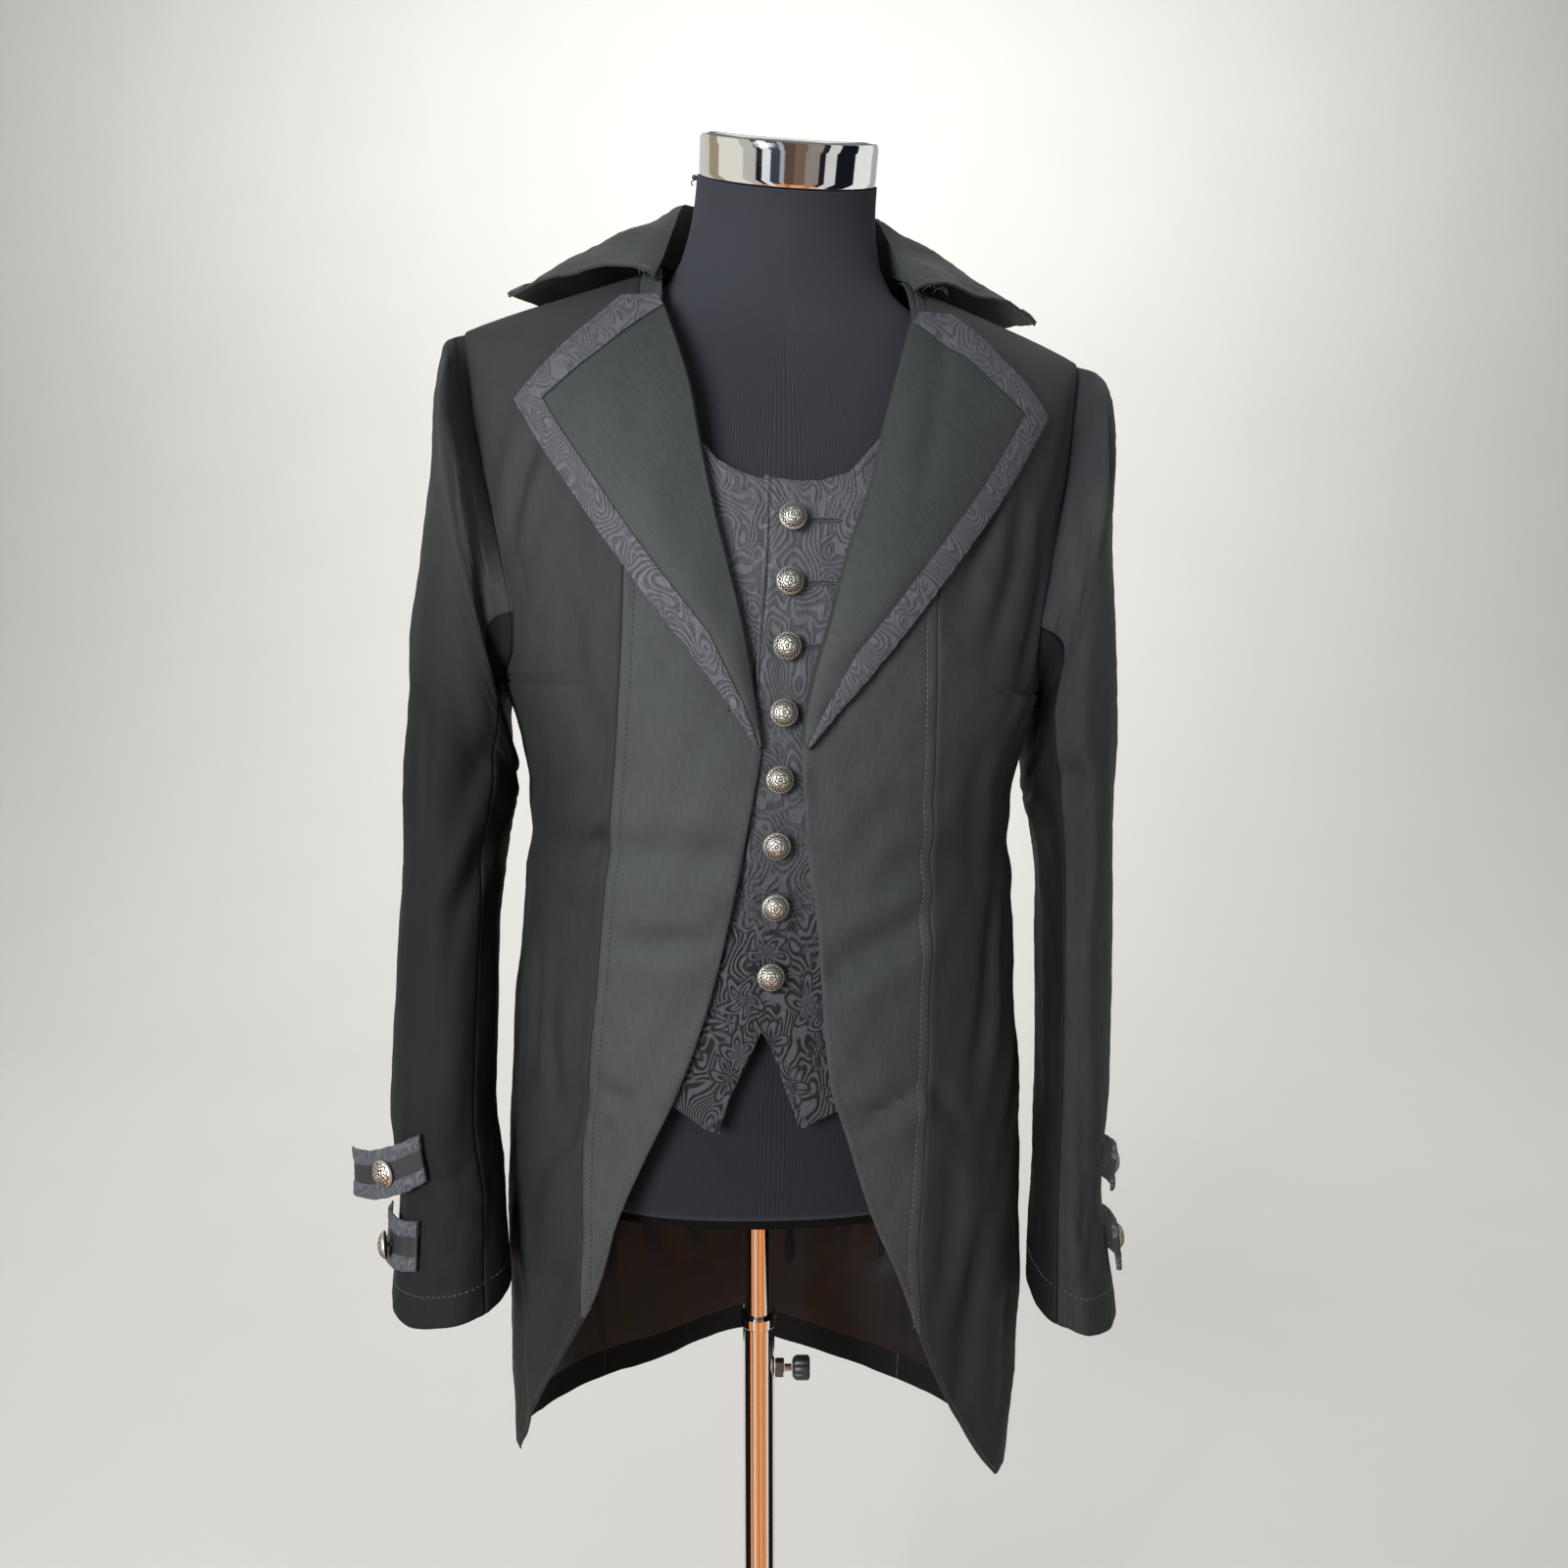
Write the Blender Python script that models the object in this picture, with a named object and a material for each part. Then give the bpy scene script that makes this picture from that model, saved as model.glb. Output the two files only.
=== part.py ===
"""Tailcoat-style jacket with a mock waistcoat front, on a limbless dress form
and a telescoping stand.  Metres, +Z up.  The front faces -Y, the wearer's left
is at +X.  The origin is the centre of the base's underside, on the pole's axis.
"""
import math

import bpy
import bmesh
import numpy as np

# ---------------------------------------------------------------- sizes (m)
CLOTH = 0.0016          # wall of the twill panels
SEAM = 0.00032          # gap between two sewn pieces
Z_ARM = 1.165           # underarm level, where the rings end and the ribs start
FLARE = 0.175           # how much a rib spreads from underarm to shoulder tip
RIDGE_Y = 0.010         # shoulder seam's place front to back

YAW = math.radians(5.2)      # the form stands turned a little to its left
LEAN = math.radians(1.47)    # and leans a little to its left
PIVOT_Z = 0.80

TUBE_LOW_R = 0.0125
TUBE_UP_R = 0.0105
TUBE_TOP_Z = 0.673
BASE_R = 0.150
CAP_R = 0.0625
CAP_H = 0.0285
CAP_TILT = math.radians(26.3)
CAP_CENTRE = (0.002, -0.020, 1.5215)

BUTTON_R = 0.0090
TAB_H = 0.034


# ------------------------------------------------------------ small helpers
def table(names, *rows):
    """Named columns from rows."""
    names = names.split()
    return {n: np.array([r[i] for r in rows], float) for i, n in enumerate(names)}


class Curve:
    """Shape-preserving cubic through the points of two columns."""

    def __init__(self, x, y):
        order = np.argsort(x)
        self.x = np.asarray(x, float)[order]
        self.y = np.asarray(y, float)[order]
        h = np.diff(self.x)
        d = np.diff(self.y) / h
        m = np.zeros_like(self.x)
        m[0], m[-1] = d[0], d[-1]
        for i in range(1, len(m) - 1):
            if d[i - 1] * d[i] > 0:
                w1, w2 = 2 * h[i] + h[i - 1], h[i] + 2 * h[i - 1]
                m[i] = (w1 + w2) / (w1 / d[i - 1] + w2 / d[i])
        self.m = m

    def __call__(self, q):
        q = np.clip(np.asarray(q, float), self.x[0], self.x[-1])
        i = np.clip(np.searchsorted(self.x, q, side="right") - 1, 0, len(self.x) - 2)
        h = self.x[i + 1] - self.x[i]
        t = (q - self.x[i]) / h
        return ((1 + 2 * t) * (1 - t) ** 2 * self.y[i] + t * (1 - t) ** 2 * h * self.m[i]
                + t * t * (3 - 2 * t) * self.y[i + 1] + t * t * (t - 1) * h * self.m[i + 1])


def lean_matrix():
    c, s = math.cos(YAW), math.sin(YAW)
    turn = np.array([[c, -s, 0], [s, c, 0], [0, 0, 1]])
    c, s = math.cos(LEAN), math.sin(LEAN)
    return np.array([[c, 0, s], [0, 1, 0], [-s, 0, c]]) @ turn


POSE = lean_matrix()


def place(p):
    """From the garment's own upright frame to where the form stands."""
    pivot = np.array([0, 0, PIVOT_Z])
    return (np.asarray(p, float) - pivot) @ POSE.T + pivot


# ------------------------------------------------------- the body's surface
# half-widths at +X (left) and -X (right), reach in front and behind, and the
# power of the ring's superellipse, from hem to underarm
BODY = table(
    "z      left    right   front   back    power",
    (0.540, 0.2040, 0.1840, 0.136, 0.128, 1.95),
    (0.620, 0.2065, 0.1855, 0.139, 0.124, 2.00),
    (0.690, 0.2060, 0.1870, 0.141, 0.120, 2.10),
    (0.780, 0.2030, 0.1890, 0.142, 0.116, 2.20),
    (0.860, 0.1975, 0.1880, 0.141, 0.112, 2.25),
    (0.940, 0.1910, 0.1835, 0.140, 0.106, 2.30),
    (1.020, 0.1835, 0.1765, 0.139, 0.101, 2.35),
    (1.090, 0.1790, 0.1735, 0.140, 0.101, 2.45),
    (1.130, 0.1850, 0.1810, 0.140, 0.104, 2.60),
    (1.165, 0.1930, 0.1920, 0.138, 0.108, 2.70),
)
LEFT = Curve(BODY["z"], BODY["left"])
RIGHT = Curve(BODY["z"], BODY["right"])
FRONT = Curve(BODY["z"], BODY["front"])
BACK = Curve(BODY["z"], BODY["back"])
POWER = Curve(BODY["z"], BODY["power"])

# shoulder ridge: height over half-width
RIDGE = table(
    "x      z",
    (0.000, 1.4780),
    (0.060, 1.4720),
    (0.085, 1.4640),
    (0.110, 1.4545),
    (0.150, 1.4410),
    (0.200, 1.4240),
    (0.228, 1.4130),
    (0.250, 1.4000),
)
RIDGE_Z = Curve(RIDGE["x"], RIDGE["z"])
# how far behind the shoulder ridge the ribs end, round the back of the neck
NAPE = table(
    "x      reach",
    (0.000, 0.0640), (0.020, 0.0610), (0.040, 0.0500), (0.060, 0.0310),
    (0.080, 0.0110), (0.100, 0.0015), (0.120, 0.0000), (0.260, 0.0000),
)
NAPE_Y = Curve(NAPE["x"], NAPE["reach"])

# height of the hem over the angle from centre front, + on the left
HEM = table(
    "angle  z",
    (-180, 0.588),
    (-150, 0.566),
    (-115, 0.566),
    (-75, 0.590),
    (0, 0.600),
    (75, 0.569),
    (115, 0.548),
    (150, 0.560),
    (180, 0.588),
)
HEM_Z = Curve(np.radians(HEM["angle"]), HEM["z"])


def ring(theta, z):
    s, c = np.sin(theta), np.cos(theta)
    a = np.where(s >= 0, LEFT(z), RIGHT(z))
    d = np.where(c >= 0, FRONT(z), BACK(z))
    p = 2.0 / POWER(z)
    return a * np.sign(s) * np.abs(s) ** p, -d * np.sign(c) * np.abs(c) ** p


def skin(theta, v, off=0.0):
    """Point of the jacket's outer surface: v 0 at the hem, 1 at the underarm
    level and 2 at the shoulder seam; off moves it out along the normal."""
    theta = np.asarray(theta, float)
    v = np.asarray(v, float)
    hem = HEM_Z(theta)
    zl = hem + (Z_ARM - hem) * np.clip(v, 0, 1)
    xl, yl = ring(theta, zl)
    phi = np.clip(v - 1, 0, 1) * math.pi / 2
    xa, ya = ring(theta, Z_ARM)
    a = np.where(xa >= 0, LEFT(Z_ARM), RIGHT(Z_ARM))
    xt = xa * (1 + FLARE * (xa / a) ** 2)
    zt = RIDGE_Z(np.abs(xt))
    yt = RIDGE_Y + np.where(np.cos(theta) >= 0, 0.0, NAPE_Y(np.abs(xt)))
    xu = xa + (xt - xa) * np.sin(phi)
    yu = yt + (ya - yt) * np.cos(phi)
    zu = Z_ARM + (zt - Z_ARM) * np.sin(phi)
    low = v <= 1
    p = np.stack([np.where(low, xl, xu), np.where(low, yl, yu), np.where(low, zl, zu)], -1)
    if np.any(np.asarray(off) != 0):
        p = p + skin_normal(theta, v) * np.asarray(off)[..., None]
    return p


def skin_normal(theta, v):
    e = 0.004
    v = np.asarray(v, float)
    up, down = np.clip(v + e, 0, 2), np.clip(v - e, 0, 2)
    n = np.cross(skin(theta + e, v) - skin(theta - e, v), skin(theta, up) - skin(theta, down))
    n /= np.linalg.norm(n, axis=-1, keepdims=True)
    return n


def angle_at(x, v, back=False):
    """The angle whose point on row v has this x."""
    x = np.asarray(x, float) + 0 * np.asarray(v, float)
    v = np.asarray(v, float) + 0 * x
    side = np.where(x >= 0, 1.0, -1.0)
    theta = side * (2.2 if back else 0.9)
    for _ in range(14):
        hem = HEM_Z(theta)
        z = np.where(v <= 1, hem + (Z_ARM - hem) * np.clip(v, 0, 1), Z_ARM)
        a = np.where(x >= 0, LEFT(z), RIGHT(z))
        phi = np.clip(v - 1, 0, 1) * math.pi / 2
        xa, _y = ring(theta, Z_ARM)
        aa = np.where(x >= 0, LEFT(Z_ARM), RIGHT(Z_ARM))
        want = np.abs(x) / (1 + FLARE * (xa / aa) ** 2 * np.sin(phi))
        s = np.clip(want / a, 0, 1) ** (POWER(z) / 2)
        t = np.arcsin(s)
        theta = side * np.where(back, math.pi - t, t)
    return theta


def row_of(theta, z):
    """The row v at which this angle's rib has height z."""
    lo, hi = np.zeros_like(theta), np.full_like(theta, 2.0)
    for _ in range(30):
        mid = (lo + hi) / 2
        high = skin(theta, mid)[..., 2] > z
        hi = np.where(high, mid, hi)
        lo = np.where(high, lo, mid)
    return (lo + hi) / 2


def front_at(x, z, off=0.0):
    """Point of the front surface over (x, z), moved out along its normal."""
    x = np.asarray(x, float)
    z = np.asarray(z, float)
    v = np.clip((z - 0.58) / (Z_ARM - 0.58), 0, 2) + 0 * x
    for _ in range(12):
        theta = angle_at(x, v)
        v = row_of(theta, z)
    return skin(theta, v, off)


# ------------------------------------------------ edges and seams, x over z
EDGE_R = table(   # wearer's right front edge, below the lapel
    "z      x",
    (1.135, -0.0150), (1.089, -0.0210), (1.026, -0.0315), (0.965, -0.0445),
    (0.905, -0.0635), (0.853, -0.0860), (0.810, -0.1030), (0.748, -0.1200),
    (0.705, -0.1380), (0.662, -0.1570), (0.621, -0.1700), (0.592, -0.1780),
)
EDGE_L = table(
    "z      x",
    (1.135, 0.0108), (1.075, 0.0145), (1.020, 0.0228), (0.983, 0.0270),
    (0.945, 0.0302), (0.907, 0.0355), (0.876, 0.0460), (0.816, 0.0665),
    (0.768, 0.0880), (0.730, 0.1020), (0.692, 0.1180), (0.643, 0.1430),
    (0.607, 0.1620), (0.562, 0.1890),
)
ROLL_R = table(   # roll line of the lapel: the front panel's edge above the waist
    "z      x",
    (1.135, -0.0150), (1.1615, -0.0206), (1.201, -0.0279), (1.244, -0.0389),
    (1.278, -0.0479), (1.323, -0.0576), (1.358, -0.0640), (1.423, -0.0835),
    (1.466, -0.0850),
)
ROLL_L = table(
    "z      x",
    (1.135, 0.0108), (1.1525, 0.0127), (1.181, 0.0183), (1.213, 0.0273),
    (1.256, 0.0380), (1.303, 0.0537), (1.335, 0.0613), (1.418, 0.0860),
    (1.466, 0.0870),
)
PRINCESS_R = table(
    "z      x",
    (1.470, -0.1000), (1.360, -0.0980), (1.2357, -0.1045), (1.178, -0.1058),
    (1.119, -0.1091), (1.043, -0.1135), (0.926, -0.1227), (0.827, -0.1275),
    (0.738, -0.1275),
)
PRINCESS_L = table(
    "z      x",
    (1.470, 0.1010), (1.360, 0.0960), (1.219, 0.0978), (1.045, 0.1015),
    (0.925, 0.1039), (0.863, 0.1034), (0.789, 0.1010), (0.727, 0.1065),
)
PRINCESS_END = {-1: 0.735, 1: 0.725}     # height where it runs out at the front edge


def line(tab):
    return Curve(tab["z"], tab["x"])


FRONT_LINE = {-1: line({k: np.concatenate([EDGE_R[k], ROLL_R[k][1:]]) for k in ("z", "x")}),
              1: line({k: np.concatenate([EDGE_L[k], ROLL_L[k][1:]]) for k in ("z", "x")})}
PRINCESS = {-1: line(PRINCESS_R), 1: line(PRINCESS_L)}

# armhole: angle of its front and back edge over the row above underarm level
ARMHOLE = table(
    "u      front  back",
    (0.000, 90.0, 90.0),
    (0.020, 72.0, 106.0),
    (0.060, 64.0, 114.0),
    (0.120, 62.5, 118.0),
    (0.220, 66.0, 119.0),
    (0.350, 71.5, 116.0),
    (0.500, 77.0, 111.0),
    (0.660, 82.0, 104.0),
    (0.830, 86.0, 96.5),
    (1.000, 88.0, 92.0),
)
ARM_FRONT = Curve(ARMHOLE["u"], np.radians(ARMHOLE["front"]))
ARM_BACK = Curve(ARMHOLE["u"], np.radians(ARMHOLE["back"]))
BACK_SEAM = table(   # back princess seam: angle over row
    "v      angle",
    (0.00, 138), (0.60, 140), (1.00, 139), (1.25, 132), (1.42, 116),
)
BACK_ANGLE = Curve(BACK_SEAM["v"], np.radians(BACK_SEAM["angle"]))

ROWS_LOW = np.array([0.0, 0.10, 0.21, 0.33, 0.45, 0.57, 0.68, 0.79, 0.90, 1.0])
ROWS_UP = 1 + ARMHOLE["u"][1:]
SIDE = math.pi / 2
TOP_V = 2.0


# -------------------------------------------------------------- mesh making
def add_object(name, verts, faces, colour, rough, metal=0.0, smooth=50):
    mesh = bpy.data.meshes.new(name)
    mesh.from_pydata([tuple(map(float, v)) for v in verts], [], faces)
    bm = bmesh.new()
    bm.from_mesh(mesh)
    bmesh.ops.remove_doubles(bm, verts=bm.verts, dist=0.00001)
    bmesh.ops.recalc_face_normals(bm, faces=bm.faces)
    if bm.calc_volume(signed=True) < 0:
        bmesh.ops.reverse_faces(bm, faces=bm.faces)
    bmesh.ops.triangulate(bm, faces=[f for f in bm.faces if len(f.verts) == 4])
    bm.to_mesh(mesh)
    bm.free()
    mesh.shade_smooth()
    mesh.set_sharp_from_angle(angle=math.radians(smooth))
    obj = bpy.data.objects.new(name, mesh)
    bpy.context.scene.collection.objects.link(obj)
    mat = bpy.data.materials.new(name)
    mat.use_nodes = True
    bsdf = mat.node_tree.nodes["Principled BSDF"]
    bsdf.inputs["Base Color"].default_value = (*colour, 1)
    bsdf.inputs["Roughness"].default_value = rough
    bsdf.inputs["Metallic"].default_value = metal
    mesh.materials.append(mat)
    return obj


def wall(name, outer, inner, colour, rough, cells=None, metal=0.0, wrap=False, posed=True):
    """A closed wall from an outer and an inner grid of points, on the marked
    cells.  wrap joins the last column to the first."""
    outer, inner = np.asarray(outer, float), np.asarray(inner, float)
    if posed:
        outer, inner = place(outer), place(inner)
    m, n = outer.shape[:2]
    cols = n if wrap else n - 1
    if cells is None:
        cells = np.ones((m - 1, cols), bool)
    k = m * n
    verts = np.concatenate([outer.reshape(-1, 3), inner.reshape(-1, 3)])

    def at(i, j):
        return i * n + j % n

    faces = []
    for i in range(m - 1):
        for j in range(cols):
            if not cells[i, j]:
                continue
            q = [at(i, j), at(i, j + 1), at(i + 1, j + 1), at(i + 1, j)]
            faces.append(q)
            faces.append([k + a for a in reversed(q)])
            near = ((i - 1, j, q[0], q[1]), (i + 1, j, q[2], q[3]),
                    (i, j - 1, q[3], q[0]), (i, j + 1, q[1], q[2]))
            for a, b, p0, p1 in near:
                b = b % cols if wrap else b
                if not (0 <= a < m - 1 and 0 <= b < cols and cells[a, b]):
                    faces.append([p1, p0, k + p0, k + p1])
    used = sorted({a for f in faces for a in f})
    new = {a: i for i, a in enumerate(used)}
    clean = []
    for f in faces:
        g = [new[a] for a in f]
        clean.append(g)
    return add_object(name, verts[used], clean, colour, rough, metal)


def blend_rows(a, b, n):
    """n+1 columns from the points a to the points b, row by row."""
    t = np.linspace(0, 1, n + 1)[None, :]
    return a[:, None] * (1 - t) + b[:, None] * t


TWILL = (0.030, 0.034, 0.034)
JACQUARD = (0.066, 0.070, 0.086)
SATIN = (0.014, 0.016, 0.022)
JERSEY = (0.024, 0.027, 0.038)
SILVER = (0.60, 0.58, 0.54)
CHROME = (0.80, 0.80, 0.80)


def shifted(theta, v, metres):
    """The angle moved along the ring by a length."""
    e = 0.01
    speed = np.linalg.norm(skin(theta + e, v) - skin(theta - e, v), axis=-1) / (2 * e)
    return theta + metres / np.maximum(speed, 0.02)


def panel(name, left, right, v, columns, off=0.0, thick=CLOTH, colour=TWILL, rough=0.8, gap=True):
    """A panel between two rows of angles, left < right."""
    half = SEAM / 2 if gap else 0.0
    a = shifted(left, v, half)
    b = shifted(right, v, -half)
    theta = blend_rows(a, b, columns)
    rows = np.repeat(v[:, None], theta.shape[1], 1)
    outer, inner = skin(theta, rows, off), skin(theta, rows, off - thick)
    if v[-1] >= TOP_V:      # the shoulder seam: square to the ridge, with its gap
        shift = -SEAM / 2 if abs(theta[-1].mean()) < SIDE else SEAM / 2
        outer[-1, :, 1] += shift
        inner[-1] = outer[-1] - np.array([0, 0, thick])
    return wall(name, outer, inner, colour, rough)


# ------------------------------------------------------------------- panels
def start():
    for obj in list(bpy.data.objects):
        bpy.data.objects.remove(obj, do_unlink=True)


NAMES = {-1: "right", 1: "left"}


def line_angle(curve, v, side):
    """Angles at which the rows v cross a line given as x over z."""
    theta = angle_at(side * 0.1 * np.ones_like(v), v)
    for _ in range(25):
        z = skin(theta, v)[:, 2]
        theta = 0.4 * theta + 0.6 * angle_at(curve(z), v)
    return theta


def row_for_height(curve, z, side):
    """The row at which a line reaches this height."""
    x = curve(z)
    v = np.array([0.3])
    for _ in range(20):
        theta = angle_at(np.array([float(x)]), v)
        v = row_of(theta, z)
    return float(v[0])


def between(lo, hi, rows, least=0.02):
    inside = [r for r in rows if lo + least < r < hi - least]
    return np.array([lo] + inside + [hi])


def build_body():
    for side in (-1, 1):
        tag = NAMES[side]
        edge, prin = FRONT_LINE[side], PRINCESS[side]
        end_v = row_for_height(prin, PRINCESS_END[side], side)
        all_rows = np.concatenate([ROWS_LOW, ROWS_UP])
        # front panel: from where the princess seam runs out, up to the neck
        rows = between(end_v, TOP_V, all_rows)
        a, b = line_angle(edge, rows, side), line_angle(prin, rows, side)
        b = np.where(np.abs(b) < np.abs(a) + 0.012, a + side * 0.012, b)
        lo, hi = (a, b) if side > 0 else (b, a)
        panel("front_" + tag, lo, hi, rows, 5)
        # side front: princess seam, or the front edge below it, to the side seam
        rows = between(end_v, TOP_V, all_rows)
        rows = np.concatenate([[r for r in ROWS_LOW if r < end_v - 0.02], rows])
        edge_a = line_angle(edge, rows, side)
        prin_a = line_angle(prin, rows, side)
        prin_a = np.where(np.abs(prin_a) < np.abs(edge_a) + 0.012, edge_a + side * 0.012, prin_a)
        a = np.where(rows < end_v - 1e-6, edge_a, prin_a)
        b = side * np.where(rows <= 1, SIDE, ARM_FRONT(rows - 1))
        lo, hi = (a, b) if side > 0 else (b, a)
        panel("side_front_" + tag, lo, hi, rows, 4)
        # side back: side seam to back princess seam, which ends in the armhole
        top = 1.35
        rows = between(0.0, top, all_rows)
        a = side * np.where(rows <= 1, SIDE, ARM_BACK(rows - 1))
        b = side * BACK_ANGLE(rows)
        b = np.where(np.abs(b) < np.abs(a) + 0.02, a + side * 0.02, b)
        lo, hi = (a, b) if side > 0 else (b, a)
        panel("side_back_" + tag, lo, hi, rows, 3)
        # back: back princess seam, or the armhole above it, to centre back
        rows = np.unique(np.concatenate([between(0.0, TOP_V, all_rows), [top]]))
        seam = np.abs(side * BACK_ANGLE(rows))
        arm = np.where(rows <= 1, SIDE, ARM_BACK(rows - 1))
        inner = np.where(rows <= top + 1e-6, np.maximum(seam, arm + 0.02), arm)
        a = side * inner
        b = side * math.pi * np.ones_like(rows)
        lo, hi = (a, b) if side > 0 else (b, a)
        panel("back_" + tag, lo, hi, rows, 5)


def build_lining():
    """Satin lining inside the back of the skirt, above the twill facing."""
    v = np.array([0.045, 0.12, 0.21, 0.30, 0.39, 0.47])
    a, b = math.radians(98), math.radians(262)
    theta = np.repeat(np.linspace(a, b, 15)[None, :], len(v), 0)
    theta = np.where(theta > math.pi, theta - 2 * math.pi, theta)
    rows = np.repeat(v[:, None], theta.shape[1], 1)
    wall("back_lining", skin(theta, rows, -0.0046), skin(theta, rows, -0.0058), SATIN, 0.4)


# ------------------------------------------------------------------ sleeves
SLEEVE = {
    -1: table(
        "z_out  x_out   z_in   x_in    y_mid   depth",
        (1.412, 0.2345, 1.166, 0.1935, -0.010, 0.071),
        (1.403, 0.2400, 1.150, 0.1930, -0.008, 0.075),
        (1.355, 0.2430, 1.130, 0.1895, -0.006, 0.078),
        (1.280, 0.2510, 1.105, 0.1850, -0.006, 0.078),
        (1.200, 0.2605, 1.080, 0.1860, -0.007, 0.075),
        (1.120, 0.2640, 1.045, 0.1925, -0.009, 0.072),
        (1.020, 0.2660, 0.995, 0.1960, -0.015, 0.068),
        (0.880, 0.2705, 0.880, 0.1955, -0.034, 0.061),
        (0.800, 0.2615, 0.812, 0.1870, -0.044, 0.057),
        (0.722, 0.2655, 0.740, 0.1820, -0.056, 0.055),
    ),
    1: table(
        "z_out  x_out   z_in   x_in    y_mid   depth",
        (1.412, 0.2370, 1.166, 0.1950, -0.010, 0.071),
        (1.403, 0.2430, 1.150, 0.1950, -0.008, 0.075),
        (1.355, 0.2460, 1.130, 0.1940, -0.006, 0.078),
        (1.280, 0.2530, 1.105, 0.1945, -0.006, 0.078),
        (1.200, 0.2600, 1.080, 0.1990, -0.007, 0.075),
        (1.120, 0.2620, 1.045, 0.2065, -0.009, 0.072),
        (1.020, 0.2630, 0.995, 0.2090, -0.015, 0.068),
        (0.880, 0.2610, 0.880, 0.2075, -0.034, 0.061),
        (0.800, 0.2570, 0.812, 0.2055, -0.044, 0.057),
        (0.708, 0.2685, 0.720, 0.2025, -0.056, 0.055),
    ),
}
SLEEVE_TURN = math.radians(10)      # the sleeve's front is turned in towards the body
SLEEVE_POWER = 2.15
FADE_END = 0.26
SLEEVE_W = np.array([0.0, 0.05, 0.111, 0.20, 0.31, 0.42, 0.54, 0.66, 0.78, 0.89, 1.0])
FRONT_SEAM = math.radians(118)      # seam lines round the sleeve, from its outer side
BACK_SEAM_A = math.radians(-112)


def armhole_ring(side):
    """The armhole's points, from the shoulder down the front, under the arm
    and up the back, with the angle of each round the sleeve."""
    u = ARMHOLE["u"]
    down = u[::-1]
    front = skin(side * ARM_FRONT(down), 1 + down)
    back = skin(side * ARM_BACK(u[1:]), 1 + u[1:])
    pts = np.concatenate([front, back])
    arc = np.concatenate([[0], np.cumsum(np.linalg.norm(np.diff(pts, axis=0), axis=1))])
    k = len(down) - 1
    alpha = np.concatenate([math.pi * arc[:k + 1] / arc[k],
                            math.pi * (1 + (arc[k + 1:] - arc[k]) / (arc[-1] - arc[k]))])
    return pts, alpha


def sleeve_point(side, w, alpha, hole, off=0.0, hole_off=0.0006):
    """Point of the sleeve: w 0 at the armhole and 1 at the cuff, alpha 0 at the
    outer side, a quarter turn at the front.  hole holds the armhole's point for
    this alpha."""
    tab = SLEEVE[side]
    k = np.linspace(0, 1, len(tab["z_out"]))
    zo, xo, zi, xi, ym, dp = (Curve(k, tab[n])(w) for n in
                              ("z_out", "x_out", "z_in", "x_in", "y_mid", "depth"))
    q = 2.0 / SLEEVE_POWER
    c, s = np.cos(alpha), np.sin(alpha)
    c = np.sign(c) * np.abs(c) ** q
    s = np.sign(s) * np.abs(s) ** q
    x = (xo + xi) / 2 + ((xo - xi) / 2 + off) * c
    z = (zo + zi) / 2 + (zo - zi) / 2 * c
    y = ym - (dp + off) * s
    turn = SLEEVE_TURN * np.clip(np.asarray(w) / 0.3, 0, 1) ** 2
    x = x - np.sin(turn) * (dp + off) * s
    p = np.stack([side * x, y, z], -1)
    at0 = sleeve_row0(side, alpha)
    fade = np.clip(1 - w / FADE_END, 0, 1) ** 2
    return p + (hole + np.array([side * hole_off, 0, 0]) - at0) * np.asarray(fade)[..., None]


def sleeve_row0(side, alpha):
    tab = SLEEVE[side]
    q = 2.0 / SLEEVE_POWER
    c, s = np.cos(alpha), np.sin(alpha)
    c = np.sign(c) * np.abs(c) ** q
    s = np.sign(s) * np.abs(s) ** q
    zo, xo, zi, xi = (tab[n][0] for n in ("z_out", "x_out", "z_in", "x_in"))
    return np.stack([side * ((xo + xi) / 2 + (xo - xi) / 2 * c),
                     tab["y_mid"][0] - tab["depth"][0] * s,
                     (zo + zi) / 2 + (zo - zi) / 2 * c], -1)


def build_sleeves():
    for side in (-1, 1):
        tag = NAMES[side]
        pts, alpha = armhole_ring(side)
        pts, alpha = pts[:-1], alpha[:-1]
        w = np.repeat(SLEEVE_W[:, None], len(alpha), 1)
        al = np.repeat(alpha[None, :], len(SLEEVE_W), 0)
        hole = np.repeat(pts[None], len(SLEEVE_W), 0)
        outer = sleeve_point(side, w, al, hole)
        inner = sleeve_point(side, w, al, hole, off=-CLOTH)
        # the wall at the armhole turns with the shoulder, so its inner ring
        # is drawn in towards the hole's middle
        mid = pts.mean(0)
        for i, ww in enumerate(SLEEVE_W):
            k = max(0.0, 1 - ww / FADE_END)
            d = mid[None] - pts
            d[:, 0] = 0
            d /= np.linalg.norm(d, axis=1, keepdims=True)
            drawn = outer[i] + d * CLOTH
            inner[i] = inner[i] * (1 - k) + drawn * k
        front = int(np.argmin(np.abs(alpha - FRONT_SEAM)))
        back = int(np.argmin(np.abs(alpha - (2 * math.pi + BACK_SEAM_A))))
        for name, idx in (("top_sleeve_" + tag, list(range(back, len(alpha))) + list(range(0, front + 1))),
                          ("under_sleeve_" + tag, list(range(front, back + 1)))):
            o, i = outer[:, idx].copy(), inner[:, idx].copy()
            for grid in (o, i):
                for end, nxt in ((0, 1), (-1, -2)):
                    d = grid[:, nxt] - grid[:, end]
                    d /= np.linalg.norm(d, axis=1, keepdims=True)
                    grid[:, end] += d * SEAM * 1.3
            wall(name, o, i, TWILL, 0.8)


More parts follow.
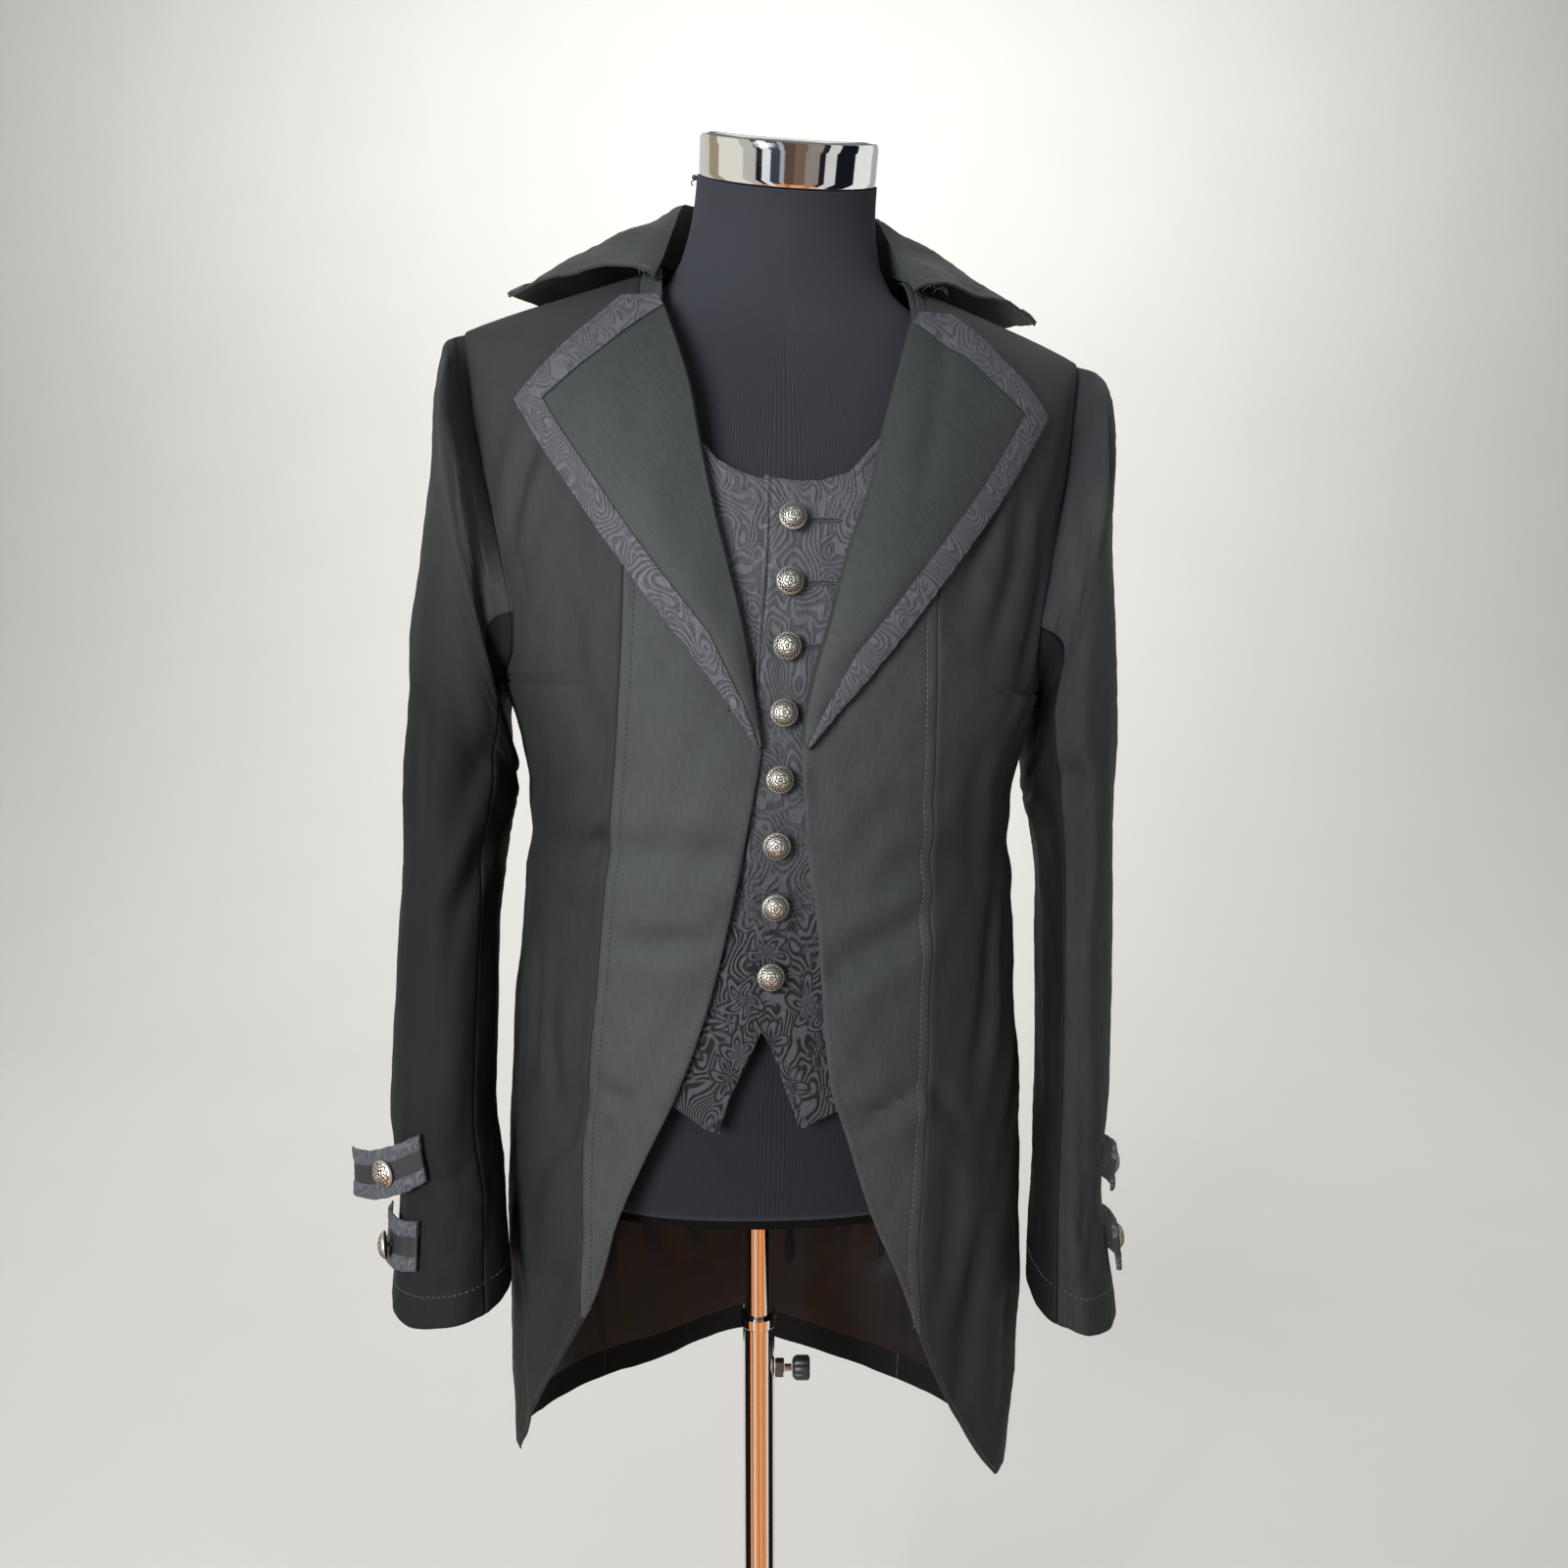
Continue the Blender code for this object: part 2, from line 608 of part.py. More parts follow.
# ------------------------------------------------------- lapels and collar
# corners of a lapel on the front, x and z: where it starts below, the roll
# line's top, the notch and the tip, and the same for the plain field inside
# the trim
LAPEL = {
    -1: table("z_roll x_roll z_out  x_out",
              (1.1310, -0.0160, 1.1290, -0.0185),
              (1.1615, -0.0210, 1.1510, -0.0330),
              (1.2010, -0.0283, 1.1900, -0.0625),
              (1.2440, -0.0393, 1.2290, -0.0935),
              (1.2780, -0.0483, 1.2620, -0.1180),
              (1.3230, -0.0580, 1.2940, -0.1400),
              (1.3580, -0.0645, 1.3220, -0.1590),
              (1.4150, -0.0815, 1.3510, -0.1765)),
    1: table("z_roll x_roll z_out  x_out",
             (1.1310, 0.0115, 1.1290, 0.0140),
             (1.1525, 0.0133, 1.1480, 0.0290),
             (1.1810, 0.0190, 1.1760, 0.0520),
             (1.2130, 0.0278, 1.2080, 0.0770),
             (1.2560, 0.0385, 1.2480, 0.1070),
             (1.3030, 0.0541, 1.2900, 0.1380),
             (1.3350, 0.0620, 1.3250, 0.1610),
             (1.4120, 0.0850, 1.3560, 0.1805)),
}
NOTCH = {-1: (-0.0955, 1.4340), 1: (0.1020, 1.4325)}
TRIM_W = 0.0158


def lapel_grid(side, columns, rows):
    """x and z of the lapel: rows up the roll line, columns out to the trim.
    The last row and the last column are the trim."""
    tab = LAPEL[side]
    k = np.linspace(0, 1, len(tab["z_roll"]))
    t = np.linspace(0, 1, rows)
    roll = np.stack([Curve(k, tab["x_roll"])(t), Curve(k, tab["z_roll"])(t)], -1)
    out = np.stack([Curve(k, tab["x_out"])(t), Curve(k, tab["z_out"])(t)], -1)
    tip, notch = out[-1].copy(), np.array(NOTCH[side])
    top = tip - notch
    top /= np.linalg.norm(top)
    down = np.array([side * top[1], -side * top[0]])
    if down[1] > 0:
        down = -down
    # the field's corner lies inside both trims
    low = out[-1] - out[-2]
    low /= np.linalg.norm(low)
    inward = np.array([-side * low[1], side * low[0]])
    if inward[0] * side > 0:
        inward = -inward
    m = np.array([top, -low]).T
    a = notch + down * TRIM_W
    b = tip + inward * TRIM_W
    s = np.linalg.solve(m, b - a)
    corner = a + top * s[0]
    # field rows end on the top trim's inner line
    width = np.linalg.norm(out - roll, axis=1)
    trim = np.minimum(TRIM_W * 1.02, width * 0.45)
    d = np.gradient(out, axis=0)
    d /= np.linalg.norm(d, axis=1, keepdims=True)
    n = np.stack([-side * d[:, 1], side * d[:, 0]], -1)
    n = np.where(n[:, :1] * side > 0, -n, n)
    inner = out + n * trim[:, None]
    inner[-1] = corner
    roll_top = roll[-1].copy()
    grid = np.zeros((rows + 1, columns + 2, 2))
    for i in range(rows):
        f = np.linspace(0, 1, columns + 1)[:, None]
        grid[i, :columns + 1] = roll[i] * (1 - f) + inner[i] * f
        grid[i, columns + 1] = out[i]
    f = np.linspace(0, 1, columns + 1)[:, None]
    grid[rows, :columns + 1] = np.array([notch[0] - side * 0.006, notch[1] + 0.001]) * (1 - f) + tip * f
    grid[rows, :columns + 1] = grid[rows, :columns + 1] * 1.0
    # top edge: from the roll line's end over the notch to the tip
    start_top = roll_top + np.array([side * 0.004, 0.0085])
    pts = np.stack([start_top, notch, tip])
    seg = np.array([0, np.linalg.norm(pts[1] - pts[0]), 0])
    seg[2] = seg[1] + np.linalg.norm(pts[2] - pts[1])
    along = np.linspace(0, 1, columns + 1) * seg[2]
    along = np.where((np.arange(columns + 1) == 1), max(along[1], seg[1]), along)
    grid[rows, :columns + 1, 0] = np.interp(along, seg, pts[:, 0])
    grid[rows, :columns + 1, 1] = np.interp(along, seg, pts[:, 1])
    grid[rows, columns + 1] = tip
    grid[rows, columns] = tip + (notch - tip) / np.linalg.norm(notch - tip) * 0.0
    # mitre: the corner cell is a square with the tip outside
    grid[rows, columns] = corner + (-down) * TRIM_W
    grid[rows - 1, columns + 1] = corner + (-inward) * TRIM_W
    return grid


def lapel_off(grid, side, base):
    """How far the lapel stands off the front: least at its roll and its foot."""
    d = np.linspace(0, 1, grid.shape[1])[None, :]
    up = np.linspace(0, 1, grid.shape[0])[:, None]
    lift = 0.0042 * np.sin(np.pi * np.clip(d * 0.9, 0, 1)) * np.clip(up * 3, 0, 1)
    return base + lift


def build_lapels():
    for side in (-1, 1):
        tag = NAMES[side]
        g = lapel_grid(side, 4, 13)
        off = lapel_off(g, side, 0.0040)
        top = front_at(g[..., 0], g[..., 1], off)
        low = front_at(g[..., 0], g[..., 1], off - 0.0016)
        wall("lapel_" + tag, top, low, TWILL, 0.8)
        cells = np.zeros((g.shape[0] - 1, g.shape[1] - 1), bool)
        cells[1:, -1] = True
        cells[-1, :] = True
        t_top = front_at(g[..., 0], g[..., 1], off + 0.0016)
        t_low = front_at(g[..., 0], g[..., 1], off + 0.00045)
        wall("lapel_trim_" + tag, t_top, t_low, JACQUARD, 0.85, cells)


# collar stations from the notch round to centre back: neck seam, fold, the
# leaf's middle and its free edge, for the left half
COLLAR = table(
    "seam_x  seam_y  seam_z  fold_x  fold_y  fold_z  mid_x   mid_y   mid_z   edge_x  edge_y  edge_z",
    (0.0905, -0.0480, 1.4412, 0.0890, -0.0530, 1.4420, 0.1290, -0.0300, 1.4535, 0.1960, 0.0140, 1.4440),
    (0.0890, -0.0310, 1.4525, 0.0830, -0.0300, 1.4640, 0.1270, -0.0020, 1.4740, 0.1960, 0.0270, 1.4480),
    (0.0865, -0.0080, 1.4620, 0.0765, -0.0030, 1.4930, 0.1230, 0.0240, 1.4905, 0.1860, 0.0470, 1.4500),
    (0.0840, 0.0200, 1.4720, 0.0710, 0.0300, 1.5180, 0.1130, 0.0530, 1.4960, 0.1590, 0.0680, 1.4450),
    (0.0660, 0.0520, 1.4790, 0.0560, 0.0610, 1.5270, 0.0860, 0.0830, 1.4990, 0.1120, 0.0900, 1.4360),
    (0.0340, 0.0730, 1.4820, 0.0290, 0.0790, 1.5305, 0.0440, 0.0990, 1.5010, 0.0570, 0.1030, 1.4310),
    (0.0000, 0.0790, 1.4830, 0.0000, 0.0845, 1.5315, 0.0000, 0.1030, 1.5015, 0.0000, 0.1070, 1.4300),
)


def collar_grid(stations, leaf):
    """Outer and inner points: stations from one notch round to the other,
    across from the neck seam over the fold to the free edge."""
    k = np.linspace(0, 1, len(COLLAR["seam_x"]))
    full = np.linspace(-1, 1, stations)
    t = 1 - np.abs(full)
    col = {}
    for part in ("seam", "fold", "mid", "edge"):
        x, y, z = (Curve(k, COLLAR[part + "_" + a])(t) for a in "xyz")
        col[part] = np.stack([x * np.sign(np.where(full == 0, 1, full)), y, z], -1)
    rows = []
    for i in range(stations):
        s, f, m, e = (col[p][i] for p in ("seam", "fold", "mid", "edge"))
        line_pts = [s, s * 0.5 + f * 0.5, s * 0.12 + f * 0.88, f]
        ctrl_a = f + (m - f) * 0.40 + np.array([0, 0, 0.006]) * min(1.0, 3 * t[i] + 0.25)
        line_pts.append(f + (ctrl_a - f) * 0.45)
        for u in np.linspace(0, 1, leaf)[1:]:
            p = (1 - u) ** 2 * f + 2 * u * (1 - u) * (2 * m - (f + e) / 2) + u * u * e
            line_pts.append(p)
        del line_pts[4]
        rows.append(line_pts)
    return np.array(rows)


def grid_normals(g):
    du = np.gradient(g, axis=0)
    dv = np.gradient(g, axis=1)
    n = np.cross(du, dv)
    return n / np.maximum(np.linalg.norm(n, axis=-1, keepdims=True), 1e-12)


def build_collar():
    g = collar_grid(17, 6)
    n = grid_normals(g)
    centre = np.array([0.0, 0.01, 1.46])
    if np.sum(n[8, -2] * (g[8, -2] - centre)) < 0:
        n = -n
    # on the stand the outer face of the leaf turns to the neck
    wall("collar", g, g - n * 0.0018, TWILL, 0.8)
    cells = np.zeros((g.shape[0] - 1, g.shape[1] - 1), bool)
    cells[:, -1] = True
    cells[0, 4:] = True
    cells[-1, 4:] = True
    wall("collar_trim", g + n * 0.0014, g + n * 0.0004, JACQUARD, 0.85, cells)


# ---------------------------------------------------------------- waistcoat
VEST_EDGE = table(   # edge of the left panel, which laps over the right one
    "z      x",
    (1.300, -0.0160), (1.254, -0.0167), (1.209, -0.0190), (1.1645, -0.0200),
    (1.054, -0.0231), (0.996, -0.0250), (0.979, -0.0239),
)
VEST_FOOT_L = table(   # lower outline of each panel
    "x       z",
    (-0.0239, 0.979), (-0.0153, 0.958), (-0.0105, 0.943), (-0.0033, 0.931),
    (0.0051, 0.907), (0.0165, 0.8768), (0.0375, 0.8866), (0.1000, 0.9120),
)
VEST_FOOT_R = table(
    "x       z",
    (0.0040, 0.975), (-0.0105, 0.9430), (-0.0218, 0.9177), (-0.0314, 0.8966), (-0.0378, 0.8735),
    (-0.0467, 0.8760), (-0.0659, 0.8888), (-0.1000, 0.9080),
)
VEST_TOP = table(   # neckline, over the distance from the centre
    "x      z",
    (0.000, 1.3010), (0.0155, 1.3020), (0.0333, 1.3070), (0.0487, 1.3150),
    (0.0580, 1.3260), (0.0720, 1.3440), (0.1000, 1.3800),
)
VEST_OFF = -0.0062
VEST_THICK = 0.0014


def vest_grid(side, rows):
    """Columns at the corners of the foot, rows from the foot to the neckline."""
    foot = VEST_FOOT_L if side > 0 else VEST_FOOT_R
    xs = foot["x"]
    t = np.linspace(0, 1, rows)
    pts = np.zeros((rows, len(xs), 2))
    for j, x in enumerate(xs):
        z0 = foot["z"][j]
        z1 = float(Curve(VEST_TOP["x"], VEST_TOP["z"])(abs(x)))
        z = z0 + (z1 - z0) * t
        if side > 0:
            e = Curve(VEST_EDGE["z"], VEST_EDGE["x"])(z)
            share = (x - xs[0]) / (xs[-1] - xs[0])
            shift = (e - xs[0]) * (1 - share) ** 2
        else:
            shift = 0 * z
        pts[:, j, 0] = x + shift
        pts[:, j, 1] = z
    return pts


def build_vest():
    for side in (-1, 1):
        g = vest_grid(side, 10)
        # the lap: the left panel rides over the right one near the centre
        if side > 0:
            lap = np.clip(1 - (g[..., 0] + 0.02) / 0.05, 0, 1)
            off = VEST_OFF + 0.0027 * lap
        else:
            off = np.full(g.shape[:2], VEST_OFF)
            off = off - 0.0006 * np.clip(1 + g[..., 0] / 0.03, 0, 1)
        outer = front_at(g[..., 0], g[..., 1], off)
        inner = front_at(g[..., 0], g[..., 1], off - VEST_THICK)
        wall("vest_front_" + NAMES[side], outer, inner, JACQUARD, 0.85)


# ------------------------------------------------------------------ buttons
VEST_BUTTONS = table(
    "z      x",
    (1.2755, 0.0016), (1.2350, 0.0002), (1.1943, -0.0006), (1.1521, -0.0018),
    (1.1097, -0.0034), (1.0671, -0.0043), (1.0270, -0.0040), (0.9814, -0.0059),
)
DOME = table(   # profile of a dome button over its radius: share, height in mm
    "share  height",
    (0.00, 5.6), (0.35, 5.25), (0.62, 4.3), (0.82, 2.9), (0.95, 1.7), (1.00, 0.9), (0.93, 0.2),
)


def turned(name, profile, centre, axis, colour, rough, metal, sides=20, posed=False):
    """A turned solid: profile of (radius, height) from the top centre to the
    bottom centre, about an axis."""
    axis = np.asarray(axis, float) / np.linalg.norm(axis)
    ref = np.array([0.0, 0.0, 1.0]) if abs(axis[2]) < 0.9 else np.array([1.0, 0, 0])
    e1 = np.cross(ref, axis)
    e1 /= np.linalg.norm(e1)
    e2 = np.cross(axis, e1)
    verts, faces, rings = [], [], []
    for r, h in profile:
        if r < 1e-9:
            rings.append([len(verts)])
            verts.append(np.asarray(centre) + axis * h)
        else:
            rings.append(list(range(len(verts), len(verts) + sides)))
            for i in range(sides):
                a = 2 * math.pi * i / sides
                verts.append(np.asarray(centre) + axis * h + (e1 * math.cos(a) + e2 * math.sin(a)) * r)
    if len(rings[0]) > 1:
        faces.append(list(reversed(rings[0])))
    if len(rings[-1]) > 1:
        faces.append(list(rings[-1]))
    for a, b in zip(rings, rings[1:]):
        for i in range(sides):
            j = (i + 1) % sides
            if len(a) == 1:
                faces.append([a[0], b[i], b[j]])
            elif len(b) == 1:
                faces.append([a[i], b[0], a[j]])
            else:
                faces.append([a[i], b[i], b[j], a[j]])
    verts = np.array(verts)
    if posed:
        verts = place(verts)
    return add_object(name, verts, faces, colour, rough, metal, smooth=35)


def tube(name, r_out, r_in, z0, z1, colour, rough, metal, sides=28):
    """An open upright tube on the pole's axis."""
    rows = [(r_out, z0), (r_out, z1), (r_in, z1), (r_in, z0)]
    verts, faces = [], []
    for r, z in rows:
        for i in range(sides):
            a = 2 * math.pi * i / sides
            verts.append((r * math.cos(a), r * math.sin(a), z))
    for k in range(4):
        for i in range(sides):
            j = (i + 1) % sides
            faces.append([k * sides + i, k * sides + j, ((k + 1) % 4) * sides + j, ((k + 1) % 4) * sides + i])
    return add_object(name, np.array(verts), faces, colour, rough, metal, smooth=35)


def button_profile(r):
    rows = [(r * s, h / 1000) for s, h in zip(DOME["share"], DOME["height"])]
    return rows + [(0.0, 0.0002)]


def build_vest_buttons():
    for i, (x, z) in enumerate(zip(VEST_BUTTONS["x"], VEST_BUTTONS["z"])):
        p = front_at(np.array([x]), np.array([z]), np.array([0.0012]))[0]
        q = front_at(np.array([x]), np.array([z]), np.array([0.0112]))[0]
        turned("vest_button_%d" % (i + 1), button_profile(BUTTON_R), p, q - p, SILVER, 0.35, 1.0, 16, True)


# ---------------------------------------------------------------- cuff tabs
# each tab starts at the sleeve's outer front and runs back round the outside:
# its height, where it starts and ends round the sleeve, and how far its free
# end and its start stand off
TABS = {
    -1: table("z      start  end    off_0   off_1   slope",
              (0.8430, 69.0, -1.0, 0.0034, 0.0330, -0.031),
              (0.7790, 56.0, -16.0, 0.0034, 0.0090, -0.014)),
    1: table("z      start  end    off_0   off_1   slope",
             (0.8190, 26.0, -44.0, 0.0080, 0.0210, -0.024),
             (0.7610, 26.0, -46.0, 0.0080, 0.0190, -0.022)),
}
TAB_T = 0.0020


def tab_grid(side, i, columns, rows):
    tab = {k: v[i] for k, v in TABS[side].items()}
    t = np.linspace(0, 1, columns)
    alpha = np.radians(tab["start"] + (tab["end"] - tab["start"]) * t)
    off = tab["off_0"] + (tab["off_1"] - tab["off_0"]) * t ** 1.3
    h = np.linspace(-0.5, 0.5, rows) * TAB_H
    k = np.linspace(0, 1, 4001)
    zo = Curve(np.linspace(0, 1, len(SLEEVE[side]["z_out"])), SLEEVE[side]["z_out"])(k)
    out = np.zeros((rows, columns, 3))
    for a in range(rows):
        for b in range(columns):
            z = tab["z"] + h[a] + tab["slope"] * t[b]
            w = k[int(np.argmin(np.abs(zo - z)))]
            out[a, b] = sleeve_point(side, np.array(w), alpha[b], np.zeros(3), off=off[b], hole_off=0.0)
    return out


def build_tabs():
    n = 0
    for side in (-1, 1):
        for i in range(2):
            n += 1
            g = tab_grid(side, i, 9, 4)
            nrm = grid_normals(g)
            mid = g.mean((0, 1))
            centre = np.array([side * 0.225, -0.05, mid[2]])
            if np.sum(nrm[1, 4] * (mid - centre)) < 0:
                nrm = -nrm
            wall("cuff_tab_%s_%d" % (NAMES[side], i + 1), g, g - nrm * TAB_T, TWILL, 0.8)
            c, m = (g[1, 4] + g[2, 4]) / 2, nrm[1, 4]
            turned("cuff_button_%s_%d" % (NAMES[side], i + 1), button_profile(0.0098),
                   c + m * 0.0006, m, SILVER, 0.35, 1.0, 16, True)


# ---------------------------------------------------------------- the form
FORM = table(
    "z      half    front   back    mid     power",
    (0.8030, 0.1600, 0.1120, 0.0880, 0.000, 2.4),
    (0.8100, 0.1660, 0.1170, 0.0930, 0.000, 2.4),
    (0.8600, 0.1690, 0.1190, 0.0960, 0.000, 2.4),
    (0.9400, 0.1640, 0.1170, 0.0920, 0.000, 2.3),
    (1.0200, 0.1550, 0.1160, 0.0860, 0.000, 2.3),
    (1.0900, 0.1500, 0.1170, 0.0850, 0.000, 2.3),
    (1.1500, 0.1580, 0.1200, 0.0880, 0.000, 2.4),
    (1.2100, 0.1680, 0.1200, 0.0920, 0.000, 2.5),
    (1.2700, 0.1740, 0.1140, 0.0920, 0.000, 2.5),
    (1.3300, 0.1780, 0.0980, 0.0840, 0.002, 2.4),
    (1.3700, 0.1740, 0.0810, 0.0740, 0.003, 2.3),
    (1.3950, 0.1600, 0.0700, 0.0680, 0.003, 2.1),
    (1.4150, 0.1340, 0.0640, 0.0640, 0.002, 2.0),
    (1.4320, 0.1050, 0.0620, 0.0620, 0.000, 2.0),
    (1.4480, 0.0830, 0.0620, 0.0620, -0.002, 2.0),
    (1.4650, 0.0720, 0.0620, 0.0610, -0.005, 2.0),
)


def form_rings(sides):
    rings = []
    for z, a, f, b, m, p in zip(*(FORM[k] for k in ("z", "half", "front", "back", "mid", "power"))):
        t = 2 * math.pi * np.arange(sides) / sides
        s, c = np.sin(t), np.cos(t)
        q = 2 / p
        x = a * np.sign(s) * np.abs(s) ** q
        y = m - np.where(c >= 0, f, b) * np.sign(c) * np.abs(c) ** q
        rings.append(np.stack([x, y, np.full(sides, z)], -1))
    # neck: rings that tilt forward up to the cap
    base = rings[-1]
    t = 2 * math.pi * np.arange(sides) / sides
    r = CAP_R + 0.0008
    up = np.array([0, -math.sin(CAP_TILT), math.cos(CAP_TILT)])
    fwd = np.array([0, -math.cos(CAP_TILT), -math.sin(CAP_TILT)])
    ring_top = (np.array(CAP_CENTRE) - up * 0.0004 + np.outer(np.sin(t), [1, 0, 0]) * r
                + np.outer(np.cos(t), fwd) * r)
    for f in (0.35, 0.7, 1.0):
        mid = base * (1 - f) + ring_top * f
        bulge = 1 - 0.035 * math.sin(math.pi * f)
        c = mid.mean(0)
        rings.append(c + (mid - c) * bulge)
    return rings


def solid_from_rings(name, rings, colour, rough, metal=0.0, posed=True):
    n = len(rings[0])
    verts = np.concatenate(rings)
    if posed:
        verts = place(verts)
    faces = [list(range(n)), [len(verts) - n + i for i in reversed(range(n))]]
    for k in range(len(rings) - 1):
        for i in range(n):
            j = (i + 1) % n
            faces.append([k * n + i, (k + 1) * n + i, (k + 1) * n + j, k * n + j])
    return add_object(name, verts, faces, colour, rough, metal)


def build_form():
    rings = form_rings(28)
    solid_from_rings("form_torso", rings, JERSEY, 0.9)
    # closing board under the torso
    base = rings[0]
    board = []
    for z, k in ((0.7950, 0.97), (0.8026, 0.985)):
        r = base * np.array([k, k, 0]) + np.array([0, 0, z])
        board.append(r)
    solid_from_rings("form_board", board, (0.02, 0.02, 0.02), 0.6)
    up = np.array([0, -math.sin(CAP_TILT), math.cos(CAP_TILT)])
    profile = [(0.0, CAP_H + 0.0020), (CAP_R * 0.80, CAP_H + 0.0016), (CAP_R * 0.94, CAP_H + 0.0002),
               (CAP_R * 0.985, CAP_H - 0.0022), (CAP_R, CAP_H - 0.006), (CAP_R, 0.0012),
               (CAP_R * 0.985, 0.0002), (0.0, 0.0002)]
    turned("neck_cap", profile, CAP_CENTRE, up, CHROME, 0.08, 1.0, 40, True)


# --------------------------------------------------------------- the stand
KNOB_Z = 0.627


def build_stand():
    turned("base_plate", [(0.0, 0.0150), (0.030, 0.0150), (0.060, 0.0142), (0.110, 0.0118), (0.138, 0.0092),
                          (BASE_R - 0.001, 0.0062), (BASE_R, 0.0045), (BASE_R, 0.0012), (BASE_R - 0.001, 0.0),
                          (0.0, 0.0)], (0, 0, 0), (0, 0, 1), CHROME, 0.12, 1.0, 56)
    tube("base_hub", 0.0240, TUBE_LOW_R + 0.0004, 0.0153, 0.0500, CHROME, 0.12, 1.0)
    tube("lower_tube", TUBE_LOW_R, TUBE_UP_R + 0.0004, 0.0153, TUBE_TOP_Z, CHROME, 0.10, 1.0)
    tube("tube_ring", TUBE_LOW_R + 0.0016, TUBE_LOW_R + 0.0003, TUBE_TOP_Z - 0.0085, TUBE_TOP_Z + 0.0002,
         CHROME, 0.12, 1.0)
    # clamp: a nut on the lower tube's side, a screw through it and a knob
    turned("clamp_nut", [(0.0, 0.0072), (0.0070, 0.0072), (0.0070, 0.0), (0.0, 0.0)],
           (TUBE_LOW_R + 0.0004, 0, KNOB_Z), (1, 0, 0), CHROME, 0.25, 1.0, 6)
    turned("clamp_screw", [(0.0, 0.0058), (0.0031, 0.0058), (0.0031, 0.0), (0.0, 0.0)],
           (TUBE_LOW_R + 0.0079, 0, KNOB_Z), (1, 0, 0), CHROME, 0.3, 1.0, 14)
    turned("clamp_knob", [(0.0, 0.0140), (0.0078, 0.0140), (0.0092, 0.0126), (0.0092, 0.0022), (0.0074, 0.0),
                          (0.0, 0.0)],
           (TUBE_LOW_R + 0.0140, 0, KNOB_Z), (1, 0, 0), (0.02, 0.02, 0.02), 0.5, 0.0, 8)
    turned("upper_tube", [(0.0, 0.7760), (TUBE_UP_R, 0.7760), (TUBE_UP_R, 0.40), (0.0, 0.40)],
           (0, 0, 0), (0, 0, 1), CHROME, 0.10, 1.0, 28)
    # socket under the form, which turns on the upper tube
    turned("form_socket", [(0.0, 0.7880), (0.0420, 0.7880), (0.0420, 0.7850), (0.0150, 0.7830), (0.0150, 0.7500),
                           (TUBE_UP_R + 0.0004, 0.7500), (TUBE_UP_R + 0.0004, 0.7764), (0.0, 0.7764)],
           (0, 0, 0), (0, 0, 1), CHROME, 0.2, 1.0, 28)


start()
build_body()
build_lining()
build_sleeves()
build_lapels()
build_collar()
build_vest()
build_vest_buttons()
build_tabs()
build_form()
build_stand()
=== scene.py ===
"""Looks of the jacket on its dress form: cloth shells with their creases,
seams, stitching, trims, buttons, jersey, metal, light and camera.  Metres, +Z
up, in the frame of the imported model."""
import math

import bpy
import numpy as np
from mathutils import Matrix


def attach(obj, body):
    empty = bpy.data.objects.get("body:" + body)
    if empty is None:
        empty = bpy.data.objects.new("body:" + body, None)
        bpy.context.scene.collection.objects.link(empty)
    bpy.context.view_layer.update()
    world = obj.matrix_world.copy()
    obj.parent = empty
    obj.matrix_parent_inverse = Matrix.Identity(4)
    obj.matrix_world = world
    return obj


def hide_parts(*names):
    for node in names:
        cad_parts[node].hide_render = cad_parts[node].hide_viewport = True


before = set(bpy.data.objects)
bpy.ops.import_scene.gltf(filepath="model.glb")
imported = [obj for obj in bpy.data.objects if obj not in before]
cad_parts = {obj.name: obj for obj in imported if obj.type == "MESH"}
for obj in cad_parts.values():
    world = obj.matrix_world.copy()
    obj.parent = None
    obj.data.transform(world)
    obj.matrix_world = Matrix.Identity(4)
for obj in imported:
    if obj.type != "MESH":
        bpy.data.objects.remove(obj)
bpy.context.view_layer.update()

# ---------------------------------------------------------------- sizes (m)
CLOTH = 0.0016          # wall of the twill panels
SEAM = 0.00032          # gap between two sewn pieces
Z_ARM = 1.165           # underarm level, where the rings end and the ribs start
FLARE = 0.175           # how much a rib spreads from underarm to shoulder tip
RIDGE_Y = 0.010         # shoulder seam's place front to back

YAW = math.radians(5.2)      # the form stands turned a little to its left
LEAN = math.radians(1.47)    # and leans a little to its left
PIVOT_Z = 0.80

TUBE_LOW_R = 0.0125
TUBE_UP_R = 0.0105
TUBE_TOP_Z = 0.673
BASE_R = 0.150
CAP_R = 0.0625
CAP_H = 0.0285
CAP_TILT = math.radians(26.3)
CAP_CENTRE = (0.002, -0.020, 1.5215)

BUTTON_R = 0.0090
TAB_H = 0.034


# ------------------------------------------------------------ small helpers
def table(names, *rows):
    """Named columns from rows."""
    names = names.split()
    return {n: np.array([r[i] for r in rows], float) for i, n in enumerate(names)}


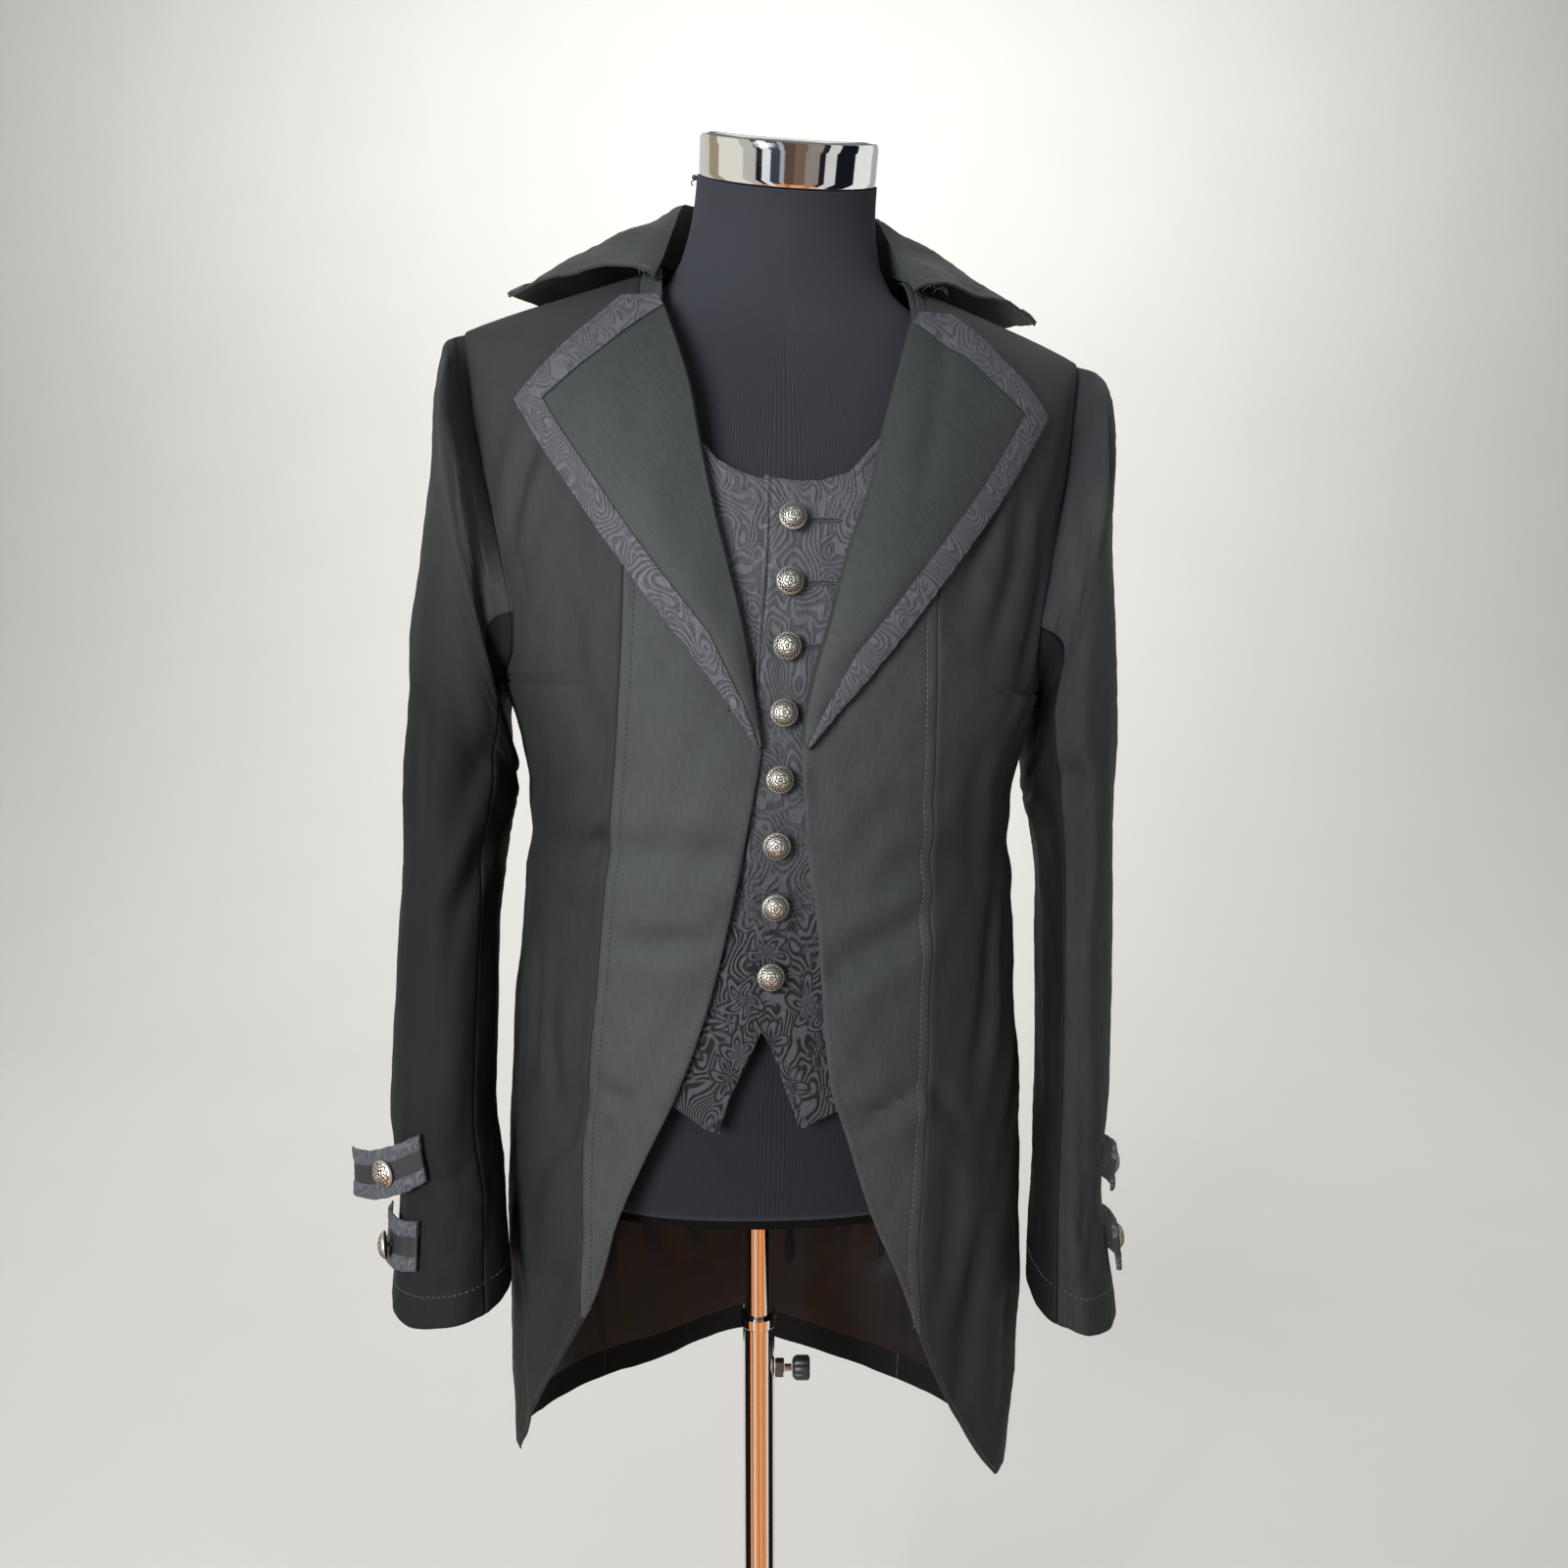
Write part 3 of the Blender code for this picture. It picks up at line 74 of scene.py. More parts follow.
class Curve:
    """Shape-preserving cubic through the points of two columns."""

    def __init__(self, x, y):
        order = np.argsort(x)
        self.x = np.asarray(x, float)[order]
        self.y = np.asarray(y, float)[order]
        h = np.diff(self.x)
        d = np.diff(self.y) / h
        m = np.zeros_like(self.x)
        m[0], m[-1] = d[0], d[-1]
        for i in range(1, len(m) - 1):
            if d[i - 1] * d[i] > 0:
                w1, w2 = 2 * h[i] + h[i - 1], h[i] + 2 * h[i - 1]
                m[i] = (w1 + w2) / (w1 / d[i - 1] + w2 / d[i])
        self.m = m

    def __call__(self, q):
        q = np.clip(np.asarray(q, float), self.x[0], self.x[-1])
        i = np.clip(np.searchsorted(self.x, q, side="right") - 1, 0, len(self.x) - 2)
        h = self.x[i + 1] - self.x[i]
        t = (q - self.x[i]) / h
        return ((1 + 2 * t) * (1 - t) ** 2 * self.y[i] + t * (1 - t) ** 2 * h * self.m[i]
                + t * t * (3 - 2 * t) * self.y[i + 1] + t * t * (t - 1) * h * self.m[i + 1])


def lean_matrix():
    c, s = math.cos(YAW), math.sin(YAW)
    turn = np.array([[c, -s, 0], [s, c, 0], [0, 0, 1]])
    c, s = math.cos(LEAN), math.sin(LEAN)
    return np.array([[c, 0, s], [0, 1, 0], [-s, 0, c]]) @ turn


POSE = lean_matrix()


def place(p):
    """From the garment's own upright frame to where the form stands."""
    pivot = np.array([0, 0, PIVOT_Z])
    return (np.asarray(p, float) - pivot) @ POSE.T + pivot


# ------------------------------------------------------- the body's surface
# half-widths at +X (left) and -X (right), reach in front and behind, and the
# power of the ring's superellipse, from hem to underarm
BODY = table(
    "z      left    right   front   back    power",
    (0.540, 0.2040, 0.1840, 0.136, 0.128, 1.95),
    (0.620, 0.2065, 0.1855, 0.139, 0.124, 2.00),
    (0.690, 0.2060, 0.1870, 0.141, 0.120, 2.10),
    (0.780, 0.2030, 0.1890, 0.142, 0.116, 2.20),
    (0.860, 0.1975, 0.1880, 0.141, 0.112, 2.25),
    (0.940, 0.1910, 0.1835, 0.140, 0.106, 2.30),
    (1.020, 0.1835, 0.1765, 0.139, 0.101, 2.35),
    (1.090, 0.1790, 0.1735, 0.140, 0.101, 2.45),
    (1.130, 0.1850, 0.1810, 0.140, 0.104, 2.60),
    (1.165, 0.1930, 0.1920, 0.138, 0.108, 2.70),
)
LEFT = Curve(BODY["z"], BODY["left"])
RIGHT = Curve(BODY["z"], BODY["right"])
FRONT = Curve(BODY["z"], BODY["front"])
BACK = Curve(BODY["z"], BODY["back"])
POWER = Curve(BODY["z"], BODY["power"])

# shoulder ridge: height over half-width
RIDGE = table(
    "x      z",
    (0.000, 1.4780),
    (0.060, 1.4720),
    (0.085, 1.4640),
    (0.110, 1.4545),
    (0.150, 1.4410),
    (0.200, 1.4240),
    (0.228, 1.4130),
    (0.250, 1.4000),
)
RIDGE_Z = Curve(RIDGE["x"], RIDGE["z"])
# how far behind the shoulder ridge the ribs end, round the back of the neck
NAPE = table(
    "x      reach",
    (0.000, 0.0640), (0.020, 0.0610), (0.040, 0.0500), (0.060, 0.0310),
    (0.080, 0.0110), (0.100, 0.0015), (0.120, 0.0000), (0.260, 0.0000),
)
NAPE_Y = Curve(NAPE["x"], NAPE["reach"])

# height of the hem over the angle from centre front, + on the left
HEM = table(
    "angle  z",
    (-180, 0.588),
    (-150, 0.566),
    (-115, 0.566),
    (-75, 0.590),
    (0, 0.600),
    (75, 0.569),
    (115, 0.548),
    (150, 0.560),
    (180, 0.588),
)
HEM_Z = Curve(np.radians(HEM["angle"]), HEM["z"])


def ring(theta, z):
    s, c = np.sin(theta), np.cos(theta)
    a = np.where(s >= 0, LEFT(z), RIGHT(z))
    d = np.where(c >= 0, FRONT(z), BACK(z))
    p = 2.0 / POWER(z)
    return a * np.sign(s) * np.abs(s) ** p, -d * np.sign(c) * np.abs(c) ** p


def skin(theta, v, off=0.0):
    """Point of the jacket's outer surface: v 0 at the hem, 1 at the underarm
    level and 2 at the shoulder seam; off moves it out along the normal."""
    theta = np.asarray(theta, float)
    v = np.asarray(v, float)
    hem = HEM_Z(theta)
    zl = hem + (Z_ARM - hem) * np.clip(v, 0, 1)
    xl, yl = ring(theta, zl)
    phi = np.clip(v - 1, 0, 1) * math.pi / 2
    xa, ya = ring(theta, Z_ARM)
    a = np.where(xa >= 0, LEFT(Z_ARM), RIGHT(Z_ARM))
    xt = xa * (1 + FLARE * (xa / a) ** 2)
    zt = RIDGE_Z(np.abs(xt))
    yt = RIDGE_Y + np.where(np.cos(theta) >= 0, 0.0, NAPE_Y(np.abs(xt)))
    xu = xa + (xt - xa) * np.sin(phi)
    yu = yt + (ya - yt) * np.cos(phi)
    zu = Z_ARM + (zt - Z_ARM) * np.sin(phi)
    low = v <= 1
    p = np.stack([np.where(low, xl, xu), np.where(low, yl, yu), np.where(low, zl, zu)], -1)
    if np.any(np.asarray(off) != 0):
        p = p + skin_normal(theta, v) * np.asarray(off)[..., None]
    return p


def skin_normal(theta, v):
    e = 0.004
    v = np.asarray(v, float)
    up, down = np.clip(v + e, 0, 2), np.clip(v - e, 0, 2)
    n = np.cross(skin(theta + e, v) - skin(theta - e, v), skin(theta, up) - skin(theta, down))
    n /= np.linalg.norm(n, axis=-1, keepdims=True)
    return n


def angle_at(x, v, back=False):
    """The angle whose point on row v has this x."""
    x = np.asarray(x, float) + 0 * np.asarray(v, float)
    v = np.asarray(v, float) + 0 * x
    side = np.where(x >= 0, 1.0, -1.0)
    theta = side * (2.2 if back else 0.9)
    for _ in range(14):
        hem = HEM_Z(theta)
        z = np.where(v <= 1, hem + (Z_ARM - hem) * np.clip(v, 0, 1), Z_ARM)
        a = np.where(x >= 0, LEFT(z), RIGHT(z))
        phi = np.clip(v - 1, 0, 1) * math.pi / 2
        xa, _y = ring(theta, Z_ARM)
        aa = np.where(x >= 0, LEFT(Z_ARM), RIGHT(Z_ARM))
        want = np.abs(x) / (1 + FLARE * (xa / aa) ** 2 * np.sin(phi))
        s = np.clip(want / a, 0, 1) ** (POWER(z) / 2)
        t = np.arcsin(s)
        theta = side * np.where(back, math.pi - t, t)
    return theta


def row_of(theta, z):
    """The row v at which this angle's rib has height z."""
    lo, hi = np.zeros_like(theta), np.full_like(theta, 2.0)
    for _ in range(30):
        mid = (lo + hi) / 2
        high = skin(theta, mid)[..., 2] > z
        hi = np.where(high, mid, hi)
        lo = np.where(high, lo, mid)
    return (lo + hi) / 2


def front_at(x, z, off=0.0):
    """Point of the front surface over (x, z), moved out along its normal."""
    x = np.asarray(x, float)
    z = np.asarray(z, float)
    v = np.clip((z - 0.58) / (Z_ARM - 0.58), 0, 2) + 0 * x
    for _ in range(12):
        theta = angle_at(x, v)
        v = row_of(theta, z)
    return skin(theta, v, off)


# ------------------------------------------------ edges and seams, x over z
EDGE_R = table(   # wearer's right front edge, below the lapel
    "z      x",
    (1.135, -0.0150), (1.089, -0.0210), (1.026, -0.0315), (0.965, -0.0445),
    (0.905, -0.0635), (0.853, -0.0860), (0.810, -0.1030), (0.748, -0.1200),
    (0.705, -0.1380), (0.662, -0.1570), (0.621, -0.1700), (0.592, -0.1780),
)
EDGE_L = table(
    "z      x",
    (1.135, 0.0108), (1.075, 0.0145), (1.020, 0.0228), (0.983, 0.0270),
    (0.945, 0.0302), (0.907, 0.0355), (0.876, 0.0460), (0.816, 0.0665),
    (0.768, 0.0880), (0.730, 0.1020), (0.692, 0.1180), (0.643, 0.1430),
    (0.607, 0.1620), (0.562, 0.1890),
)
ROLL_R = table(   # roll line of the lapel: the front panel's edge above the waist
    "z      x",
    (1.135, -0.0150), (1.1615, -0.0206), (1.201, -0.0279), (1.244, -0.0389),
    (1.278, -0.0479), (1.323, -0.0576), (1.358, -0.0640), (1.423, -0.0835),
    (1.466, -0.0850),
)
ROLL_L = table(
    "z      x",
    (1.135, 0.0108), (1.1525, 0.0127), (1.181, 0.0183), (1.213, 0.0273),
    (1.256, 0.0380), (1.303, 0.0537), (1.335, 0.0613), (1.418, 0.0860),
    (1.466, 0.0870),
)
PRINCESS_R = table(
    "z      x",
    (1.470, -0.1000), (1.360, -0.0980), (1.2357, -0.1045), (1.178, -0.1058),
    (1.119, -0.1091), (1.043, -0.1135), (0.926, -0.1227), (0.827, -0.1275),
    (0.738, -0.1275),
)
PRINCESS_L = table(
    "z      x",
    (1.470, 0.1010), (1.360, 0.0960), (1.219, 0.0978), (1.045, 0.1015),
    (0.925, 0.1039), (0.863, 0.1034), (0.789, 0.1010), (0.727, 0.1065),
)
PRINCESS_END = {-1: 0.735, 1: 0.725}     # height where it runs out at the front edge


def line(tab):
    return Curve(tab["z"], tab["x"])


FRONT_LINE = {-1: line({k: np.concatenate([EDGE_R[k], ROLL_R[k][1:]]) for k in ("z", "x")}),
              1: line({k: np.concatenate([EDGE_L[k], ROLL_L[k][1:]]) for k in ("z", "x")})}
PRINCESS = {-1: line(PRINCESS_R), 1: line(PRINCESS_L)}

# armhole: angle of its front and back edge over the row above underarm level
ARMHOLE = table(
    "u      front  back",
    (0.000, 90.0, 90.0),
    (0.020, 72.0, 106.0),
    (0.060, 64.0, 114.0),
    (0.120, 62.5, 118.0),
    (0.220, 66.0, 119.0),
    (0.350, 71.5, 116.0),
    (0.500, 77.0, 111.0),
    (0.660, 82.0, 104.0),
    (0.830, 86.0, 96.5),
    (1.000, 88.0, 92.0),
)
ARM_FRONT = Curve(ARMHOLE["u"], np.radians(ARMHOLE["front"]))
ARM_BACK = Curve(ARMHOLE["u"], np.radians(ARMHOLE["back"]))
BACK_SEAM = table(   # back princess seam: angle over row
    "v      angle",
    (0.00, 138), (0.60, 140), (1.00, 139), (1.25, 132), (1.42, 116),
)
BACK_ANGLE = Curve(BACK_SEAM["v"], np.radians(BACK_SEAM["angle"]))

ROWS_LOW = np.array([0.0, 0.10, 0.21, 0.33, 0.45, 0.57, 0.68, 0.79, 0.90, 1.0])
ROWS_UP = 1 + ARMHOLE["u"][1:]
SIDE = math.pi / 2
TOP_V = 2.0


TWILL = (0.030, 0.034, 0.034)
JACQUARD = (0.066, 0.070, 0.086)
SATIN = (0.014, 0.016, 0.022)
JERSEY = (0.024, 0.027, 0.038)
SILVER = (0.60, 0.58, 0.54)
CHROME = (0.80, 0.80, 0.80)


def shifted(theta, v, metres):
    """The angle moved along the ring by a length."""
    e = 0.01
    speed = np.linalg.norm(skin(theta + e, v) - skin(theta - e, v), axis=-1) / (2 * e)
    return theta + metres / np.maximum(speed, 0.02)


NAMES = {-1: "right", 1: "left"}


def line_angle(curve, v, side):
    """Angles at which the rows v cross a line given as x over z."""
    theta = angle_at(side * 0.1 * np.ones_like(v), v)
    for _ in range(25):
        z = skin(theta, v)[:, 2]
        theta = 0.4 * theta + 0.6 * angle_at(curve(z), v)
    return theta


def row_for_height(curve, z, side):
    """The row at which a line reaches this height."""
    x = curve(z)
    v = np.array([0.3])
    for _ in range(20):
        theta = angle_at(np.array([float(x)]), v)
        v = row_of(theta, z)
    return float(v[0])


# ------------------------------------------------------------------ sleeves
SLEEVE = {
    -1: table(
        "z_out  x_out   z_in   x_in    y_mid   depth",
        (1.412, 0.2345, 1.166, 0.1935, -0.010, 0.071),
        (1.403, 0.2400, 1.150, 0.1930, -0.008, 0.075),
        (1.355, 0.2430, 1.130, 0.1895, -0.006, 0.078),
        (1.280, 0.2510, 1.105, 0.1850, -0.006, 0.078),
        (1.200, 0.2605, 1.080, 0.1860, -0.007, 0.075),
        (1.120, 0.2640, 1.045, 0.1925, -0.009, 0.072),
        (1.020, 0.2660, 0.995, 0.1960, -0.015, 0.068),
        (0.880, 0.2705, 0.880, 0.1955, -0.034, 0.061),
        (0.800, 0.2615, 0.812, 0.1870, -0.044, 0.057),
        (0.722, 0.2655, 0.740, 0.1820, -0.056, 0.055),
    ),
    1: table(
        "z_out  x_out   z_in   x_in    y_mid   depth",
        (1.412, 0.2370, 1.166, 0.1950, -0.010, 0.071),
        (1.403, 0.2430, 1.150, 0.1950, -0.008, 0.075),
        (1.355, 0.2460, 1.130, 0.1940, -0.006, 0.078),
        (1.280, 0.2530, 1.105, 0.1945, -0.006, 0.078),
        (1.200, 0.2600, 1.080, 0.1990, -0.007, 0.075),
        (1.120, 0.2620, 1.045, 0.2065, -0.009, 0.072),
        (1.020, 0.2630, 0.995, 0.2090, -0.015, 0.068),
        (0.880, 0.2610, 0.880, 0.2075, -0.034, 0.061),
        (0.800, 0.2570, 0.812, 0.2055, -0.044, 0.057),
        (0.708, 0.2685, 0.720, 0.2025, -0.056, 0.055),
    ),
}
SLEEVE_TURN = math.radians(10)      # the sleeve's front is turned in towards the body
SLEEVE_POWER = 2.15
FADE_END = 0.26
SLEEVE_W = np.array([0.0, 0.05, 0.111, 0.20, 0.31, 0.42, 0.54, 0.66, 0.78, 0.89, 1.0])
FRONT_SEAM = math.radians(118)      # seam lines round the sleeve, from its outer side
BACK_SEAM_A = math.radians(-112)


def armhole_ring(side):
    """The armhole's points, from the shoulder down the front, under the arm
    and up the back, with the angle of each round the sleeve."""
    u = ARMHOLE["u"]
    down = u[::-1]
    front = skin(side * ARM_FRONT(down), 1 + down)
    back = skin(side * ARM_BACK(u[1:]), 1 + u[1:])
    pts = np.concatenate([front, back])
    arc = np.concatenate([[0], np.cumsum(np.linalg.norm(np.diff(pts, axis=0), axis=1))])
    k = len(down) - 1
    alpha = np.concatenate([math.pi * arc[:k + 1] / arc[k],
                            math.pi * (1 + (arc[k + 1:] - arc[k]) / (arc[-1] - arc[k]))])
    return pts, alpha


def sleeve_point(side, w, alpha, hole, off=0.0, hole_off=0.0006):
    """Point of the sleeve: w 0 at the armhole and 1 at the cuff, alpha 0 at the
    outer side, a quarter turn at the front.  hole holds the armhole's point for
    this alpha."""
    tab = SLEEVE[side]
    k = np.linspace(0, 1, len(tab["z_out"]))
    zo, xo, zi, xi, ym, dp = (Curve(k, tab[n])(w) for n in
                              ("z_out", "x_out", "z_in", "x_in", "y_mid", "depth"))
    q = 2.0 / SLEEVE_POWER
    c, s = np.cos(alpha), np.sin(alpha)
    c = np.sign(c) * np.abs(c) ** q
    s = np.sign(s) * np.abs(s) ** q
    x = (xo + xi) / 2 + ((xo - xi) / 2 + off) * c
    z = (zo + zi) / 2 + (zo - zi) / 2 * c
    y = ym - (dp + off) * s
    turn = SLEEVE_TURN * np.clip(np.asarray(w) / 0.3, 0, 1) ** 2
    x = x - np.sin(turn) * (dp + off) * s
    p = np.stack([side * x, y, z], -1)
    at0 = sleeve_row0(side, alpha)
    fade = np.clip(1 - w / FADE_END, 0, 1) ** 2
    return p + (hole + np.array([side * hole_off, 0, 0]) - at0) * np.asarray(fade)[..., None]


def sleeve_row0(side, alpha):
    tab = SLEEVE[side]
    q = 2.0 / SLEEVE_POWER
    c, s = np.cos(alpha), np.sin(alpha)
    c = np.sign(c) * np.abs(c) ** q
    s = np.sign(s) * np.abs(s) ** q
    zo, xo, zi, xi = (tab[n][0] for n in ("z_out", "x_out", "z_in", "x_in"))
    return np.stack([side * ((xo + xi) / 2 + (xo - xi) / 2 * c),
                     tab["y_mid"][0] - tab["depth"][0] * s,
                     (zo + zi) / 2 + (zo - zi) / 2 * c], -1)


# ------------------------------------------------------- lapels and collar
# corners of a lapel on the front, x and z: where it starts below, the roll
# line's top, the notch and the tip, and the same for the plain field inside
# the trim
LAPEL = {
    -1: table("z_roll x_roll z_out  x_out",
              (1.1310, -0.0160, 1.1290, -0.0185),
              (1.1615, -0.0210, 1.1510, -0.0330),
              (1.2010, -0.0283, 1.1900, -0.0625),
              (1.2440, -0.0393, 1.2290, -0.0935),
              (1.2780, -0.0483, 1.2620, -0.1180),
              (1.3230, -0.0580, 1.2940, -0.1400),
              (1.3580, -0.0645, 1.3220, -0.1590),
              (1.4150, -0.0815, 1.3510, -0.1765)),
    1: table("z_roll x_roll z_out  x_out",
             (1.1310, 0.0115, 1.1290, 0.0140),
             (1.1525, 0.0133, 1.1480, 0.0290),
             (1.1810, 0.0190, 1.1760, 0.0520),
             (1.2130, 0.0278, 1.2080, 0.0770),
             (1.2560, 0.0385, 1.2480, 0.1070),
             (1.3030, 0.0541, 1.2900, 0.1380),
             (1.3350, 0.0620, 1.3250, 0.1610),
             (1.4120, 0.0850, 1.3560, 0.1805)),
}
NOTCH = {-1: (-0.0955, 1.4340), 1: (0.1020, 1.4325)}
TRIM_W = 0.0158


def lapel_grid(side, columns, rows):
    """x and z of the lapel: rows up the roll line, columns out to the trim.
    The last row and the last column are the trim."""
    tab = LAPEL[side]
    k = np.linspace(0, 1, len(tab["z_roll"]))
    t = np.linspace(0, 1, rows)
    roll = np.stack([Curve(k, tab["x_roll"])(t), Curve(k, tab["z_roll"])(t)], -1)
    out = np.stack([Curve(k, tab["x_out"])(t), Curve(k, tab["z_out"])(t)], -1)
    tip, notch = out[-1].copy(), np.array(NOTCH[side])
    top = tip - notch
    top /= np.linalg.norm(top)
    down = np.array([side * top[1], -side * top[0]])
    if down[1] > 0:
        down = -down
    # the field's corner lies inside both trims
    low = out[-1] - out[-2]
    low /= np.linalg.norm(low)
    inward = np.array([-side * low[1], side * low[0]])
    if inward[0] * side > 0:
        inward = -inward
    m = np.array([top, -low]).T
    a = notch + down * TRIM_W
    b = tip + inward * TRIM_W
    s = np.linalg.solve(m, b - a)
    corner = a + top * s[0]
    # field rows end on the top trim's inner line
    width = np.linalg.norm(out - roll, axis=1)
    trim = np.minimum(TRIM_W * 1.02, width * 0.45)
    d = np.gradient(out, axis=0)
    d /= np.linalg.norm(d, axis=1, keepdims=True)
    n = np.stack([-side * d[:, 1], side * d[:, 0]], -1)
    n = np.where(n[:, :1] * side > 0, -n, n)
    inner = out + n * trim[:, None]
    inner[-1] = corner
    roll_top = roll[-1].copy()
    grid = np.zeros((rows + 1, columns + 2, 2))
    for i in range(rows):
        f = np.linspace(0, 1, columns + 1)[:, None]
        grid[i, :columns + 1] = roll[i] * (1 - f) + inner[i] * f
        grid[i, columns + 1] = out[i]
    f = np.linspace(0, 1, columns + 1)[:, None]
    grid[rows, :columns + 1] = np.array([notch[0] - side * 0.006, notch[1] + 0.001]) * (1 - f) + tip * f
    grid[rows, :columns + 1] = grid[rows, :columns + 1] * 1.0
    # top edge: from the roll line's end over the notch to the tip
    start_top = roll_top + np.array([side * 0.004, 0.0085])
    pts = np.stack([start_top, notch, tip])
    seg = np.array([0, np.linalg.norm(pts[1] - pts[0]), 0])
    seg[2] = seg[1] + np.linalg.norm(pts[2] - pts[1])
    along = np.linspace(0, 1, columns + 1) * seg[2]
    along = np.where((np.arange(columns + 1) == 1), max(along[1], seg[1]), along)
    grid[rows, :columns + 1, 0] = np.interp(along, seg, pts[:, 0])
    grid[rows, :columns + 1, 1] = np.interp(along, seg, pts[:, 1])
    grid[rows, columns + 1] = tip
    grid[rows, columns] = tip + (notch - tip) / np.linalg.norm(notch - tip) * 0.0
    # mitre: the corner cell is a square with the tip outside
    grid[rows, columns] = corner + (-down) * TRIM_W
    grid[rows - 1, columns + 1] = corner + (-inward) * TRIM_W
    return grid


def lapel_off(grid, side, base):
    """How far the lapel stands off the front: least at its roll and its foot."""
    d = np.linspace(0, 1, grid.shape[1])[None, :]
    up = np.linspace(0, 1, grid.shape[0])[:, None]
    lift = 0.0042 * np.sin(np.pi * np.clip(d * 0.9, 0, 1)) * np.clip(up * 3, 0, 1)
    return base + lift


# collar stations from the notch round to centre back: neck seam, fold, the
# leaf's middle and its free edge, for the left half
COLLAR = table(
    "seam_x  seam_y  seam_z  fold_x  fold_y  fold_z  mid_x   mid_y   mid_z   edge_x  edge_y  edge_z",
    (0.0905, -0.0480, 1.4412, 0.0890, -0.0530, 1.4420, 0.1290, -0.0300, 1.4535, 0.1960, 0.0140, 1.4440),
    (0.0890, -0.0310, 1.4525, 0.0830, -0.0300, 1.4640, 0.1270, -0.0020, 1.4740, 0.1960, 0.0270, 1.4480),
    (0.0865, -0.0080, 1.4620, 0.0765, -0.0030, 1.4930, 0.1230, 0.0240, 1.4905, 0.1860, 0.0470, 1.4500),
    (0.0840, 0.0200, 1.4720, 0.0710, 0.0300, 1.5180, 0.1130, 0.0530, 1.4960, 0.1590, 0.0680, 1.4450),
    (0.0660, 0.0520, 1.4790, 0.0560, 0.0610, 1.5270, 0.0860, 0.0830, 1.4990, 0.1120, 0.0900, 1.4360),
    (0.0340, 0.0730, 1.4820, 0.0290, 0.0790, 1.5305, 0.0440, 0.0990, 1.5010, 0.0570, 0.1030, 1.4310),
    (0.0000, 0.0790, 1.4830, 0.0000, 0.0845, 1.5315, 0.0000, 0.1030, 1.5015, 0.0000, 0.1070, 1.4300),
)


def collar_grid(stations, leaf):
    """Outer and inner points: stations from one notch round to the other,
    across from the neck seam over the fold to the free edge."""
    k = np.linspace(0, 1, len(COLLAR["seam_x"]))
    full = np.linspace(-1, 1, stations)
    t = 1 - np.abs(full)
    col = {}
    for part in ("seam", "fold", "mid", "edge"):
        x, y, z = (Curve(k, COLLAR[part + "_" + a])(t) for a in "xyz")
        col[part] = np.stack([x * np.sign(np.where(full == 0, 1, full)), y, z], -1)
    rows = []
    for i in range(stations):
        s, f, m, e = (col[p][i] for p in ("seam", "fold", "mid", "edge"))
        line_pts = [s, s * 0.5 + f * 0.5, s * 0.12 + f * 0.88, f]
        ctrl_a = f + (m - f) * 0.40 + np.array([0, 0, 0.006]) * min(1.0, 3 * t[i] + 0.25)
        line_pts.append(f + (ctrl_a - f) * 0.45)
        for u in np.linspace(0, 1, leaf)[1:]:
            p = (1 - u) ** 2 * f + 2 * u * (1 - u) * (2 * m - (f + e) / 2) + u * u * e
            line_pts.append(p)
        del line_pts[4]
        rows.append(line_pts)
    return np.array(rows)


def grid_normals(g):
    du = np.gradient(g, axis=0)
    dv = np.gradient(g, axis=1)
    n = np.cross(du, dv)
    return n / np.maximum(np.linalg.norm(n, axis=-1, keepdims=True), 1e-12)


# ---------------------------------------------------------------- waistcoat
VEST_EDGE = table(   # edge of the left panel, which laps over the right one
    "z      x",
    (1.300, -0.0160), (1.254, -0.0167), (1.209, -0.0190), (1.1645, -0.0200),
    (1.054, -0.0231), (0.996, -0.0250), (0.979, -0.0239),
)
VEST_FOOT_L = table(   # lower outline of each panel
    "x       z",
    (-0.0239, 0.979), (-0.0153, 0.958), (-0.0105, 0.943), (-0.0033, 0.931),
    (0.0051, 0.907), (0.0165, 0.8768), (0.0375, 0.8866), (0.1000, 0.9120),
)
VEST_FOOT_R = table(
    "x       z",
    (0.0040, 0.975), (-0.0105, 0.9430), (-0.0218, 0.9177), (-0.0314, 0.8966), (-0.0378, 0.8735),
    (-0.0467, 0.8760), (-0.0659, 0.8888), (-0.1000, 0.9080),
)
VEST_TOP = table(   # neckline, over the distance from the centre
    "x      z",
    (0.000, 1.3010), (0.0155, 1.3020), (0.0333, 1.3070), (0.0487, 1.3150),
    (0.0580, 1.3260), (0.0720, 1.3440), (0.1000, 1.3800),
)
VEST_OFF = -0.0062
VEST_THICK = 0.0014


def vest_grid(side, rows):
    """Columns at the corners of the foot, rows from the foot to the neckline."""
    foot = VEST_FOOT_L if side > 0 else VEST_FOOT_R
    xs = foot["x"]
    t = np.linspace(0, 1, rows)
    pts = np.zeros((rows, len(xs), 2))
    for j, x in enumerate(xs):
        z0 = foot["z"][j]
        z1 = float(Curve(VEST_TOP["x"], VEST_TOP["z"])(abs(x)))
        z = z0 + (z1 - z0) * t
        if side > 0:
            e = Curve(VEST_EDGE["z"], VEST_EDGE["x"])(z)
            share = (x - xs[0]) / (xs[-1] - xs[0])
            shift = (e - xs[0]) * (1 - share) ** 2
        else:
            shift = 0 * z
        pts[:, j, 0] = x + shift
        pts[:, j, 1] = z
    return pts


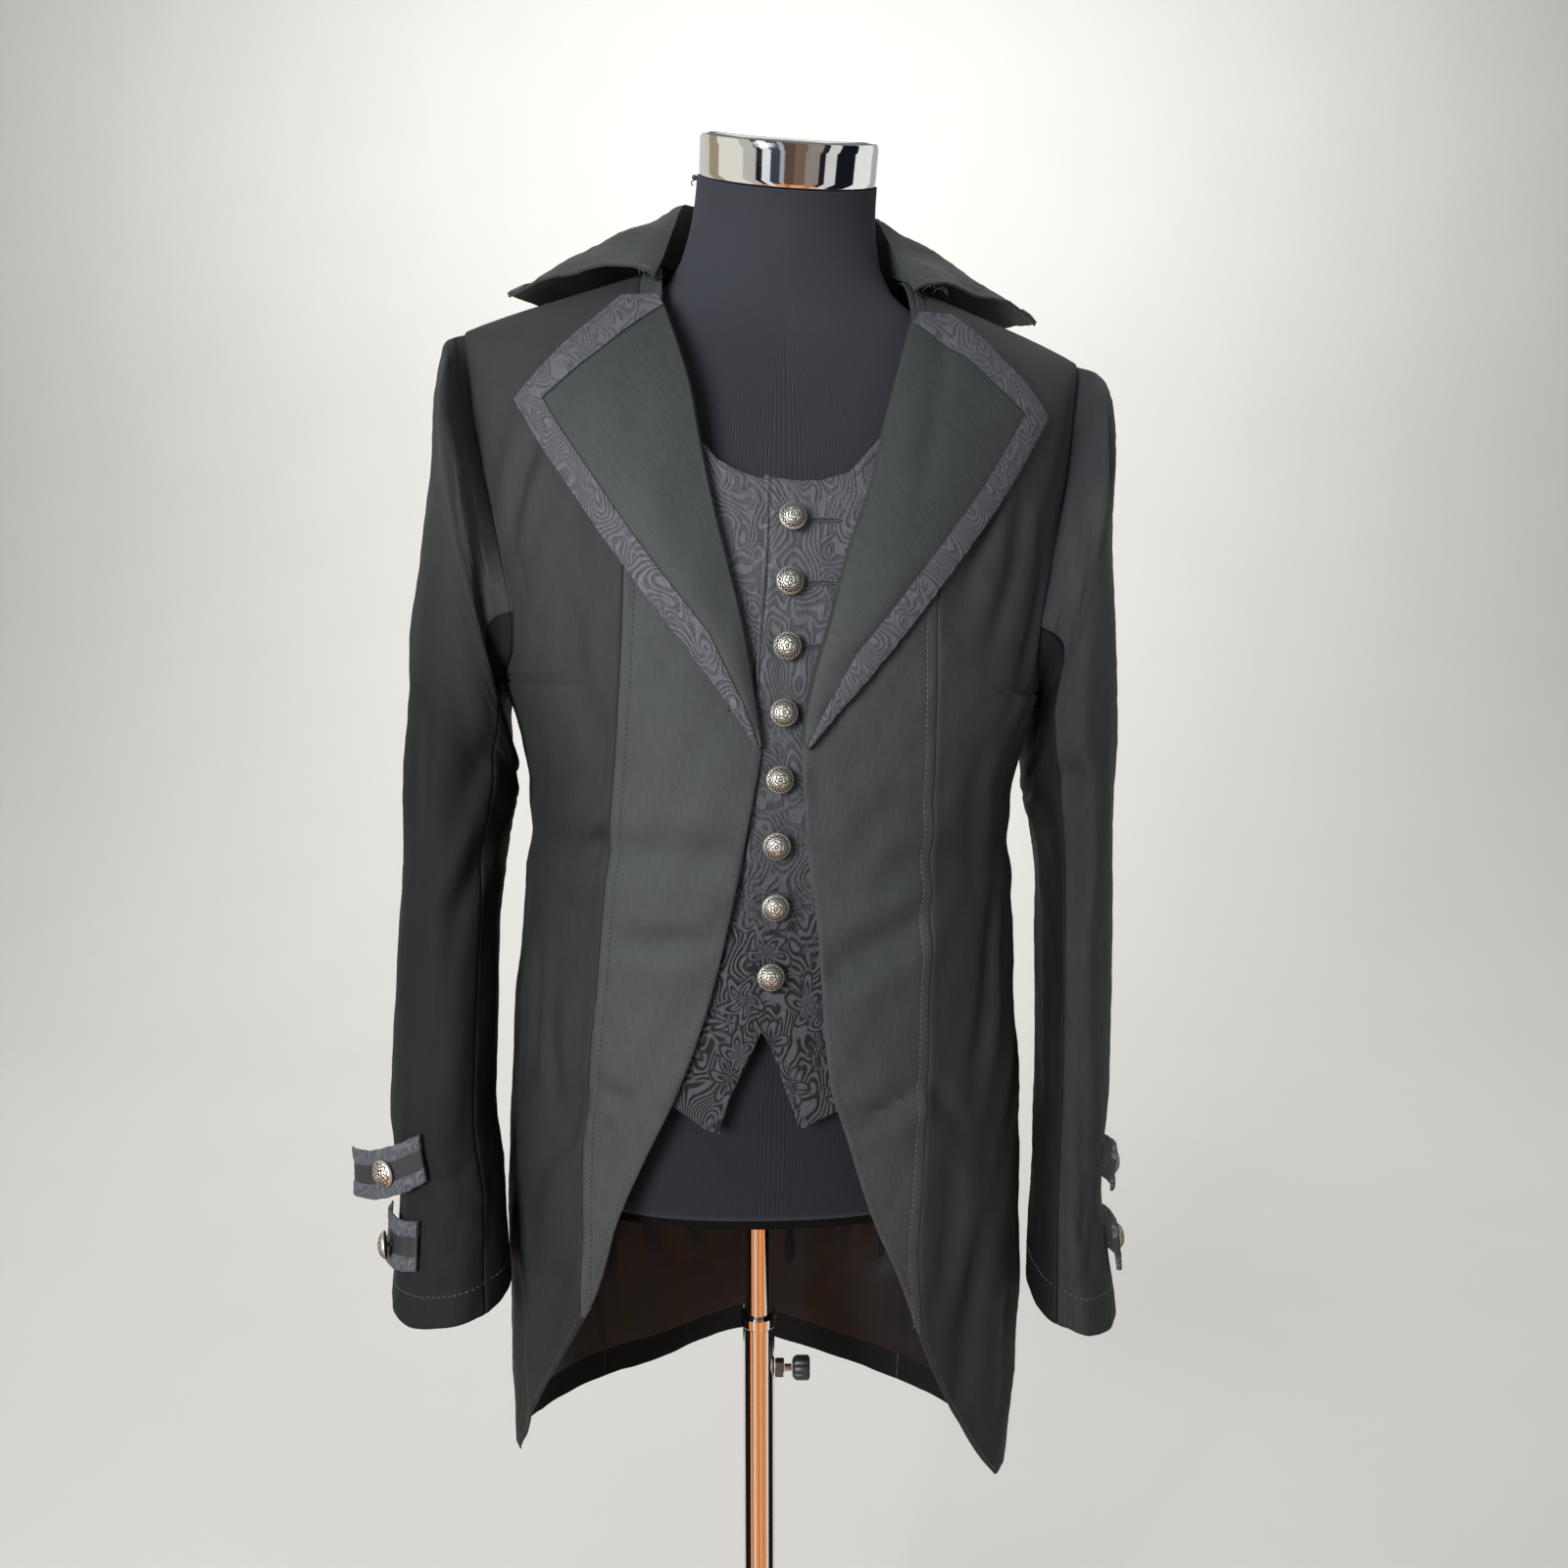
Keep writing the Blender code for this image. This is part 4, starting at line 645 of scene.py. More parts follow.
VEST_BUTTONS = table(
    "z      x",
    (1.2755, 0.0016), (1.2350, 0.0002), (1.1943, -0.0006), (1.1521, -0.0018),
    (1.1097, -0.0034), (1.0671, -0.0043), (1.0270, -0.0040), (0.9814, -0.0059),
)
DOME = table(   # profile of a dome button over its radius: share, height in mm
    "share  height",
    (0.00, 5.6), (0.35, 5.25), (0.62, 4.3), (0.82, 2.9), (0.95, 1.7), (1.00, 0.9), (0.93, 0.2),
)


# ---------------------------------------------------------------- cuff tabs
# each tab starts at the sleeve's outer front and runs back round the outside:
# its height, where it starts and ends round the sleeve, and how far its free
# end and its start stand off
TABS = {
    -1: table("z      start  end    off_0   off_1   slope",
              (0.8430, 69.0, -1.0, 0.0034, 0.0330, -0.031),
              (0.7790, 56.0, -16.0, 0.0034, 0.0090, -0.014)),
    1: table("z      start  end    off_0   off_1   slope",
             (0.8190, 26.0, -44.0, 0.0080, 0.0210, -0.024),
             (0.7610, 26.0, -46.0, 0.0080, 0.0190, -0.022)),
}
TAB_T = 0.0020


FORM = table(
    "z      half    front   back    mid     power",
    (0.8030, 0.1600, 0.1120, 0.0880, 0.000, 2.4),
    (0.8100, 0.1660, 0.1170, 0.0930, 0.000, 2.4),
    (0.8600, 0.1690, 0.1190, 0.0960, 0.000, 2.4),
    (0.9400, 0.1640, 0.1170, 0.0920, 0.000, 2.3),
    (1.0200, 0.1550, 0.1160, 0.0860, 0.000, 2.3),
    (1.0900, 0.1500, 0.1170, 0.0850, 0.000, 2.3),
    (1.1500, 0.1580, 0.1200, 0.0880, 0.000, 2.4),
    (1.2100, 0.1680, 0.1200, 0.0920, 0.000, 2.5),
    (1.2700, 0.1740, 0.1140, 0.0920, 0.000, 2.5),
    (1.3300, 0.1780, 0.0980, 0.0840, 0.002, 2.4),
    (1.3700, 0.1740, 0.0810, 0.0740, 0.003, 2.3),
    (1.3950, 0.1600, 0.0700, 0.0680, 0.003, 2.1),
    (1.4150, 0.1340, 0.0640, 0.0640, 0.002, 2.0),
    (1.4320, 0.1050, 0.0620, 0.0620, 0.000, 2.0),
    (1.4480, 0.0830, 0.0620, 0.0620, -0.002, 2.0),
    (1.4650, 0.0720, 0.0620, 0.0610, -0.005, 2.0),
)


KNOB_Z = 0.627

# ================================================================ materials
def tree(name):
    mat = bpy.data.materials.new(name)
    mat.use_nodes = True
    nt = mat.node_tree
    return mat, nt, nt.nodes["Principled BSDF"]


def node(nt, kind, **settings):
    n = nt.nodes.new(kind)
    for key, value in settings.items():
        if key.startswith("in_"):
            n.inputs[int(key[3:])].default_value = value
        else:
            setattr(n, key, value)
    return n


def join(nt, a, b):
    nt.links.new(a, b)


def maths(nt, op, a, b=None, c=None, clamp=False):
    n = nt.nodes.new("ShaderNodeMath")
    n.operation = op
    n.use_clamp = clamp
    for i, v in enumerate((a, b, c)):
        if v is None:
            continue
        if isinstance(v, (int, float)):
            n.inputs[i].default_value = v
        else:
            nt.links.new(v, n.inputs[i])
    return n.outputs[0]


def ramp(nt, fac, *stops, smooth=True):
    n = nt.nodes.new("ShaderNodeValToRGB")
    r = n.color_ramp
    r.interpolation = "EASE" if smooth else "LINEAR"
    while len(r.elements) < len(stops):
        r.elements.new(0.5)
    for e, (p, c) in zip(r.elements, stops):
        e.position = p
        e.color = (*c, 1) if isinstance(c, tuple) else (c, c, c, 1)
    nt.links.new(fac, n.inputs[0])
    return n.outputs[0]


def mix_colour(nt, fac, a, b, blend="MIX"):
    n = nt.nodes.new("ShaderNodeMix")
    n.data_type = "RGBA"
    n.blend_type = blend
    for i, v in ((0, fac), (6, a), (7, b)):
        if isinstance(v, (int, float)):
            n.inputs[i].default_value = v
        elif isinstance(v, tuple):
            n.inputs[i].default_value = (*v, 1)
        else:
            nt.links.new(v, n.inputs[i])
    return n.outputs[2]


def cloth_uv(nt):
    n = nt.nodes.new("ShaderNodeUVMap")
    n.uv_map = "cloth"
    return n.outputs[0]


def noise(nt, vec, scale, detail=2.0, rough=0.5, out=0):
    n = nt.nodes.new("ShaderNodeTexNoise")
    n.inputs["Scale"].default_value = scale
    n.inputs["Detail"].default_value = detail
    n.inputs["Roughness"].default_value = rough
    nt.links.new(vec, n.inputs["Vector"])
    return n.outputs[out]


def turned_uv(nt, vec, degrees, stretch=(1, 1, 1)):
    n = nt.nodes.new("ShaderNodeMapping")
    n.inputs["Rotation"].default_value = (0, 0, math.radians(degrees))
    n.inputs["Scale"].default_value = stretch
    nt.links.new(vec, n.inputs["Vector"])
    return n.outputs[0]


def bands(nt, vec, period, wobble=0.6, detail=1.5, wobble_scale=1.6):
    n = nt.nodes.new("ShaderNodeTexWave")
    n.wave_type = "BANDS"
    n.bands_direction = "X"
    n.wave_profile = "SIN"
    n.inputs["Scale"].default_value = 0.31416 / period
    n.inputs["Distortion"].default_value = wobble
    n.inputs["Detail"].default_value = detail
    n.inputs["Detail Scale"].default_value = wobble_scale
    nt.links.new(vec, n.inputs["Vector"])
    return n.outputs["Fac"]


def bump(nt, bsdf, height, distance, strength=1.0, under=None):
    n = nt.nodes.new("ShaderNodeBump")
    n.inputs["Strength"].default_value = strength
    n.inputs["Distance"].default_value = distance
    nt.links.new(height, n.inputs["Height"])
    if under is not None:
        nt.links.new(under, n.inputs["Normal"])
    nt.links.new(n.outputs[0], bsdf.inputs["Normal"])
    return n.outputs[0]


def lint(nt, uv, colour, share=0.93, scale=48.0):
    """A few pale specks of lint caught on the cloth."""
    v = nt.nodes.new("ShaderNodeTexVoronoi")
    v.inputs["Scale"].default_value = scale
    nt.links.new(uv, v.inputs["Vector"])
    near = maths(nt, "LESS_THAN", v.outputs["Distance"], 0.016)
    sep = nt.nodes.new("ShaderNodeSeparateColor")
    nt.links.new(v.outputs["Color"], sep.inputs[0])
    some = maths(nt, "GREATER_THAN", sep.outputs[0], share)
    return mix_colour(nt, maths(nt, "MULTIPLY", near, some), colour, (0.42, 0.41, 0.38))


def painted_shading_by_height(nt, uv, colour, fade, bsdf, gloss):
    """Painted light and shade: the colour and gloss scaled from one height of the cloth to another."""
    bsdf.inputs["Specular IOR Level"].default_value = gloss
    if fade is None:
        return colour
    v0, v1, f0, f1 = fade
    xyz = nt.nodes.new("ShaderNodeSeparateXYZ")
    join(nt, uv, xyz.inputs[0])
    share = maths(nt, "DIVIDE", maths(nt, "SUBTRACT", xyz.outputs[1], v0), v1 - v0, clamp=True)
    factor = maths(nt, "MULTIPLY_ADD", share, f1 - f0, f0)
    join(nt, maths(nt, "MULTIPLY", factor, gloss), bsdf.inputs["Specular IOR Level"])
    n = nt.nodes.new("ShaderNodeVectorMath")
    n.operation = "SCALE"
    join(nt, colour, n.inputs[0])
    join(nt, factor, n.inputs["Scale"])
    return n.outputs[0]


def twill_material(name, base, lit, tint=(0.60, 0.66, 0.66), sheen=0.16, rough=0.66, fade=None, gloss=0.34):
    mat, nt, bsdf = tree(name)
    uv = cloth_uv(nt)
    rib = bands(nt, turned_uv(nt, uv, 58), 0.00082)
    cross = bands(nt, turned_uv(nt, uv, -4), 0.00046, 0.9)
    fibre = noise(nt, uv, 1500, 3.0, 0.7)
    slub = noise(nt, turned_uv(nt, uv, 0, (1.0, 0.14, 1.0)), 520, 3.0, 0.65)
    patch = noise(nt, uv, 9, 3.0, 0.55)
    height = maths(nt, "ADD", maths(nt, "MULTIPLY", rib, 0.7), maths(nt, "MULTIPLY", fibre, 0.55))
    height = maths(nt, "ADD", height, maths(nt, "MULTIPLY_ADD", cross, 0.25, maths(nt, "MULTIPLY", slub, 0.9)))
    tone = maths(nt, "ADD", maths(nt, "MULTIPLY", patch, 0.9), maths(nt, "MULTIPLY", slub, 0.95))
    tone = maths(nt, "ADD", tone, maths(nt, "MULTIPLY", rib, 0.22))
    tone = maths(nt, "ADD", tone, maths(nt, "MULTIPLY", fibre, 0.30))
    colour = ramp(nt, maths(nt, "MULTIPLY", tone, 0.455), (0.22, base), (0.80, lit))
    # with fade given, colour and gloss are scaled by height: painted light and shade
    colour = painted_shading_by_height(nt, uv, colour, fade, bsdf, gloss)
    colour = lint(nt, uv, colour, 0.955, 42.0)
    join(nt, colour, bsdf.inputs["Base Color"])
    join(nt, ramp(nt, patch, (0.2, rough - 0.06), (0.8, rough + 0.08)), bsdf.inputs["Roughness"])
    bsdf.inputs["Sheen Weight"].default_value = sheen
    bsdf.inputs["Sheen Roughness"].default_value = 0.42
    bsdf.inputs["Sheen Tint"].default_value = (*tint, 1)
    bump(nt, bsdf, height, 0.00016, 0.75)
    return mat


def contours(nt, vec, scale, count, detail=0.6):
    """Lines that run round uneven hills, like drawn contours."""
    n = noise(nt, vec, scale, detail, 0.4)
    wave = maths(nt, "SINE", maths(nt, "MULTIPLY", n, 2 * math.pi * count))
    return maths(nt, "MULTIPLY_ADD", wave, 0.5, 0.5)


def jacquard_material(name, ground, figure, ratio=1.0, shift=0.0, bold=None):
    """A woven figure: swirling rosettes with outlined petals, on a ground of
    fine curling lines.  bold is the height below which the figures are bolder."""
    mat, nt, bsdf = tree(name)
    uv0 = cloth_uv(nt)
    move = nt.nodes.new("ShaderNodeMapping")
    move.inputs["Location"].default_value = (shift, 0.37 * shift, 0)
    join(nt, uv0, move.inputs["Vector"])
    uv = move.outputs[0]
    lines = contours(nt, turned_uv(nt, uv, 20, (1.0, 0.72, 1.0)), 30 * ratio, 25.0, 0.8)
    lines2 = contours(nt, turned_uv(nt, uv, -35, (1.0, 0.60, 1.0)), 46 * ratio, 16.0, 1.4)
    which = ramp(nt, noise(nt, uv, 26 * ratio, 1.0, 0.5), (0.44, 0.0), (0.56, 1.0))
    contour = mix_colour(nt, which, ramp(nt, lines, (0.22, 0.0), (0.62, 1.0)), ramp(nt, lines2, (0.25, 0.0), (0.70, 1.0)))
    warp = nt.nodes.new("ShaderNodeVectorMath")
    warp.operation = "MULTIPLY_ADD"
    join(nt, noise(nt, uv, 42 * ratio, 1.0, 0.5, 1), warp.inputs[0])
    warp.inputs[1].default_value = (0.014 / ratio, 0.014 / ratio, 0.0)
    join(nt, uv, warp.inputs[2])
    bent = turned_uv(nt, warp.outputs[0], 24, (1.0, 0.78, 1.0))
    cells = nt.nodes.new("ShaderNodeTexVoronoi")
    cells.feature = "F1"
    cells.inputs["Scale"].default_value = 36.0 * ratio
    cells.inputs["Randomness"].default_value = 0.80
    join(nt, bent, cells.inputs["Vector"])
    sub = nt.nodes.new("ShaderNodeVectorMath")
    sub.operation = "SUBTRACT"
    join(nt, bent, sub.inputs[0])
    join(nt, cells.outputs["Position"], sub.inputs[1])
    xyz = nt.nodes.new("ShaderNodeSeparateXYZ")
    join(nt, sub.outputs[0], xyz.inputs[0])
    angle = maths(nt, "ARCTAN2", xyz.outputs[1], xyz.outputs[0])
    own = nt.nodes.new("ShaderNodeSeparateColor")
    join(nt, cells.outputs["Color"], own.inputs[0])
    turn = maths(nt, "MULTIPLY_ADD", own.outputs[0], 6.0, maths(nt, "MULTIPLY", cells.outputs["Distance"], 5.5))
    petal = maths(nt, "COSINE", maths(nt, "MULTIPLY_ADD", angle, 5.0, turn))
    out = maths(nt, "MULTIPLY_ADD", petal, -0.115, cells.outputs["Distance"])
    rings = ramp(nt, out, (0.0, 1.0), (0.06, 1.0), (0.08, 0.0), (0.115, 0.0), (0.135, 1.0), (0.26, 1.0), (0.28, 0.0),
                 (0.325, 0.0), (0.345, 1.0), (0.43, 1.0), (0.45, 0.0), (0.49, 0.0), (0.51, 0.85), smooth=False)
    vein = maths(nt, "MULTIPLY", ramp(nt, petal, (0.93, 0.0), (0.985, 1.0)), ramp(nt, out, (0.03, 0.0), (0.06, 1.0), (0.20, 1.0), (0.23, 0.0)))
    beyond = ramp(nt, out, (0.50, 0.0), (0.54, 1.0))
    figured = mix_colour(nt, beyond, maths(nt, "MULTIPLY", rings, maths(nt, "MULTIPLY_ADD", vein, -0.8, 1.0)), contour)
    if bold is not None:
        height = nt.nodes.new("ShaderNodeSeparateXYZ")
        join(nt, uv0, height.inputs[0])
        low = ramp(nt, maths(nt, "MULTIPLY_ADD", height.outputs[1], -9.0, 9.0 * bold + 0.5, clamp=True), (0.1, 0.10), (0.9, 0.95))
    else:
        low = None
    crepe = noise(nt, turned_uv(nt, uv, 12, (1.0, 0.30, 1.0)), 900, 3.0, 0.8)
    streaks = noise(nt, turned_uv(nt, uv, -40, (1.0, 0.22, 1.0)), 420, 3.0, 0.7)
    if low is None:
        low = nt.nodes.new("ShaderNodeValue").outputs[0]
        low.default_value = 0.12
    pattern = mix_colour(nt, low, contour, figured)
    contrast = maths(nt, "MULTIPLY_ADD", low, 0.28, 0.20)
    darker = maths(nt, "MULTIPLY_ADD", low, -0.27, 0.035)
    amount = maths(nt, "MULTIPLY_ADD", pattern, contrast, darker)
    amount = maths(nt, "MULTIPLY_ADD", crepe, 0.36, maths(nt, "MULTIPLY_ADD", streaks, 0.36, maths(nt, "ADD", amount, -0.08)), clamp=True)
    colour = ramp(nt, amount, (0.06, ground), (0.44, tuple((a + b) / 2 for a, b in zip(ground, figure))), (0.80, figure))
    # painted shade: with bold given, the vest's colour and gloss darker from about 1.26 m down, where the lapels shade
    # it
    colour = painted_shading_by_height(nt, uv0, colour, None if bold is None else (0.99, 1.26, 0.62, 1.00), bsdf, 0.30)
    join(nt, colour, bsdf.inputs["Base Color"])
    join(nt, ramp(nt, pattern, (0.2, 0.84), (0.8, 0.62)), bsdf.inputs["Roughness"])
    bsdf.inputs["Sheen Weight"].default_value = 0.05
    bsdf.inputs["Sheen Roughness"].default_value = 0.4
    bsdf.inputs["Sheen Tint"].default_value = (0.62, 0.64, 0.74, 1)
    raised = maths(nt, "MULTIPLY_ADD", pattern, 0.8, maths(nt, "MULTIPLY_ADD", streaks, 0.5, maths(nt, "MULTIPLY", crepe, 0.30)))
    bump(nt, bsdf, raised, 0.0008, 0.95)
    return mat


def jersey_material():
    mat, nt, bsdf = tree("jersey_rib")
    uv = cloth_uv(nt)
    rib = bands(nt, uv, 0.00155, 0.35, 1.0, 0.6)
    loops = bands(nt, turned_uv(nt, uv, 90), 0.0011, 1.6, 2.0, 1.2)
    fuzz = noise(nt, uv, 900, 3.0, 0.7)
    patch = noise(nt, uv, 6, 2.0, 0.5)
    tone = maths(nt, "ADD", maths(nt, "MULTIPLY", rib, 0.38), maths(nt, "MULTIPLY", fuzz, 0.62))
    tone = maths(nt, "ADD", tone, maths(nt, "MULTIPLY", patch, 0.35))
    colour = ramp(nt, maths(nt, "MULTIPLY", tone, 0.72), (0.15, (0.0100, 0.0108, 0.0150)), (0.85, (0.0262, 0.0280, 0.0365)))
    # painted shade: the jersey's colour and gloss darker towards the bottom, where the jacket shades the form
    colour = painted_shading_by_height(nt, uv, colour, (0.34, 0.66, 0.50, 1.0), bsdf, 0.25)
    colour = lint(nt, uv, colour, 0.95, 46.0)
    join(nt, colour, bsdf.inputs["Base Color"])
    bsdf.inputs["Roughness"].default_value = 0.86
    bsdf.inputs["Sheen Weight"].default_value = 0.06
    bsdf.inputs["Sheen Roughness"].default_value = 0.5
    bsdf.inputs["Sheen Tint"].default_value = (0.60, 0.62, 0.78, 1)
    height = maths(nt, "ADD", rib, maths(nt, "MULTIPLY", loops, 0.4))
    height = maths(nt, "ADD", height, maths(nt, "MULTIPLY", fuzz, 0.5))
    bump(nt, bsdf, height, 0.00015, 0.7)
    return mat


def satin_material():
    mat, nt, bsdf = tree("lining_satin")
    uv = cloth_uv(nt)
    thread = noise(nt, turned_uv(nt, uv, 0, (1.0, 0.06, 1.0)), 1600, 2.0, 0.6)
    patch = noise(nt, uv, 14, 2.0, 0.5)
    colour = ramp(nt, patch, (0.25, (0.0018, 0.0019, 0.0030)), (0.80, (0.0050, 0.0046, 0.0062)))
    join(nt, colour, bsdf.inputs["Base Color"])
    join(nt, ramp(nt, thread, (0.2, 0.38), (0.8, 0.52)), bsdf.inputs["Roughness"])
    bsdf.inputs["Specular IOR Level"].default_value = 0.30
    bsdf.inputs["Anisotropic"].default_value = 0.4
    bump(nt, bsdf, thread, 0.00006, 0.6)
    return mat


def silver_material(name, warm):
    """Old silver: bright where the relief stands up, nearly black in the hollows."""
    mat, nt, bsdf = tree(name)
    hollow = nt.nodes.new("ShaderNodeAttribute")
    hollow.attribute_name = "hollow"
    co = nt.nodes.new("ShaderNodeTexCoord").outputs["Object"]
    wear = noise(nt, co, 480, 3.0, 0.6)
    dark = maths(nt, "ADD", hollow.outputs["Fac"], maths(nt, "MULTIPLY_ADD", wear, 0.42, -0.16), clamp=True)
    colour = ramp(nt, dark, (0.0, warm), (0.34, tuple(c * 0.62 for c in warm)), (0.72, (0.030, 0.028, 0.025)))
    join(nt, colour, bsdf.inputs["Base Color"])
    join(nt, ramp(nt, dark, (0.0, 0.40), (0.8, 0.68)), bsdf.inputs["Roughness"])
    bsdf.inputs["Metallic"].default_value = 0.92
    bump(nt, bsdf, wear, 0.00006, 0.6)
    return mat


def chrome_material(name, rough=0.045, colour=(0.86, 0.86, 0.86), grime=0.05):
    mat, nt, bsdf = tree(name)
    co = nt.nodes.new("ShaderNodeTexCoord").outputs["Object"]
    smear = noise(nt, co, 38, 4.0, 0.6)
    join(nt, ramp(nt, smear, (0.35, rough), (0.85, rough + grime)), bsdf.inputs["Roughness"])
    join(nt, ramp(nt, noise(nt, co, 160, 3.0, 0.6), (0.3, colour), (0.9, tuple(c * 0.93 for c in colour))),
         bsdf.inputs["Base Color"])
    bsdf.inputs["Metallic"].default_value = 1.0
    return mat


def thread_material(name, colour):
    mat, nt, bsdf = tree(name)
    co = nt.nodes.new("ShaderNodeTexCoord").outputs["Object"]
    ply = noise(nt, co, 2600, 2.0, 0.6)
    join(nt, ramp(nt, ply, (0.3, tuple(c * 0.7 for c in colour)), (0.8, tuple(c * 1.3 for c in colour))),
         bsdf.inputs["Base Color"])
    bsdf.inputs["Roughness"].default_value = 0.55
    bsdf.inputs["Sheen Weight"].default_value = 0.3
    bump(nt, bsdf, ply, 0.0001, 0.6)
    return mat


def plastic_material(name, colour, rough, gloss=0.5):
    mat, nt, bsdf = tree(name)
    co = nt.nodes.new("ShaderNodeTexCoord").outputs["Object"]
    grain = noise(nt, co, 1400, 3.0, 0.6)
    join(nt, ramp(nt, grain, (0.3, tuple(c * 0.8 for c in colour)), (0.8, tuple(c * 1.25 for c in colour))),
         bsdf.inputs["Base Color"])
    join(nt, ramp(nt, grain, (0.2, rough - 0.06), (0.8, rough + 0.08)), bsdf.inputs["Roughness"])
    bsdf.inputs["Specular IOR Level"].default_value = gloss
    bump(nt, bsdf, grain, 0.00008, 0.5)
    return mat


TWILL_MAT = twill_material("twill_body", (0.0098, 0.0118, 0.0120), (0.0276, 0.0316, 0.0318), sheen=0.05)
# painted shade on the side panels: darker than the fronts, the right side darker than the left, and lighter higher up
# towards the chest
SIDE_PAINTED_SHADING = (0.50, 0.84, 0.94, 1.34)
TWILL_SIDE_PAINTED_SHADE = {-1: twill_material("twill_side_right_painted_shade", (0.0056, 0.0063, 0.0065), (0.0140, 0.0154, 0.0160), sheen=0.02, gloss=0.22, fade=SIDE_PAINTED_SHADING),
              1: twill_material("twill_side_left_painted_shade", (0.0064, 0.0070, 0.0071), (0.0178, 0.0192, 0.0193), sheen=0.03, gloss=0.28, fade=SIDE_PAINTED_SHADING)}
TWILL_LAPEL = twill_material("twill_lapel", (0.0098, 0.0121, 0.0119), (0.0262, 0.0306, 0.0300), sheen=0.06)
# painted shade on the sleeves: colour and gloss fall off towards the cuff, and the right sleeve is darker than the left
TWILL_SLEEVE_PAINTED_SHADE = {-1: twill_material("twill_sleeve_right_painted_shade", (0.0088, 0.0098, 0.0114), (0.0245, 0.0268, 0.0302), (0.56, 0.62, 0.72),
                                   sheen=0.03, fade=(0.08, 0.33, 1.0, 0.34)),
                1: twill_material("twill_sleeve_left_painted_shade", (0.0088, 0.0098, 0.0114), (0.0262, 0.0284, 0.0318), (0.56, 0.62, 0.72),
                                  sheen=0.03, fade=(0.10, 0.38, 1.0, 0.62))}
# painted shade: the under sleeves, turned in towards the body, are coloured much darker than the top sleeves
TWILL_UNDER_PAINTED_SHADE = twill_material("twill_under_sleeve_painted_shade", (0.0028, 0.0030, 0.0034), (0.0078, 0.0082, 0.0090), sheen=0.0, gloss=0.12)
TWILL_TAB = twill_material("twill_tab", (0.0060, 0.0066, 0.0076), (0.0150, 0.0162, 0.0180), sheen=0.03)
TWILL_IN = twill_material("twill_inside", (0.0018, 0.0019, 0.0021), (0.0045, 0.0046, 0.0050), sheen=0.0, gloss=0.10)
JACQ = jacquard_material("jacquard_vest", (0.0090, 0.0095, 0.0120), (0.0980, 0.1030, 0.1160), 1.0, 0.0, 1.03)
JACQ_TRIM = jacquard_material("jacquard_trim", (0.0110, 0.0117, 0.0145), (0.0930, 0.0980, 0.1130), 1.15, 0.31)
JERSEY_MAT = jersey_material()
SATIN_MAT = satin_material()
SILVER_MAT = silver_material("silver_vest", (0.56, 0.55, 0.49))
SILVER_CUFF = silver_material("silver_cuff", (0.58, 0.52, 0.46))
CHROME_MAT = chrome_material("chrome")
CHROME_POLE = chrome_material("chrome_pole", 0.07, (0.84, 0.80, 0.76), 0.05)
THREAD = thread_material("thread_black", (0.009, 0.0095, 0.011))
THREAD_PALE = thread_material("thread_dark_grey", (0.052, 0.054, 0.057))
KNOB_MAT = plastic_material("knob_black", (0.016, 0.016, 0.017), 0.42)
# the form's board, near black and almost without gloss so it reads as a shadow line under the form: painted shadow
BOARD_PAINTED_SHADOW_MAT = plastic_material("board_black_painted_shadow", (0.0030, 0.0030, 0.0034), 0.85, 0.04)


# =================================================================== meshes
def make_mesh(name, verts, faces, uv, mats, face_mat=None, posed=True, sharp=42, slot="twill", body="form"):
    verts = np.asarray(verts, float)
    if posed:
        verts = place(verts)
    mesh = bpy.data.meshes.new(name)
    mesh.from_pydata(verts.tolist(), [], [list(map(int, f)) for f in faces])
    if uv is not None:
        layer = mesh.uv_layers.new(name="cloth")
        index = np.empty(len(mesh.loops), int)
        mesh.loops.foreach_get("vertex_index", index)
        layer.data.foreach_set("uv", np.asarray(uv, float)[index].ravel())
    for m in mats:
        mesh.materials.append(m)
    if face_mat is not None:
        mesh.polygons.foreach_set("material_index", np.asarray(face_mat, int))
    mesh.polygons.foreach_set("use_smooth", np.ones(len(mesh.polygons), bool))
    mesh.update()
    mesh.set_sharp_from_angle(angle=math.radians(sharp))
    obj = bpy.data.objects.new(name, mesh)
    bpy.context.scene.collection.objects.link(obj)
    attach(obj, body)
    return obj


def grid_faces(m, n, flip=False):
    idx = np.arange(m * n).reshape(m, n)
    q = np.stack([idx[:-1, :-1], idx[:-1, 1:], idx[1:, 1:], idx[1:, :-1]], -1).reshape(-1, 4)
    return q[:, ::-1] if flip else q


